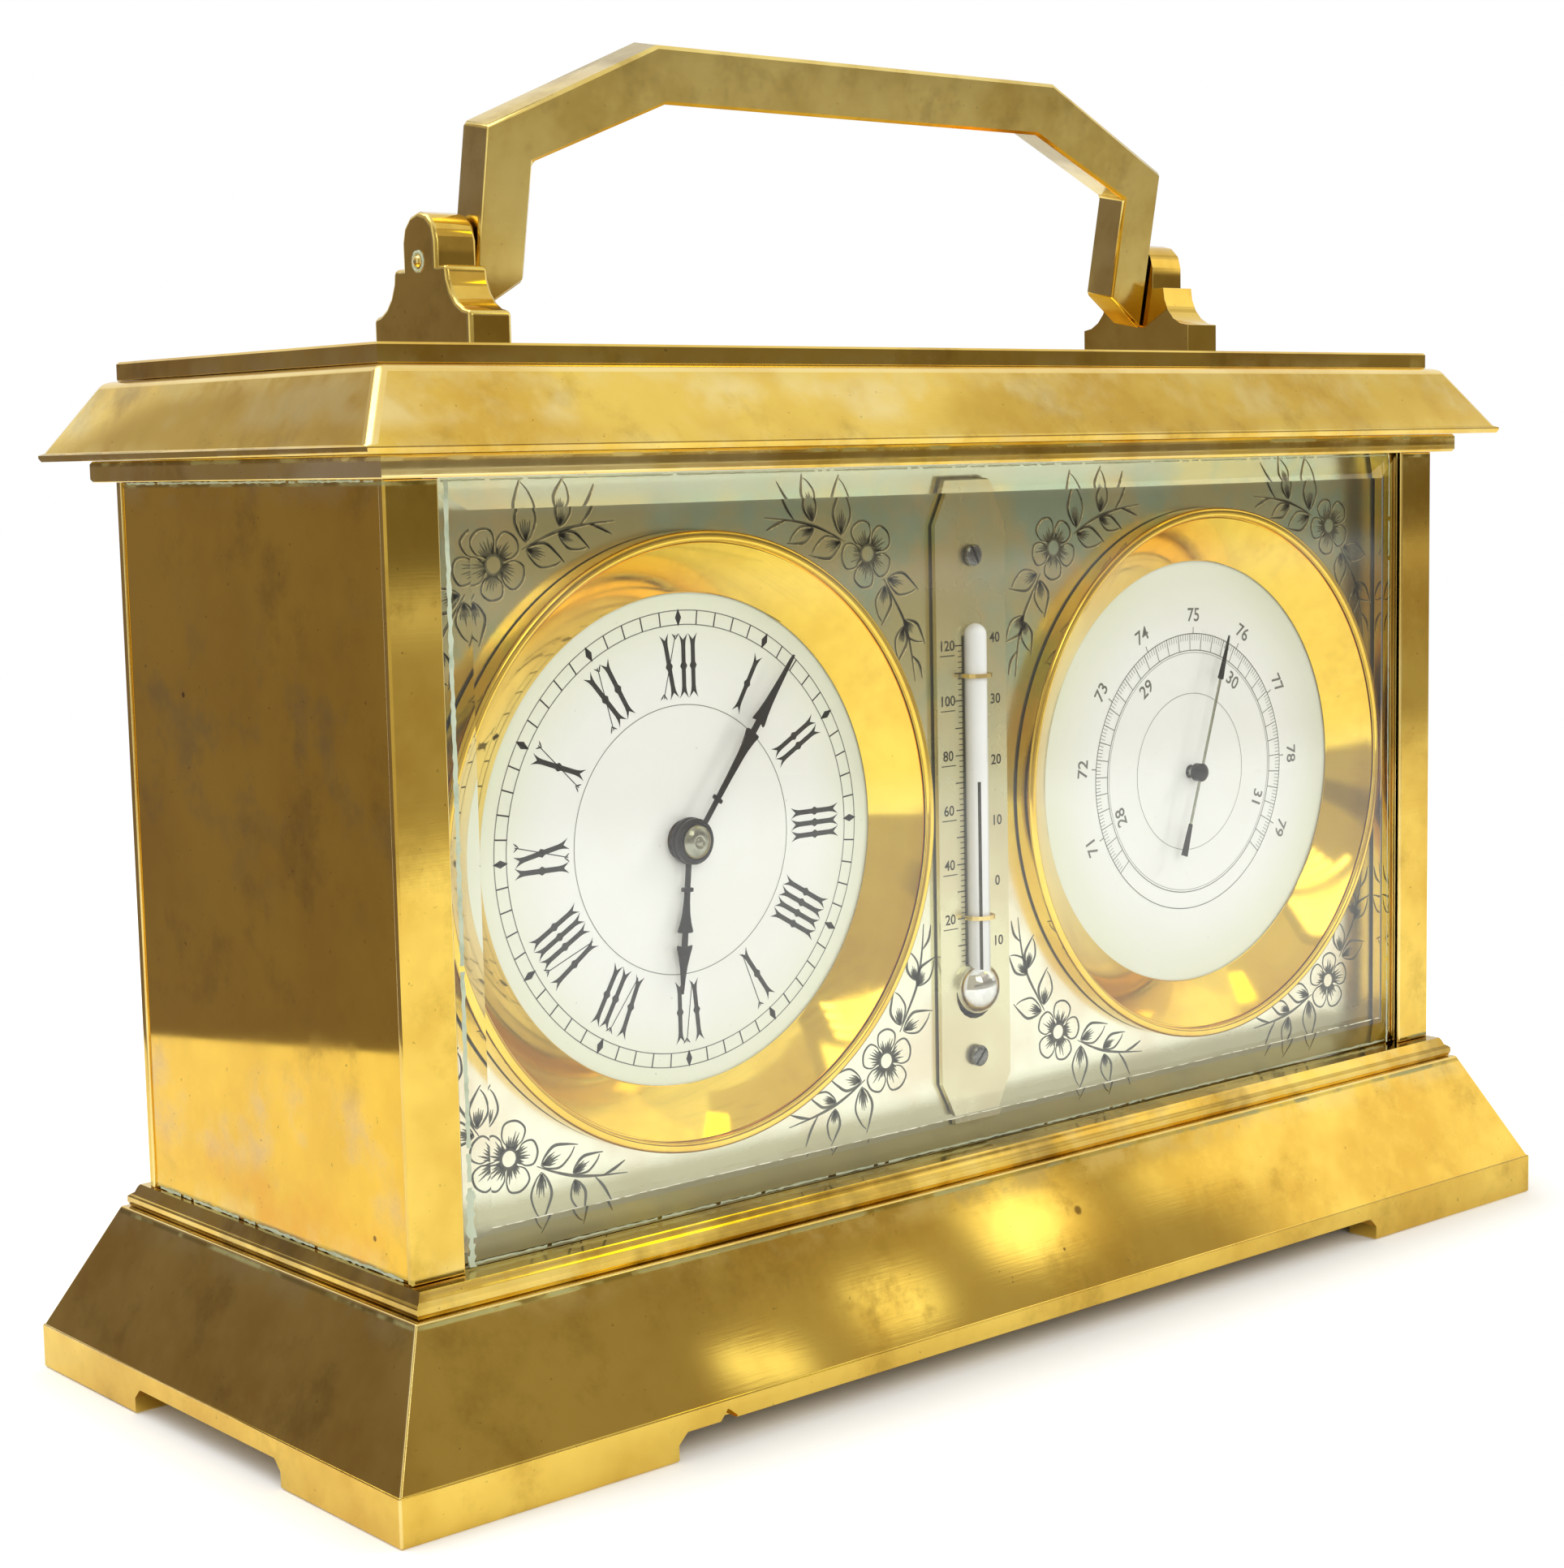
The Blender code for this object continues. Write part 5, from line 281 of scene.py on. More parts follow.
# fire-gilt bezel: turned, warm orange gold and bright enough to mirror the numerals
gildedBrass = brassFinish("fire gilt brass", {
    **caseLook, "fresh": "#FFDA5A", "worn": "#F3C84A", "tarnish": "#CF9A38", "cloudSize": 14, "stain": 0.25,
    "speck": 0.2, "rough": 0.06, "roughRange": 0.05, "joints": 0.0, "swellSize": 20, "swell": 0.03,
    "grain": 0.0005, "heightBands": [], "spots": []})


def silveredFinish(name, look):
    # brass rubbed with silver salt: soft satin, pale at the foot and darker and brassier towards the top,
    # teal and peach above, with a grey band along the lower edge that is a painted reflection
    material, tree, shader, place = newMaterial(name)
    waver = addNode(tree, "ShaderNodeTexNoise", {"Vector": place, "Scale": 1 / (26 * mm), "Detail": 4})
    height = addNode(tree, "ShaderNodeSeparateXYZ", {0: place}).outputs["Z"]
    level = addNode(tree, "ShaderNodeMath", {0: waver, 1: 0.030, 2: height}, operation="MULTIPLY_ADD")
    rise = addNode(tree, "ShaderNodeMapRange", {
        "Value": level, "From Min": look["paleTo"] * mm, "From Max": look["darkFrom"] * mm},
        interpolation_type="SMOOTHSTEP")
    # below this height a grey band: painted reflection along the lower edge
    foot = addNode(tree, "ShaderNodeMapRange", {
        "Value": height, "From Min": look["paintedReflectionTop"] * mm, "From Max": (look["paintedReflectionTop"] + 3.0) * mm, "To Min": 1.0,
        "To Max": 0.0}, interpolation_type="SMOOTHSTEP")
    peach = patches(tree, place, 17, 0.44, 0.66)
    crown = addNode(tree, "ShaderNodeMath", {
        0: nearHeights(tree, place, (104.5,), 2.0, 4.5), 1: patches(tree, place, 30, 0.40, 0.56, 2)},
        operation="MULTIPLY")
    teal = addNode(tree, "ShaderNodeMath", {0: patches(tree, place, 18, 0.44, 0.62, 5), 1: rise},
                   operation="MULTIPLY")
    feed(tree, shader, {
        "Base Color": layered(tree, linear(look["pale"]), [
            (rise, 1.0, look["dark"]), (peach, look["peachShare"], look["peach"]), (teal, 0.6, look["teal"]),
            (foot, look["paintedReflectionShare"], "#C6C396"), (crown, look["crownShare"], "#CDD3B8")]),
        "Roughness": roughened(tree, look["rough"], [(peach, 0.06), (foot, 0.08)]),
        "Metallic": look["metal"]})
    relief(tree, shader, [(grainNoise(tree, place, 0.3, (1, 1, 0.05), 2), 0.0022)])
    return material


plateSilver = silveredFinish("silvered brass plate", {
    "pale": "#F8F8E0", "dark": "#D8CE94", "peach": "#E8BE8C", "teal": "#A2CCBA", "peachShare": 0.30,
    "paleTo": 52, "darkFrom": 104, "paintedReflectionTop": 26.5, "paintedReflectionShare": 0.8, "crownShare": 0.8, "rough": 0.20,
    "metal": 0.93})
scaleSilver = silveredFinish("silvered thermometer plate", {
    "pale": "#EDE9C0", "dark": "#D2C48C", "peach": "#DCC096", "teal": "#B8C8AA", "peachShare": 0.30,
    "paleTo": 60, "darkFrom": 110, "paintedReflectionTop": 20, "paintedReflectionShare": 0.0, "crownShare": 0.0, "rough": 0.26,
    "metal": 0.85})


# the pattern of a plain finish: its size in mm, the ends of its mask, its detail, how far it tints and dulls
turningMarks = (1.1, 0.40, 0.70, 5, 0.35, 0.12)  # faint rings left on polished steel
thinPlaces = (2.4, 0.45, 0.75, 4, 0.60, 0.10)  # where the brush or the wax ran thin


def plainFinish(name, hexColour, tint, roughness, metallic, pattern):
    material, tree, shader, place = newMaterial(name)
    *mask, tinted, dulled = pattern
    marks = patches(tree, place, *mask)
    feed(tree, shader, {"Base Color": layered(tree, linear(hexColour), [(marks, tinted, tint)]),
                        "Roughness": roughened(tree, roughness, [(marks, dulled)]), "Metallic": metallic})
    return material


polishedSteel = plainFinish("polished steel", "#B9B9B6", "#5A5148", 0.18, 1, turningMarks)
screwSteel = plainFinish("greyed screw steel", "#7C7C78", "#3E3A34", 0.22, 1, turningMarks)
# heat-blued, nearly black brown
bluedSteel = plainFinish("blued steel", "#2A2A2C", "#3A2F22", 0.3, 0.8, turningMarks)
nickelDome = plainFinish("polished nickel", "#A9AA98", "#6E6C5A", 0.14, 1, turningMarks)
mercury = plainFinish("mercury", "#EFEFEA", "#D0CFC6", 0.04, 1, turningMarks)


def enamelFinish(name, look):
    # vitreous enamel on copper: milk white under a thin gloss, a little creamy
    material, tree, shader, place = newMaterial(name)
    cream = patches(tree, place, 20, 0.35, 0.75, 3)
    dust = patches(tree, place, 0.7, 0.75, 0.79, 1)
    # white inside each spot; beyond it the rim colour, which on the dials is a painted reflection of the
    # bezel
    layers = [(spotAt(tree, place, middle, look["rimAt"]), 1.0, look["white"]) for middle in look["middles"]]
    layers += [(cream, 0.5, look["cream"]), (dust, look["dust"], "#9C9684")]
    feed(tree, shader, {
        "Base Color": layered(tree, linear(look["rim"]), layers), "Coat Weight": look["coat"],
        "Roughness": roughened(tree, look["rough"], [(cream, 0.08)]), "Coat Roughness": 0.05})
    ripple = addNode(tree, "ShaderNodeTexNoise", {"Vector": place, "Scale": 1 / (9 * mm)})
    relief(tree, shader, [(ripple, 0.02)])
    return material


whiteEnamel = enamelFinish("white vitreous enamel", {
    "white": "#FAFAF4", "cream": "#F4F3E6", "rim": "#E9EDCB", "rimAt": 31, "dust": 0.3, "rough": 0.28,
    "coat": 0.5,
    "middles": [(-43, -20.3, 63.7), (43, -20.3, 63.7)]})  # the cream rim is a painted reflection of the gilt bezel
milkGlass = enamelFinish("milk white glass", {  # the opal backing that the thread is read against
    "white": "#FFFFFC", "cream": "#FDFDF6", "rim": "#FFFFFC", "rimAt": 1, "dust": 0.0, "rough": 0.10,
    "coat": 0.4, "middles": []})
dialBlack = plainFinish("fired black enamel", "#1A1A17", "#2E2E28", 0.35, 0, thinPlaces)
fineGrey = plainFinish("fired grey hairline", "#6C6C62", "#909084", 0.4, 0, thinPlaces)
engravedWax = plainFinish("engraving filled with dark wax", "#55574A", "#7A7862", 0.42, 0.2, thinPlaces)
# the fill of the upper cuts, painted paler and more metallic than the lower as if lit: painted light
litEngravingFill = plainFinish("engraving fill painted lighter as if lit", "#6A664A", "#A59D74", 0.35, 0.6, thinPlaces)
# a pale strip beside each upper cut: painted highlight
paintedEngravingHighlight = plainFinish("painted highlight beside engraving", "#E8D79C", "#B9A468", 0.25, 0.6, thinPlaces)
scaleBlack = plainFinish("blackened scale engraving", "#33301F", "#5A5238", 0.45, 0.2, thinPlaces)
# green-white crust where metals meet, and pale specks left by polishing paste
verdigris = plainFinish("verdigris crust", "#C2CCB4", "#98A68C", 0.8, 0, thinPlaces)
polishDust = plainFinish("dried polish dust", "#E4E2CC", "#A8A48C", 0.9, 0, thinPlaces)


def glassFinish(name, hexColour, roughness):
    # polished plate glass with a few faint wipe marks
    material, tree, shader, place = newMaterial(name)
    wiped = patches(tree, place, 11, 0.50, 0.74, 5, 0.7)
    feed(tree, shader, {
        "Roughness": roughened(tree, 0.0, [(wiped, roughness)]), "Base Color": linear(hexColour),
        "Transmission Weight": 1, "IOR": 1.5})
    return material


plateGlass = glassFinish("bevelled plate glass", "#FEFFFE", 0.02)
print("materials ready")

# Case pieces: copies of the CAD solids whose sharp edges are rounded as years of polishing leave them

softEdges = {
    "base_moulding": (0.70, 3.0), "base_plate": (0.16, 3.0), "frieze_plate": (0.22, 3.0),
    "cornice": (1.00, 3.0), "top_plate": (0.16, 3.0), "front_pillar_left": (0.55, 3.0),
    "front_pillar_right": (0.55, 3.0), "rear_pillar_left": (0.40, 3.0), "rear_pillar_right": (0.40, 3.0),
    "handle": (0.95, 1.5), "handle_lug_left": (0.60, 0.9), "handle_lug_right": (0.60, 0.9),
    "rear_door": (0.35, 5.0), "side_panel_left": (0.15, 5.0), "side_panel_right": (0.15, 5.0),
}  # mm: width of the rounding, and the shortest edge that gets it
seams = {20.1: 19.84, 22.3: 22.40, 22.6: 22.44, 104.9: 105.06, 105.2: 105.10, 107.4: 107.50, 107.7: 107.54,
         116.35: 116.47, 116.65: 116.51, 118.95: 118.69}  # mm: plates are drawn up tight against each other
# mm, in the lower edge of the base lip
nick = {"place": (-52.9, -39.0, 3.2), "size": (1.7, 2.6, 1.6), "turn": 40}


def cutWith(bm, place, turn, size):
    # cuts a box out of a closed mesh: its place and size are in mm, its turn about Y in degrees
    cutter = bmesh.new()
    bmesh.ops.create_cube(cutter, size=1)
    bmesh.ops.transform(cutter, verts=cutter.verts, matrix=Matrix.Translation(Vector(place) * mm)
                        @ Matrix.Rotation(math.radians(turn), 4, "Y")
                        @ Matrix.Diagonal([v * mm for v in size] + [1]))
    parts = [addObject(name, meshOf(name, source)) for name, source in (("body", bm), ("cutter", cutter))]
    cut = parts[0].modifiers.new("cut", "BOOLEAN")
    cut.object, cut.solver = parts[1], "EXACT"
    result = bmesh.new()
    result.from_mesh(evaluatedMesh(parts[0]))
    for part in parts:
        bpy.data.objects.remove(part)
    return result


def softened(name, width, shortest, finish):
    bm = bmesh.new()
    bm.from_mesh(nodes[name].data)
    bmesh.ops.remove_doubles(bm, verts=bm.verts, dist=0.002 * mm)
    bmesh.ops.dissolve_limit(bm, angle_limit=math.radians(0.6), verts=bm.verts, edges=bm.edges)
    if name not in ("handle", "rear_door"):
        for vert in bm.verts:
            for level, drawn in seams.items():
                if abs(vert.co.z / mm - level) < 0.02:
                    vert.co.z = drawn * mm
                    break
            if name.startswith("side_panel"):
                vert.co.y *= 27.08 / 26.8
    edges = [e for e in bm.edges if e.is_manifold and e.calc_length() > shortest * mm
             and e.calc_face_angle_signed() > math.radians(50)]
    bmesh.ops.bevel(bm, geom=edges, offset=width * mm, offset_type="OFFSET", segments=3, profile=0.5,
                    affect="EDGES", clamp_overlap=True, material=1)
    if name == "base_moulding":
        bm = cutWith(bm, nick["place"], nick["turn"], nick["size"])
    edge = handleBrass if finish is handleBrass or name.startswith("handle_lug") else edgeBrass
    piece = finishPiece(name + ".polished", bm, nodes[name]["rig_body"], (finish, edge), (name,))
    piece.modifiers.new("faces keep flat", "WEIGHTED_NORMAL").keep_sharp = True


caseFinish = {"handle": handleBrass, "side_panel_left": sheetBrass, "side_panel_right": sheetBrass,
              "rear_door": sheetBrass}
for name, (width, shortest) in softEdges.items():
    softened(name, width, shortest, caseFinish.get(name, caseBrass))
print("case softened")

dress("door_knob handle_pin_left handle_pin_right thermometer_clip_lower thermometer_clip_upper", edgeBrass)
dress("clock_front_plate clock_back_plate barrel centre_wheel third_wheel fourth_wheel minute_wheel"
      " hour_wheel escapement_platform balance_wheel balance_cock escape_cock aneroid_plate aneroid_bridge",
      movementBrass)
dress("winding_arbor ratchet_wheel click cannon_pinion escape_wheel lever regulator barometer_arbor",
      polishedSteel)
dress("hairspring aneroid_spring", bluedSteel)
dress("dial_plate aneroid_capsule", plateSilver)
dress("thermometer_plate", scaleSilver)
dress("clock_dial barometer_dial", whiteEnamel)
for name, node in nodes.items():
    if not node.data.materials or node.data.materials[0] is None:
        dress(name, caseBrass)

# Bevelled front glass

glassLook = {"low": (-80.3, 22.46), "high": (80.3, 105.04), "front": -27.7, "back": -25.9, "bevelDepth": 1.25,
             "flatLow": (-75.2, 26.5), "flatHigh": (75.2, 101.7)}  # mm, x and z


def frontGlass():
    bm = bmesh.new()
    low, high, front = glassLook["low"], glassLook["high"], glassLook["front"]
    rings = []
    for (x0, z0), (x1, z1), y in ((low, high, glassLook["back"]),
                                  (low, high, front + glassLook["bevelDepth"]),
                                  (glassLook["flatLow"], glassLook["flatHigh"], front)):
        rings.append([bm.verts.new(Vector((x, y, z)) * mm)
                      for x, z in ((x0, z0), (x1, z0), (x1, z1), (x0, z1))])
    for a, b in zip(rings, rings[1:]):
        for k in range(4):
            bm.faces.new((a[k], a[(k + 1) % 4], b[(k + 1) % 4], b[k]))
    bm.faces.new(rings[0])
    bm.faces.new(rings[2])
    bmesh.ops.recalc_face_normals(bm, faces=bm.faces)
    pane = finishPiece("front_glass.bevelled", bm, "case", (plateGlass,), ("front_glass",),
                       soft=False)
    pane.visible_shadow = False


frontGlass()

# Turned pieces

dialCentres = {"clock": (-43.0, 63.7), "barometer": (43.0, 63.7)}  # mm, x and z
levels = {"plate": -22.2, "dial": -20.3, "scale": -23.1}  # mm, y of the faces that carry marks


def turnedMesh(profile, centre, axis, segments, bm=None):
    # profile of (radius, distance along the axis) in mm, closed at both ends where the radius is 0
    bm = bm or bmesh.new()
    loops, made = [], []
    for radius, along in profile:
        loop = []
        for k in range(segments if radius > 0 else 1):
            turn = math.tau * k / segments
            u, v = centre[0] + radius * math.cos(turn), centre[1] + radius * math.sin(turn)
            place = {"X": (along, u, v), "Y": (u, along, v), "Z": (u, v, along)}[axis]
            loop.append(bm.verts.new(Vector(place) * mm))
        loops.append(loop)
    closed = profile[0][0] > 0 and profile[-1][0] > 0
    pairs = list(zip(loops, loops[1:])) + ([(loops[-1], loops[0])] if closed else [])
    for a, b in pairs:
        for k in range(segments):
            corners = [a[k % len(a)], a[(k + 1) % len(a)], b[(k + 1) % len(b)], b[k % len(b)]]
            made.append(bm.faces.new(list(dict.fromkeys(corners))))
    bmesh.ops.recalc_face_normals(bm, faces=made)
    return bm


def arcPoints(u, v, radius, start, end, steps):
    turns = [math.radians(start + (end - start) * k / steps) for k in range(steps + 1)]
    return [(u + radius * math.cos(a), v + radius * math.sin(a)) for a in turns]


bezel = {"radius": 34.9, "lip": 1.25, "round": 0.45, "seat": -22.5, "front": -24.9, "inner": 27.9,
         "back": -20.6, "neck": 31.4, "segments": 192}  # mm


def bezelProfile():
    outer, lip, front, soft = bezel["radius"], bezel["lip"], bezel["front"], bezel["round"]
    crest = outer - lip
    profile = [(outer, bezel["seat"])]
    profile += arcPoints(outer - soft, front + soft, soft, 0, -90, 6)
    profile += arcPoints(crest + soft, front + soft, soft, -90, -180, 6)
    profile += [(crest - 0.02, front + 0.80), (crest - 0.16, front + 0.80), (crest - 0.20, front + 0.62)]
    profile += [(bezel["inner"] + 0.15, bezel["back"] - 0.15), (bezel["inner"], bezel["back"])]
    return profile + [(bezel["neck"], bezel["back"]), (bezel["neck"], bezel["seat"])]


for name, centre in dialCentres.items():
    finishPiece(name + "_bezel.turned", turnedMesh(bezelProfile(), centre, "Y", bezel["segments"]),
                "case", (gildedBrass,), (name + "_bezel",), sharp=25)

# mm: radii of the head and of the crust round it, the jog of the crust's grains, and places along the pin
rivetLook = {"head": 0.62, "crust": 1.25, "jog": 0.07, "out": 62.55, "face": 61.9, "inside": 51.7}


def rivets():
    low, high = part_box("handle_pin_left")
    centre = [(low[k] + high[k]) / 2 / mm for k in (1, 2)]
    shaft = (high[2] - low[2]) / 2 / mm
    head, crust, face, inside = (rivetLook[key] for key in ("head", "crust", "face", "inside"))
    for side, name in ((-1, "left"), (1, "right")):
        profile = [(0, inside), (shaft, inside), (shaft, face + 0.03), (head + 0.12, face + 0.08),
                   (head, face + 0.18)]
        profile += [(head * math.cos(a), face + 0.18 + 0.42 * math.sin(a)) for a in (0.3, 0.6, 0.9, 1.2)]
        profile.append((0, rivetLook["out"] - 0.03))
        bm = turnedMesh([(r, side * x) for r, x in profile], centre, "X", 32)
        finishPiece("handle_pin_" + name + ".riveted", bm, nodes["handle_pin_" + name]["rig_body"],
                    (edgeBrass,), ("handle_pin_" + name,), sharp=50)
        ring = [(crust - 0.42, face + 0.06), (crust - 0.22, face + 0.20), (crust, face + 0.06)]
        bm = turnedMesh([(r, side * x) for r, x in ring], centre, "X", 40)
        rng = random.Random(7)
        for vert in bm.verts:
            vert.co += Vector((0, rng.uniform(-1, 1), rng.uniform(-1, 1))) * rivetLook["jog"] * mm
        finishPiece("rivet_crust_" + name, bm, nodes["handle_lug_" + name]["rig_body"],
                    (verdigris,))


rivets()

# Clock hands: blued steel stampings whose outlines swell, step in, and swell again

handLook = {
    "minute": {"y": (-22.5, -22.25), "turn": 37.2, "sides": [
        (2.2, 0.29), (5.35, 0.29), (5.42, 0.72), (5.82, 0.72), (5.89, 0.31), (8.4, 0.35), (10.0, 0.41),
        (11.4, 0.46), (12.5, 0.56), (13.6, 0.76), (14.45, 1.00), (14.62, 0.90), (14.66, 0.36), (16.0, 0.36),
        (16.02, 0.54), (15.86, 0.94), (16.25, 0.92), (17.2, 0.71), (18.6, 0.52), (20.4, 0.38), (22.2, 0.28),
        (24.6, 0.17), (25.15, 0.09)]},
    "hour": {"y": (-21.55, -21.3), "turn": -174.6, "sides": [
        (2.2, 0.32), (5.25, 0.32), (5.32, 0.78), (5.74, 0.78), (5.81, 0.34), (7.0, 0.37), (8.2, 0.48),
        (9.4, 0.74), (10.25, 1.04), (10.42, 0.92), (10.46, 0.35), (11.95, 0.35), (11.97, 0.56), (11.85, 1.04),
        (12.2, 1.00), (13.05, 0.75), (14.25, 0.46), (15.6, 0.28), (17.4, 0.12)]},
}  # (distance from the centre, half width) in mm


def slab(bm, outline, y0, y1, toPlace):
    # outline points (u, v) in order round a flat piece, given its thickness
    front = [bm.verts.new(toPlace(u, v, y0)) for u, v in outline]
    back = [bm.verts.new(toPlace(u, v, y1)) for u, v in outline]
    made = [bm.faces.new(front), bm.faces.new(list(reversed(back)))]
    for k in range(len(outline)):
        j = (k + 1) % len(outline)
        made.append(bm.faces.new((front[k], back[k], back[j], front[j])))
    bmesh.ops.recalc_face_normals(bm, faces=made)
    return made


def faceOn(centre, turn=0.0):
    # takes u to the right, v up and the depth y, in mm, to a face turned clockwise about its centre
    c, s = math.cos(turn), math.sin(turn)
    return lambda u, v, y: Vector((centre[0] + u * c + v * s, y, centre[1] - u * s + v * c)) * mm


def bothSides(sides):
    return [(w, r) for r, w in sides] + [(-w, r) for r, w in reversed(sides)]


def clockHand(name, body, eyeProfile):
    look, centre = handLook[name], dialCentres["clock"]
    bm = bmesh.new()
    slab(bm, bothSides(look["sides"]), *look["y"], faceOn(centre, math.radians(look["turn"])))
    bmesh.ops.triangulate(bm, faces=[f for f in bm.faces if len(f.verts) > 4])
    turnedMesh(eyeProfile, centre, "Y", 64, bm)
    finishPiece(name + "_hand.stamped", bm, body, (bluedSteel,), (name + "_hand",), sharp=30)


# the minute hand's eye is a dished washer with a raised rim, in which the domed nut sits
clockHand("minute", "centre", [(0.8, -21.9), (2.40, -21.9), (2.60, -22.0), (2.60, -22.5), (2.45, -22.65),
                               (2.2, -22.7), (2.05, -22.6), (2.0, -22.4), (0.8, -22.4)])
clockHand("hour", "hour", [(1.3, -21.2), (2.55, -21.2), (2.68, -21.3), (2.68, -21.7), (2.5, -21.8),
                           (1.3, -21.8)])

collet = {"radius": 1.92, "front": -23.4, "back": -22.35, "screw": 0.50, "dome": 0.40, "segments": 64}  # mm


def colletPiece():
    r, front, back, screw = collet["radius"], collet["front"], collet["back"], collet["screw"]
    profile = [(0, front + 0.02), (screw - 0.1, front + 0.02), (screw, front + 0.1),
               (screw + 0.05, front + 0.2), (screw + 0.16, front + 0.1)]
    profile += [(screw + 0.16 + (r - 0.2 - screw) * k / 10, front + 0.1 + collet["dome"] * (k / 10) ** 2.2)
                for k in range(1, 11)]
    profile += [(r, front + 0.62), (r, back), (0.75, back), (0.75, front + 0.45), (0, front + 0.45)]
    finishPiece("hand_collet.domed", turnedMesh(profile, dialCentres["clock"], "Y", collet["segments"]),
                "centre", (nickelDome,), ("hand_collet",), sharp=50)


colletPiece()

# mm; the boss is a profile of its radius, the arrow and the tail are (distance from the centre, half width)
barometerHand = {"turn": 17.7, "y": (-22.35, -22.1), "shank": 0.13, "shankFrom": 0.9,
                 "boss": [(0, -22.78), (0.6, -22.74), (1.02, -22.6), (1.2, -22.4), (1.2, -21.4), (0, -21.4)],
                 "arrow": [(12.7, 0.13), (12.8, 0.46), (15.0, 0.30), (17.2, 0.16), (18.7, 0.05)],
                 "tail": [(-7.0, 0.26), (-11.3, 0.52)]}


def barometerHandPiece():
    centre, y, thin = dialCentres["barometer"], barometerHand["y"], barometerHand["shank"]
    arrow, tail, start = barometerHand["arrow"], barometerHand["tail"], barometerHand["shankFrom"]
    place = faceOn(centre, math.radians(barometerHand["turn"]))
    bm = bmesh.new()
    for low, high in ((start, arrow[0][0]), (tail[0][0], -start)):
        for face in slab(bm, [(thin, low), (thin, high), (-thin, high), (-thin, low)], *y, place):
            face.material_index = 1
    for sides in (arrow, tail):
        slab(bm, bothSides(sides), *y, place)
    turnedMesh(barometerHand["boss"], centre, "Y", 40, bm)
    finishPiece("barometer_hand.stamped", bm, "barometer", (bluedSteel, nickelDome),
                ("barometer_hand",), sharp=35)


barometerHandPiece()

# Thermometer: a stem backed with milk glass, with the thread in front and a bulb of mercury

tube = {"radius": 1.4, "y": -23.75, "top": 85.9, "bulb": 3.25, "bulbHeight": 41.1, "bulbY": -23.25,
        "bulbDepth": 0.75, "thread": (43.6, 66.7), "threadWidth": 0.40, "threadTurn": -33,
        "slot": (84.4, 85.9, 1.67), "slotY": (-23.08, -22.6), "segments": 48}  # mm


def thermometerPieces():
    r, top, bulb, height = tube["radius"], tube["top"], tube["bulb"], tube["bulbHeight"]
    low = height + 2.0
    profile = [(0, low), (r * 0.85, low), (r, low + 0.25)] + arcPoints(0, top - r, r, 0, 81, 9) + [(0, top)]
    finishPiece("thermometer_stem", turnedMesh(profile, (0, tube["y"]), "Z", tube["segments"]),
                "case", (milkGlass,), ("thermometer_tube",))
    ball = [(0, height - bulb)] + arcPoints(0, height, bulb, -81, 63, 16)
    neck = [(1.2, height + bulb * 0.94), (0.9, height + bulb * 1.05), (0, height + bulb * 1.08)]
    bm = turnedMesh(ball + neck, (0, tube["bulbY"]), "Z", tube["segments"])
    for vert in bm.verts:
        vert.co.y = tube["bulbY"] * mm + (vert.co.y - tube["bulbY"] * mm) * tube["bulbDepth"]
    finishPiece("thermometer_bulb", bm, "case", (mercury,), sharp=60)
    bm = bmesh.new()
    wide, bow, turn = tube["threadWidth"] / 2, r + 0.03, math.radians(tube["threadTurn"])
    rows = [[bm.verts.new(Vector((bow * math.sin(turn + a), tube["y"] - bow * math.cos(turn + a), z)) * mm)
             for a in (-wide / bow, 0, wide / bow)] for z in tube["thread"]]
    for k in range(2):
        bm.faces.new((rows[0][k], rows[0][k + 1], rows[1][k + 1], rows[1][k]))
    finishPiece("thermometer_thread", bm, "case", (scaleBlack,))
    # tongue that closes the round end of the slot above the stem
    foot, centre, half = tube["slot"]
    bm = bmesh.new()
    slab(bm, [(-half, foot), (half, foot)] + arcPoints(0, centre, half, 0, 180, 16), *tube["slotY"],
         faceOn((0, 0)))
    finishPiece("thermometer_slot_end", bm, "case", (scaleSilver,), soft=False)


thermometerPieces()
print("turned pieces made")

# Flat marks: numerals, hairlines, numbers and engraving, a hair proud of the face that carries them

proud = 0.02  # mm


def onDial(centre, u, v, y, turn=0.0):
    # just proud of the face at depth y
    return faceOn(centre, turn)(u, v, y - proud)


def flatFace(bm, points):
    # a flat face that looks at the front
    face = bm.faces.new([bm.verts.new(p) for p in points])
    face.normal_update()
    if face.normal.y > 0:
        face.normal_flip()


def annulus(bm, centre, inner, outer, y, segments=180):
    for k in range(segments):
        a, b = math.tau * k / segments, math.tau * (k + 1) / segments
        flatFace(bm, [onDial(centre, 0, r, y, turn)
                      for r, turn in ((inner, a), (outer, a), (outer, b), (inner, b))])


def strip(bm, points, widths, toPlace):
    # a line of changing width through points (u, v)
    edges = []
    for k, (u, v) in enumerate(points):
        a, b = points[max(k - 1, 0)], points[min(k + 1, len(points) - 1)]
        half = Vector((b[0] - a[0], b[1] - a[1])).normalized() * (widths[k] / 2)
        edges.append((toPlace(u - half.y, v + half.x), toPlace(u + half.y, v - half.x)))
    for (a, b), (c, d) in zip(edges, edges[1:]):
        flatFace(bm, [a, b, d, c])


# mm: where the numerals stand, the half widths of a thick stroke at its middle, knot and forked ends, the
# depth of the fork's notch, the width of a hairline, and how wide each letter stands
numeral = {"inner": 16.0, "outer": 23.3, "half": 0.29, "knot": 0.50, "prong": 0.66, "notch": 0.72,
           "hair": 0.11, "widths": {"I": 1.36, "V": 2.30, "X": 2.64}}


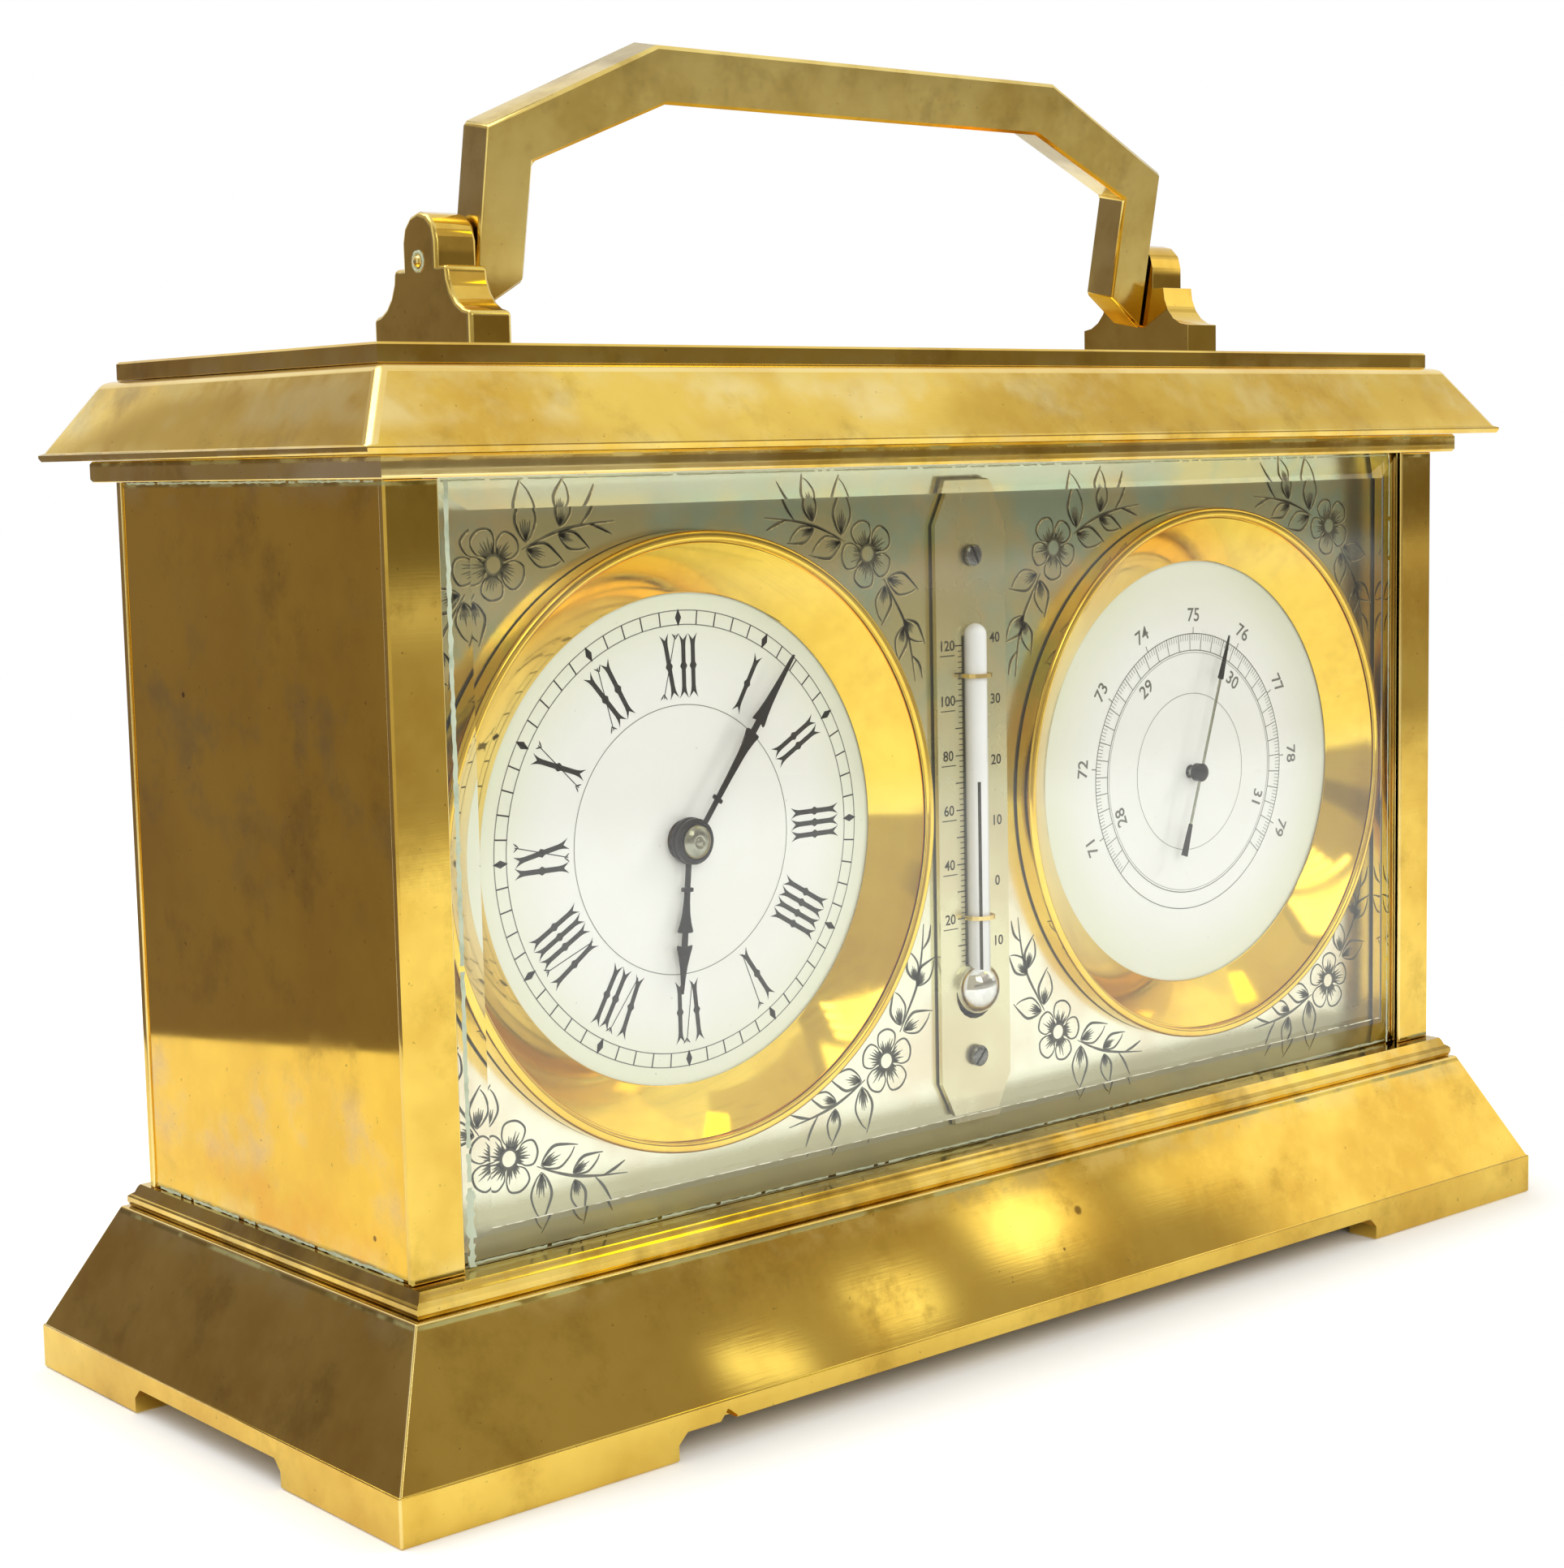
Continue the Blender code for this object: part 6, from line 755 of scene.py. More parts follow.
def thickStroke(bm, centre, turn, foot, head):
    # a bar with forked ends and a small knot in the middle, from foot to head, both (u, v)
    along = Vector((head[0] - foot[0], head[1] - foot[1]))
    length = along.length
    along.normalize()
    half, knot, prong, notch = numeral["half"], numeral["knot"], numeral["prong"], numeral["notch"]
    fork = [(0.0, prong), (0.40, prong * 0.74), (0.85, half * 1.22), (1.4, half)]
    swell = [(-0.40, half), (-0.16, knot * 0.85), (0.0, knot), (0.16, knot * 0.85), (0.40, half)]
    side = (fork + [(length / 2 + s, wide) for s, wide in swell]
            + [(length - s, wide) for s, wide in reversed(fork)])

    def at(s, wide):
        return onDial(centre, foot[0] + along.x * s + along.y * wide, foot[1] + along.y * s - along.x * wide,
                      levels["dial"], turn)
    rights = [at(s, wide) for s, wide in side]
    lefts = [at(s, -wide) for s, wide in side]
    for k in range(2, len(side) - 3):
        flatFace(bm, [lefts[k], rights[k], rights[k + 1], lefts[k + 1]])
    for tip, mid, base, valley in ((0, 1, 2, at(notch, 0)), (-1, -2, -3, at(length - notch, 0))):
        flatFace(bm, [valley, rights[tip], rights[mid], rights[base]])
        flatFace(bm, [valley, lefts[tip], lefts[mid], lefts[base]])
        flatFace(bm, [valley, rights[base], lefts[base]])


def hairStroke(bm, centre, turn, foot, head, ends):
    # a hairline; the ends that are given (-1 foot, 1 head) carry a small curled fork
    def place(u, v):
        return onDial(centre, u, v, levels["dial"], turn)
    strip(bm, [foot, head], [numeral["hair"]] * 2, place)
    for rise in ends:
        u, v = foot if rise < 0 else head
        for way in (-1, 1):
            strip(bm, [(u + way * 0.48, v + rise * 0.12), (u + way * 0.24, v - rise * 0.14),
                       (u, v - rise * 0.5)], [0.05, 0.18, 0.10], place)


def romanNumeral(bm, centre, text, turn):
    low, high, widths = numeral["inner"], numeral["outer"], numeral["widths"]
    u = -sum(widths[c] for c in text) / 2
    for letter in text:
        middle = u + widths[letter] / 2
        if letter == "I":
            thickStroke(bm, centre, turn, (middle, low), (middle, high))
        elif letter == "V":
            thickStroke(bm, centre, turn, (middle - 0.22, low), (middle - 0.95, high))
            hairStroke(bm, centre, turn, (middle + 0.0, low + 0.35), (middle + 0.95, high - 0.1), (1,))
        else:
            thickStroke(bm, centre, turn, (middle + 0.65, low), (middle - 0.75, high))
            hairStroke(bm, centre, turn, (middle - 0.90, low + 0.1), (middle + 0.90, high - 0.1), (-1, 1))
        u += widths[letter]


def dialCircles(dial, circles):
    bm = bmesh.new()
    for radius, wide in circles:
        annulus(bm, dialCentres[dial], radius - wide / 2, radius + wide / 2, levels["dial"])
    return bm


def clockDialMarks():
    bm = bmesh.new()
    for hour, text in enumerate("XII I II III IIII V VI VII VIII IX X XI".split()):
        romanNumeral(bm, dialCentres["clock"], text, math.tau * hour / 12)
    finishPiece("clock_numerals", bm, "case", (dialBlack,), soft=False)
    circles = dialCircles("clock", ((25.9, 0.12), (24.3, 0.12), (15.3, 0.09)))
    finishPiece("clock_dial_circles", circles, "case", (fineGrey,), soft=False)


clockDialMarks()


def newTree(label, sockets):
    # a tree with its named inputs, and the sockets by which they come in
    tree = bpy.data.node_groups.new(label, "GeometryNodeTree")
    tree.interface.new_socket("Marks", in_out="OUTPUT", socket_type="NodeSocketGeometry")
    for socket, kind in sockets.items():
        tree.interface.new_socket(socket, in_out="INPUT", socket_type="NodeSocket" + kind)
    return tree, addNode(tree, "NodeGroupInput").outputs


def closeTree(tree, placing, finish):
    # the marks on their points, made real and painted
    marks = addNode(tree, "GeometryNodeInstanceOnPoints", placing)
    marks = addNode(tree, "GeometryNodeRealizeInstances", {"Geometry": marks})
    marks = addNode(tree, "GeometryNodeSetMaterial", {"Geometry": marks, "Material": finish})
    addNode(tree, "NodeGroupOutput", {0: marks})
    return tree


def markTree():
    # equal marks along an arc: bars or lozenges, standing radially
    tree, given = newTree("Marks round a dial", {
        "Count": "Int", "First angle": "Float", "Step": "Float", "Radius": "Float", "Length": "Float",
        "Width": "Float", "Centre": "Vector", "Lozenge": "Bool", "Finish": "Material"})
    line = addNode(tree, "GeometryNodeMeshLine", {"Count": given["Count"]})
    index = addNode(tree, "GeometryNodeInputIndex")
    angle = addNode(tree, "ShaderNodeMath", {0: index, 1: given["Step"], 2: given["First angle"]},
                    operation="MULTIPLY_ADD")
    out = {}
    for axis, way in (("X", "SINE"), ("Z", "COSINE")):
        share = addNode(tree, "ShaderNodeMath", {0: angle}, operation=way)
        out[axis] = addNode(tree, "ShaderNodeMath", {0: share, 1: given["Radius"]}, operation="MULTIPLY")
    out = addNode(tree, "ShaderNodeCombineXYZ", out)
    out = addNode(tree, "ShaderNodeVectorMath", {0: out, 1: given["Centre"]}, operation="ADD")
    points = addNode(tree, "GeometryNodeSetPosition", {"Geometry": line, "Position": out})
    bar = addNode(tree, "GeometryNodeMeshGrid", {
        "Size X": given["Width"], "Size Y": given["Length"], "Vertices X": 2, "Vertices Y": 2})
    disc = addNode(tree, "GeometryNodeMeshCircle", {"Vertices": 4, "Radius": 0.5}, fill_type="NGON")
    size = addNode(tree, "ShaderNodeCombineXYZ", {"X": given["Width"], "Y": given["Length"], "Z": 1.0})
    disc = addNode(tree, "GeometryNodeTransform", {"Geometry": disc, "Scale": size})
    mark = addNode(tree, "GeometryNodeSwitch", {"Switch": given["Lozenge"], "False": bar, "True": disc},
                   input_type="GEOMETRY")
    turn = addNode(tree, "ShaderNodeCombineXYZ", {"X": math.pi / 2, "Y": angle})
    turn = addNode(tree, "FunctionNodeEulerToRotation", {0: turn})
    return closeTree(tree, {"Points": points, "Instance": mark, "Rotation": turn}, given["Finish"])


def rowTree():
    # equal marks one above another
    tree, given = newTree("Marks up a scale", {
        "Count": "Int", "Start": "Vector", "Rise": "Vector", "Length": "Float", "Width": "Float",
        "Finish": "Material"})
    line = addNode(tree, "GeometryNodeMeshLine", {
        "Count": given["Count"], "Start Location": given["Start"], "Offset": given["Rise"]})
    bar = addNode(tree, "GeometryNodeMeshGrid", {
        "Size X": given["Length"], "Size Y": given["Width"], "Vertices X": 2, "Vertices Y": 2})
    bar = addNode(tree, "GeometryNodeTransform", {"Geometry": bar, "Rotation": (math.pi / 2, 0, 0)})
    return closeTree(tree, {"Points": line, "Instance": bar}, given["Finish"])


def fromTree(name, tree, values, body):
    piece = addObject(name, bpy.data.meshes.new(name))
    modifier = piece.modifiers.new("built by nodes", "NODES")
    modifier.node_group = tree
    for item in tree.interface.items_tree:
        if item.in_out == "INPUT":
            modifier[item.identifier] = values[item.name]
    made = evaluatedMesh(piece)
    piece.modifiers.clear()
    made.name = name
    piece.data = made
    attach(piece, body)


dialTree, scaleTree = markTree(), rowTree()


def dialMarks(name, dial, count, first, step, radius, length, wide, finish, lozenge=False):
    x, z = dialCentres[dial]
    fromTree(name, dialTree, {
        "Count": count, "First angle": math.radians(first), "Step": math.radians(step), "Radius": radius * mm,
        "Length": length * mm, "Width": wide * mm, "Centre": (x * mm, (levels["dial"] - proud) * mm, z * mm),
        "Lozenge": lozenge, "Finish": finish}, "case")

# degrees to an inch of mercury, the pressure that stands at the top, where the row starts and how long it is;
# in mm the size of the numbers and the (radius, width) of the circles; numbers: values, to an inch, radius
barometerScale = {"inch": 73.0, "top": 29.5, "first": -131.4, "inches": 3.6, "cm": 2.54, "size": 2.5,
                  "circles": ((18.3, 0.12), (16.1, 0.12), (15.8, 0.06), (10.4, 0.07)),
                  "numbers": ((range(28, 32), 1, 14.3), (range(71, 80), 2.54, 20.7))}
inch, inches, first = (barometerScale[key] for key in ("inch", "inches", "first"))

dialMarks("clock_minutes", "clock", 60, 0, 6, 25.1, 1.6, 0.17, dialBlack)
dialMarks("clock_lozenges", "clock", 12, 0, 30, 25.1, 2.0, 0.88, dialBlack, True)
dialMarks("barometer_divisions", "barometer", round(inches * 50) + 1, first, inch / 50, 17.85, 0.9, 0.07,
          fineGrey)
dialMarks("barometer_tenths", "barometer", round(inches * 10) + 1, first, inch / 10, 17.2, 2.2, 0.11,
          fineGrey)
dialMarks("barometer_centimetres", "barometer", 9, (71 / barometerScale["cm"] - barometerScale["top"]) * inch,
          inch / barometerScale["cm"], 18.75, 0.8, 0.13, fineGrey)

thermometerScale = {
    "left": {"zero": 43.25, "each": 0.3335, "numbers": range(20, 121, 20), "x": -4.15},
    "right": {"zero": 53.9, "each": 0.750, "numbers": range(-10, 41, 10), "x": 3.95},
    "size": 1.75,
}  # a number on the scale stands at zero + each * number, in mm
scaleRows = {
    "scale_left_fine": ("left", 4, 2, 59, 0, -1.95, 0.75, 0.11),
    "scale_left_tens": ("left", 10, 10, 12, 0, -2.25, 1.35, 0.14),
    "scale_left_lines": ("left", 20, 20, 6, 1.15, -4.1, 2.4, 0.12),
    "scale_right_fine": ("right", -10, 2, 26, 0, 1.85, 0.55, 0.11),
    "scale_right_fives": ("right", -10, 5, 11, 0, 2.05, 0.95, 0.14),
}  # side, first number, step and count of the marks, then in mm how far they hang below, x, length and width

for name, (side, first, step, count, below, x, length, wide) in scaleRows.items():
    zero, each = thermometerScale[side]["zero"], thermometerScale[side]["each"]
    fromTree(name, scaleTree, {
        "Count": count, "Start": (x * mm, (levels["scale"] - proud) * mm, (zero + first * each - below) * mm),
        "Rise": (0, 0, step * each * mm), "Length": length * mm, "Width": wide * mm, "Finish": scaleBlack},
        "case")


def numberMesh(bm, number, size, place):
    curve = bpy.data.curves.new("number", "FONT")
    curve.body, curve.size = str(number), size * mm
    curve.align_x, curve.align_y = "CENTER", "CENTER"
    curve.resolution_u, curve.offset = 3, 0.012 * size * mm
    maker = addObject("number", curve)
    mesh = evaluatedMesh(maker)
    mesh.transform(place @ Matrix.Rotation(math.pi / 2, 4, "X"))
    bm.from_mesh(mesh)
    bpy.data.objects.remove(maker)
    bpy.data.meshes.remove(mesh)


def numbers():
    bm = bmesh.new()
    for side in ("left", "right"):
        look = thermometerScale[side]
        for value in look["numbers"]:
            place = Vector((look["x"], levels["scale"] - proud, look["zero"] + look["each"] * value)) * mm
            numberMesh(bm, abs(value), thermometerScale["size"], Matrix.Translation(place))
    finishPiece("thermometer_numbers", bm, "case", (scaleBlack,), soft=False)
    bm = bmesh.new()
    x, z = dialCentres["barometer"]
    middle = Matrix.Translation(Vector((x, levels["dial"] - proud, z)) * mm)
    for values, unit, radius in barometerScale["numbers"]:
        for value in values:
            turn = Matrix.Rotation(math.radians((value / unit - barometerScale["top"]) * inch), 4, "Y")
            numberMesh(bm, value, barometerScale["size"],
                       middle @ turn @ Matrix.Translation(Vector((0, 0, radius)) * mm))
    finishPiece("barometer_numbers", bm, "case", (fineGrey,), soft=False)
    circles = dialCircles("barometer", barometerScale["circles"])
    finishPiece("barometer_circles", circles, "case", (fineGrey,), soft=False)


numbers()
print("dials marked")

# Engraved sprays on the silvered plate: a five-petalled flower with leaves to both sides, in each corner

# mm, and for each dial the four corners as angles clockwise from the top
spray = {"flower": 4.0, "eye": 0.95, "flowerRadius": 41.3, "line": 0.20, "heavy": 0.36, "seed": 5,
         "corners": {"clock": (-140, -39, 41, 136), "barometer": (-138, -42, 40, 140)}}


def curved(points, steps):
    # a smooth line through points
    made = []
    for k in range(len(points) - 1):
        a, b = points[max(k - 1, 0)], points[k]
        c, d = points[k + 1], points[min(k + 2, len(points) - 1)]
        for s in range(steps):
            t = s / steps
            made.append(tuple(0.5 * (
                2 * b[i] + (c[i] - a[i]) * t + (2 * a[i] - 5 * b[i] + 4 * c[i] - d[i]) * t * t
                + (3 * b[i] - a[i] - 3 * c[i] + d[i]) * t ** 3) for i in (0, 1)))
    return made + [points[-1]]


def engrave(cuts, points, thin, thick, toPlace, steps=6):
    # the cut itself, and beside it a pale strip: a painted highlight on the wall of the cut
    line = curved(points, steps)
    last = len(line) - 1
    widths = [thin + (thick - thin) * math.sin(math.pi * k / last) ** 1.3 for k in range(last + 1)]
    strip(cuts["dark"], line, widths, toPlace)
    if cuts["bright"]:
        beside = [(u + 0.14, v - 0.14) for u, v in line]
        strip(cuts["bright"], beside, [w * 0.55 for w in widths], toPlace)


def leaf(cuts, base, tip, wide, toPlace, rng):
    # two bowed sides that meet in a drawn-out tip, shaded with short cuts from the stalk
    base, tip = Vector(base), Vector(tip)
    along = tip - base
    across = Vector((-along.y, along.x)).normalized()
    for side, heavy in ((1, spray["heavy"]), (-1, spray["line"] * 1.3)):
        middle = base + along * 0.45 + across * side * wide * 0.62
        shoulder = base + along * 0.78 + across * side * wide * 0.34
        near = base + along * 0.15 + across * side * wide * 0.34
        end = tip + along.normalized() * 0.25 * side
        engrave(cuts, [tuple(base), tuple(near), tuple(middle), tuple(shoulder), tuple(end)], 0.10, heavy,
                toPlace)
    for k in range(5):
        sweep = (k - 2) / 2
        reach = (0.52 - 0.12 * abs(sweep)) * (0.85 + 0.3 * rng.random())
        start = base + along * 0.04
        middle = base + along * reach * 0.55 + across * sweep * wide * 0.22
        end = base + along * reach + across * sweep * wide * 0.30
        strip(cuts["dark"], [tuple(start), tuple(middle), tuple(end)], [0.24, 0.28, 0.03], toPlace)


def flower(cuts, middle, turn, toPlace, rng):
    reach, eye = spray["flower"], spray["eye"]

    def spot(r, degrees):
        a = math.radians(turn + degrees)
        return middle[0] + r * math.sin(a), middle[1] + r * math.cos(a)
    ring = [spot(eye + 0.10, 12 * k) for k in range(31)]
    strip(cuts["dark"], ring, [0.32] * len(ring), toPlace)
    for petal in range(5):
        a = 72 * petal
        size = reach * (0.94 + 0.1 * rng.random())
        loop = [spot(eye + 0.35, a - 20), spot(size * 0.62, a - 33), spot(size * 0.93, a - 21),
                spot(size, a + 1), spot(size * 0.90, a + 22), spot(size * 0.60, a + 32),
                spot(eye + 0.4, a + 19)]
        engrave(cuts, loop, 0.12, 0.26, toPlace)
        for k in range(7):
            lean = a - 27 + 9 * k + 4 * rng.random()
            length = (0.9 + 1.0 * rng.random()) * (1.15 - abs(k - 3) * 0.14)
            strip(cuts["dark"], [spot(eye + 0.2, lean), spot(eye + 0.3 + length * 0.5, lean + 1),
                                 spot(eye + 0.3 + length, lean + 2)], [0.32, 0.22, 0.03], toPlace)


def spraySet(cuts, centre, corner, mirrored, rng):
    # everything is laid out by angle from the flower and distance from the dial's centre
    side = -1 if mirrored else 1

    def polar(t, r):
        a = math.radians(corner + side * t)
        return r * math.sin(a), r * math.cos(a)

    def toPlace(u, v):
        return onDial(centre, u, v, levels["plate"])
    flower(cuts, polar(0, spray["flowerRadius"]), corner + 10, toPlace, rng)
    thin, heavy = spray["line"] / 2, spray["heavy"]
    for points, thick in (
            ([(5.3, 40.3), (9, 39.9), (13, 39.4), (17.5, 38.6), (23.5, 37.6)], heavy),
            ([(17.0, 38.8), (19.3, 39.6), (21.6, 41.0)], heavy),
            ([(18.6, 38.4), (20.4, 37.5), (22.4, 36.3)], heavy),
            ([(-5.4, 40.8), (-9, 40.4), (-14, 40.0), (-19, 39.0), (-24.5, 37.8)], heavy),
            ([(-20.0, 38.8), (-22.2, 39.3), (-24.8, 39.0)], heavy)):
        engrave(cuts, [polar(t, r) for t, r in points], thin, thick, toPlace)
    for base, tip, wide in (
            ((6.0, 40.0), (11.0, 36.3), 2.1), ((6.6, 40.6), (10.2, 45.4), 2.2),
            ((12.4, 39.2), (16.8, 36.1), 1.5), ((13.2, 39.8), (16.8, 43.0), 1.6),
            ((-6.0, 41.2), (-11.6, 43.9), 2.1), ((-6.4, 40.4), (-10.8, 37.0), 2.0),
            ((-13.8, 40.0), (-19.6, 41.2), 1.7), ((-14.6, 39.6), (-18.8, 36.6), 1.5)):
        leaf(cuts, polar(*base), polar(*tip), wide, toPlace, rng)


def engraving():
    rng = random.Random(spray["seed"])
    # worn takes the upper cuts, whose fill is painted lighter as if lit; bright takes the painted highlights
    # beside them
    dark, worn, bright = bmesh.new(), bmesh.new(), bmesh.new()
    for name, corners in spray["corners"].items():
        for k, corner in enumerate(corners):
            upper = abs(corner) < 90  # there the plate is dark; the cuts get a fill painted lighter and a painted highlight beside them
            spraySet({"dark": worn if upper else dark, "bright": bright if upper else None},
                     dialCentres[name], corner, k % 2 == 0, rng)
    finishPiece("engraved_sprays", dark, "case", (engravedWax,), soft=False)
    finishPiece("engraved_sprays_worn", worn, "case", (litEngravingFill,), soft=False)
    finishPiece("engraved_painted_highlights", bright, "case", (paintedEngravingHighlight,), soft=False)


engraving()
print("plate engraved")

# Putty, verdigris and polish dust that has caught along the edges of the glass, and a pale line down each
# side of the bevel that is partly crumbs and partly painted highlight

# mm; step: between the breaks of a ragged line
dustLook = {"seed": 11, "step": 0.6, "side": -85.33, "back": 26.0}


def raggedLine(bm, start, end, across, thin, thick, gaps, rng):
    # a broken line of crumbs from start to end; across points over its width
    start, end, across = Vector(start), Vector(end), Vector(across)
    count = int((end - start).length / dustLook["step"])
    last = None
    for k in range(count + 1):
        middle = start.lerp(end, k / count)
        low, high = rng.uniform(thin, thick) / 2, rng.uniform(thin, thick) / 2
        pair = [bm.verts.new((middle - across * low) * mm), bm.verts.new((middle + across * high) * mm)]
        if last and rng.random() > gaps:
            face = bm.faces.new((last[0], pair[0], pair[1], last[1]))
            face.normal_update()
            if face.normal.x + face.normal.y > 0:
                face.normal_flip()
            last = pair
        else:
            last = [bm.verts.new(v.co) for v in pair]


def glassDust():
    rng = random.Random(dustLook["seed"])
    front, edge = glassLook["front"] - 0.02, glassLook["front"] + glassLook["bevelDepth"]
    (x0, z0), (x1, z1) = glassLook["low"], glassLook["high"]
    u0, w0 = glassLook["flatLow"]
    u1 = glassLook["flatHigh"][0]
    bm = bmesh.new()
    raggedLine(bm, (u0, front, w0 + 0.05), (u1, front, w0 + 0.05), (0, 0, 1), 0.02, 0.20, 0.25, rng)
    finishPiece("dust_on_glass", bm, "case", (polishDust,), soft=False)
    bm = bmesh.new()
    # the bevel comes forward towards the flat, by this much to a millimetre at the sides and at the foot
    lean, foot = glassLook["bevelDepth"] / (u0 - x0), glassLook["bevelDepth"] / (w0 - z0)
    # down each side of the bevel a pale, nearly unbroken line: verdigris crumbs and a painted highlight of
    # the glass edge
    for x, wide, way in ((x0 + 2.8, 0.62, -1), (x1 - 2.75, 0.30, 1)):
        y, across = edge - 2.75 * lean - 0.04, (1, way * lean, 0)
        raggedLine(bm, (x, y, z0 + 0.3), (x, y, z1 - 0.2), across, wide * 0.5, wide, 0.03, rng)
        raggedLine(bm, (x, y - 0.02, z0 + 0.2), (x, y - 0.02, z0 + 9), across, wide * 0.6, wide * 2.2, 0.1,
                   rng)
    for z, inward, way, thin, thick, gaps in ((z0 + 0.35, 0.35, -1, 0.12, 0.42, 0.06),
                                              (z1 - 0.3, 0.30, 1, 0.10, 0.26, 0.10)):
        y = edge - inward * foot - 0.03
        raggedLine(bm, (x0 + 2.6, y, z), (x1 - 2.6, y, z), (0, way * foot, 1), thin, thick, gaps, rng)
    side, back = dustLook["side"], dustLook["back"]
    for z, low, high in ((22.62, 0.16, 0.5), (104.88, 0.08, 0.34)):
        raggedLine(bm, (side, back, z), (side, -back, z), (0, 0, 1), low, high, 0.06, rng)
    finishPiece("putty_and_painted_edge_light_round_glass", bm, "case", (verdigris,), soft=False)


glassDust()

# Slotted screws of the thermometer

# mm, and degrees for the turns of the slots
screwLook = {"radius": 1.3, "front": -24.0, "back": -23.4, "slot": 0.34, "depth": 0.32,
             "heights": (32.6, 94.1), "turns": (-48, 62)}


def slottedScrews():
    r, front, back = screwLook["radius"], screwLook["front"], screwLook["back"]
    profile = [(0, front)] + [(r * 0.82 * k / 4, front + 0.05 * (k / 4) ** 2) for k in range(1, 5)]
    profile += [(r, front + 0.22), (r, back), (0, back)]
    bm = bmesh.new()
    for height, turn in zip(screwLook["heights"], screwLook["turns"]):
        head = cutWith(turnedMesh(profile, (0, height), "Y", 40), (0, front, height), turn,
                       (r * 3, screwLook["depth"] * 2, screwLook["slot"]))
        bm.from_mesh(meshOf("head", head))
    finishPiece("thermometer_screws.slotted", bm, "case", (screwSteel,),
                ("thermometer_screw_lower", "thermometer_screw_upper"), sharp=35)


slottedScrews()

# Studio: pale floor that fades into white, soft lamps, and boards that only the metal sees

# metres; clear and gone: where the paper starts to fade and has faded; lift and seen: its own light in what
# mirrors it and for the camera, which dies away within shade of the base, so the floor close to the base is
# darker: painted shade
floorLook = {"colour": "#F2F2F0", "radius": 0.8, "clear": 0.34, "gone": 0.75, "lift": 0.24, "seen": 0.40,
             "base": (0.088, 0.032, 0), "shade": 0.022}


def floorPiece():
    material, tree, shader, place = newMaterial("white table paper")
    rays = addNode(tree, "ShaderNodeLightPath").outputs
    away = addNode(tree, "ShaderNodeVectorMath", {0: place}, operation="LENGTH").outputs["Value"]
    gone = addNode(tree, "ShaderNodeMapRange", {
        "Value": away, "From Min": floorLook["clear"], "From Max": floorLook["gone"]},
        interpolation_type="SMOOTHSTEP")
    seen = addNode(tree, "ShaderNodeMath", {0: rays["Is Glossy Ray"], 1: floorLook["lift"]},
                   operation="MULTIPLY")
    seen = addNode(tree, "ShaderNodeMath", {0: rays["Is Camera Ray"], 1: floorLook["seen"], 2: seen},
                   operation="MULTIPLY_ADD")
    # the floor's own light fades out within shade of the base: painted shade round the base
    beside = addNode(tree, "ShaderNodeVectorMath", {0: place}, operation="ABSOLUTE")
    beside = addNode(tree, "ShaderNodeVectorMath", {0: beside, 1: floorLook["base"]}, operation="SUBTRACT")
    beside = addNode(tree, "ShaderNodeVectorMath", {0: beside, 1: (0, 0, 0)}, operation="MAXIMUM")
    beside = addNode(tree, "ShaderNodeVectorMath", {0: beside}, operation="LENGTH").outputs["Value"]
    lift = addNode(tree, "ShaderNodeMapRange", {"Value": beside, "From Max": floorLook["shade"]},
                   interpolation_type="SMOOTHSTEP")
    lift = addNode(tree, "ShaderNodeMath", {0: seen, 1: lift}, operation="MULTIPLY")
    feed(tree, shader, {
        "Base Color": linear(floorLook["colour"]), "Roughness": 0.7, "Specular IOR Level": 0.2,
        "Emission Color": linear("#FFFFFF"), "Emission Strength": lift})
    clear = addNode(tree, "ShaderNodeBsdfTransparent")
    blend = addNode(tree, "ShaderNodeMixShader", {0: gone, 1: shader, 2: clear})
    feed(tree, tree.nodes["Material Output"], {"Surface": blend})
    bm = bmesh.new()
    bmesh.ops.create_circle(bm, cap_ends=True, segments=96, radius=floorLook["radius"])
    floor = addObject("floor", meshOf("floor", bm))
    floor.data.materials.append(material)


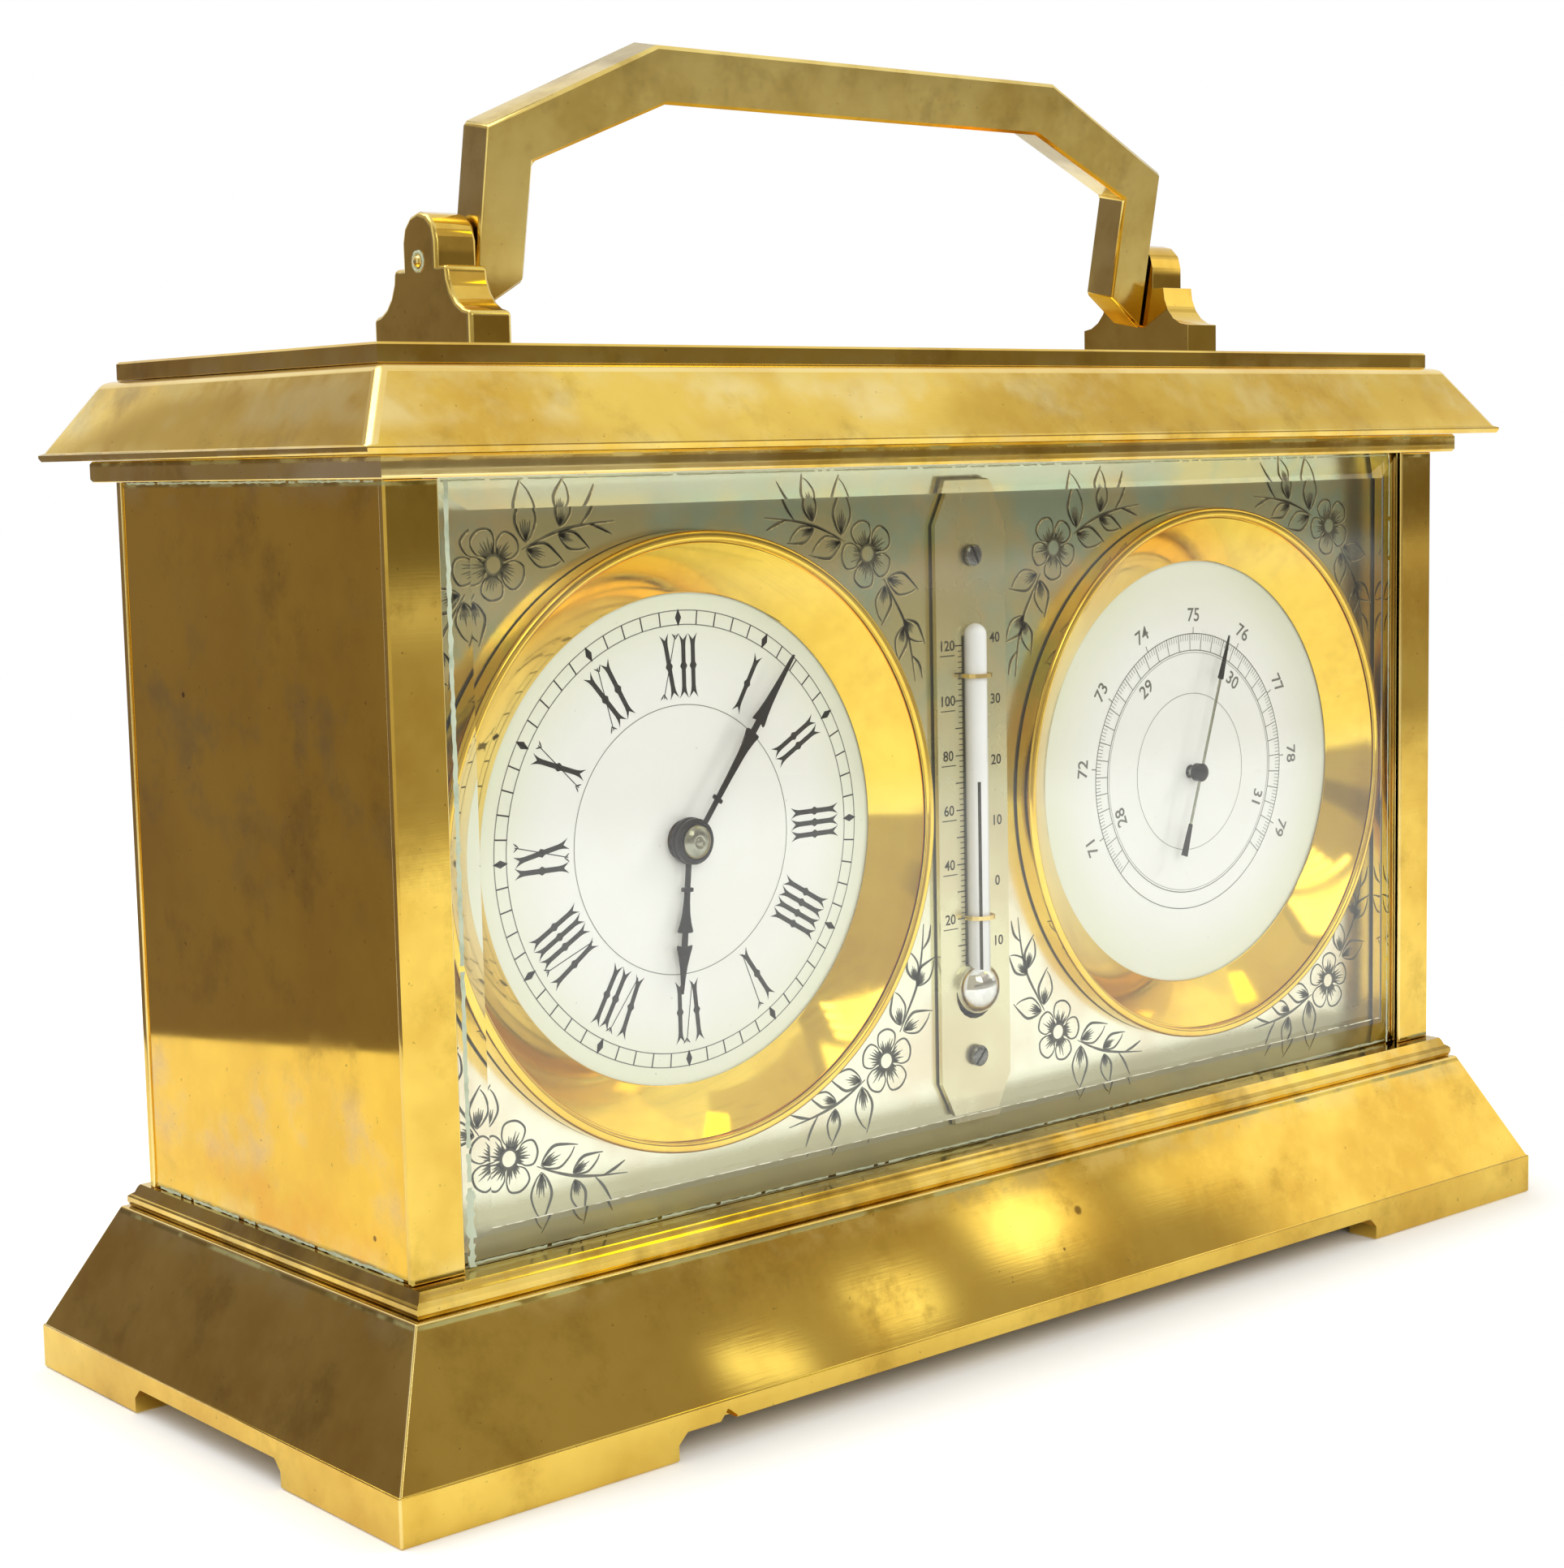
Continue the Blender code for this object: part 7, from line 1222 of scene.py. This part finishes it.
# each board: x and y of its two upright ends and its lowest and highest z in metres, its colour, how
# strongly it shows, how much of its width and height is feathered, and the lowest and highest z of the
# second end of a slanted one
boards = {
    "dark room behind the table": (-0.135, 0.295, -0.285, -0.01, -0.002, 0.200, "#857C86", 1, 0.03, 0.006),
    "grey wall of that room": (-0.14, 0.305, -0.295, -0.01, 0.195, 0.46, "#C0B8AE", 1, 0.03, 0.06),
    "table cloth": (-0.20, -0.38, 1.30, -0.38, -0.002, 0.078, "#B4ADA2", 1, 0.05, 0.25),
    "far edge of the table": (-0.20, -0.385, 1.30, -0.385, 0.066, 0.125, "#7E766A", 1, 0.05, 0.25),
    "low shelf": (0.02, -1.00, 0.93, -0.60, 0.08, 0.31, "#80766A", 1, 0.05, 0.15),
    "brown shelf": (0.02, -1.01, 0.66, -0.79, 0.27, 0.60, "#A29890", 1, 0.08, 0.06),
    "beige wall": (0.60, -0.82, 0.85, -0.66, 0.27, 0.60, "#B4ABA0", 1, 0.15, 0.06),
    "high wall": (0.02, -1.02, 0.82, -0.69, 0.57, 1.12, "#D6CCBC", 1, 0.06, 0.05),
    "pale wall": (0.815, -0.690, 1.25, -0.30, 0.27, 0.86, "#FFFBF0", 1.4, 0.10, 0.08),
    "upper wall": (0.92, -0.42, 1.20, -0.10, 0.86, 1.12, "#E6E2D6", 1, 0.20, 0.20, 0.60, 1.00),
    "window 1": (0.560, -0.771, 0.604, -0.743, 0.404, 0.440, "#FFFFF2", 1.6, 0.35, 0.40, 0.374, 0.408),
    "window 2": (0.616, -0.735, 0.664, -0.705, 0.384, 0.430, "#FFFFF2", 1.7, 0.35, 0.40, 0.364, 0.410),
    "window 3": (0.676, -0.698, 0.734, -0.660, 0.374, 0.440, "#FFFFF2", 2.1, 0.35, 0.35, 0.356, 0.414),
    "window 4": (0.744, -0.655, 0.800, -0.619, 0.362, 0.406, "#FFFFF2", 1.7, 0.30, 0.35, 0.340, 0.384),
    "yellow lamp": (0.742, -0.636, 0.652, -0.738, 0.700, 0.900, "#FFFF50", 3.0, 0.12, 0.10, 0.720, 0.920),
    "high pane": (0.450, -0.920, 0.370, -0.955, 0.84, 0.98, "#FFFFF2", 3.0, 0.25, 0.30),
    "room behind the camera": (-0.45, -0.238, 0.25, -0.888, -0.002, 0.70, "#B8B09A", 1, 0.03, 0.01),
    "pane 1": (-0.116, -0.536, -0.098, -0.552, 0.29, 0.52, "#FFFFEA", 4.0, 0.10, 0.08),
    "pane 2": (-0.090, -0.560, -0.072, -0.576, 0.29, 0.52, "#FFFFEA", 4.0, 0.10, 0.08),
    "pane 3": (-0.064, -0.584, -0.046, -0.600, 0.29, 0.52, "#FFFFEA", 4.0, 0.10, 0.08),
    "pane 4": (-0.038, -0.608, -0.020, -0.624, 0.24, 0.52, "#FFFFEA", 4.0, 0.10, 0.08),
    "wide pane": (-0.010, -0.634, 0.200, -0.829, 0.24, 0.62, "#FFFFEA", 2.4, 0.20, 0.12),
}


def addBoard(name, x0, y0, x1, y1, low, high, hexColour, strength, wideFeather, highFeather, *slant):
    material, tree, shader, place = newMaterial(name, "UV")
    tree.nodes.remove(shader)
    edges = addNode(tree, "ShaderNodeSeparateXYZ", {0: place}).outputs
    # a board only shows in what mirrors it, and lights nothing
    depth = addNode(tree, "ShaderNodeLightPath").outputs["Diffuse Depth"]
    share = addNode(tree, "ShaderNodeMath", {0: depth, 1: 0.5}, operation="LESS_THAN")
    for axis, feather in (("X", wideFeather), ("Y", highFeather)):
        far = addNode(tree, "ShaderNodeMath", {0: edges[axis], 1: 0.5}, operation="SUBTRACT")
        far = addNode(tree, "ShaderNodeMath", {0: far}, operation="ABSOLUTE")
        inside = addNode(tree, "ShaderNodeMapRange", {
            "Value": far, "From Min": 0.5 - feather, "From Max": 0.5, "To Min": 1.0, "To Max": 0.0},
            interpolation_type="SMOOTHSTEP")
        share = addNode(tree, "ShaderNodeMath", {0: share, 1: inside}, operation="MULTIPLY")
    glow = addNode(tree, "ShaderNodeEmission", {"Color": linear(hexColour), "Strength": strength})
    clear = addNode(tree, "ShaderNodeBsdfTransparent")
    blend = addNode(tree, "ShaderNodeMixShader", {0: share, 1: clear, 2: glow})
    feed(tree, tree.nodes["Material Output"], {"Surface": blend})
    low1, high1 = slant or (low, high)
    mesh = bpy.data.meshes.new(name)
    mesh.from_pydata([(x0, y0, low), (x1, y1, low1), (x1, y1, high1), (x0, y0, high)], [], [(0, 1, 2, 3)])
    for corner, spot in zip(mesh.uv_layers.new(name="UVMap").data, ((0, 0), (1, 0), (1, 1), (0, 1))):
        corner.uv = spot
    mesh.materials.append(material)
    card = addObject(name, mesh)
    for ray in ("camera", "diffuse", "volume_scatter", "shadow"):
        setattr(card, "visible_" + ray, False)


# each lamp: its place and target in metres, its size, watts and colour, and whether metal mirrors it
lamps = {
    "key": ((-0.35, 0.25, 0.95), (0, 0, 0.05), 0.7, 4.0, "#FFFFFF", True),
    "window": ((0.75, -0.45, 0.60), (0, 0, 0.05), 0.28, 2.0, "#FFFDF4", False),
    "fill": ((-0.45, -1.05, 0.50), (0, 0, 0.06), 0.9, 6.5, "#FFFFFF", False),
}


def addLamp(name, place, target, size, power, hexColour, mirrored):
    data = bpy.data.lights.new(name, "AREA")
    data.shape, data.size, data.energy = "SQUARE", size, power
    data.color = linear(hexColour)[:3]
    light = addObject(name, data)
    light.location = place
    light.rotation_euler = (Vector(target) - Vector(place)).to_track_quat("-Z", "Y").to_euler()
    light.visible_camera = False
    light.visible_glossy = light.visible_transmission = mirrored


def surroundings():
    world = bpy.data.worlds.new("white studio")
    bpy.context.scene.world = world
    world.use_nodes = True
    tree = world.node_tree
    rays = addNode(tree, "ShaderNodeLightPath").outputs
    seen = addNode(tree, "ShaderNodeMath", {0: rays["Is Camera Ray"], 1: rays["Is Glossy Ray"]},
                   operation="MAXIMUM")
    seen = addNode(tree, "ShaderNodeMath", {0: seen, 1: rays["Is Transmission Ray"]}, operation="MAXIMUM")
    strength = addNode(tree, "ShaderNodeMapRange", {"Value": seen, "To Min": 0.60, "To Max": 1.0})
    feed(tree, tree.nodes["Background"], {"Strength": strength, "Color": linear("#FFFFFF")})
    floorPiece()
    for name, look in boards.items():
        addBoard(name, *look)
    for name, look in lamps.items():
        addLamp(name, *look)


surroundings()

# Camera at the photograph's place

# the photograph's camera: its place in metres, its angles in radians, its lens in mm
cameraLook = {"place": (-0.236522, -0.264844, 0.106845), "azimuth": -0.7071, "elevation": 0.1185,
              "roll": -0.0211, "lens": 36 * 3428.02 / 1932, "sensor": 36}


def addCamera():
    a, e, roll = cameraLook["azimuth"], cameraLook["elevation"], cameraLook["roll"]
    back = Vector((math.sin(a) * math.cos(e), -math.cos(a) * math.cos(e), math.sin(e)))
    right = Vector((math.cos(a), math.sin(a), 0))
    up = back.cross(right)
    right, up = (math.cos(roll) * right + math.sin(roll) * up, -math.sin(roll) * right + math.cos(roll) * up)
    data = bpy.data.cameras.new("camera")
    data.sensor_width, data.lens = cameraLook["sensor"], cameraLook["lens"]
    data.clip_start, data.clip_end = 0.01, 20
    camera = addObject("camera", data)
    turn = Matrix((right, up, back)).transposed().to_4x4()
    camera.matrix_world = Matrix.Translation(cameraLook["place"]) @ turn
    bpy.context.scene.camera = camera


addCamera()
bpy.context.scene.view_settings.view_transform = "Standard"
print("studio ready")
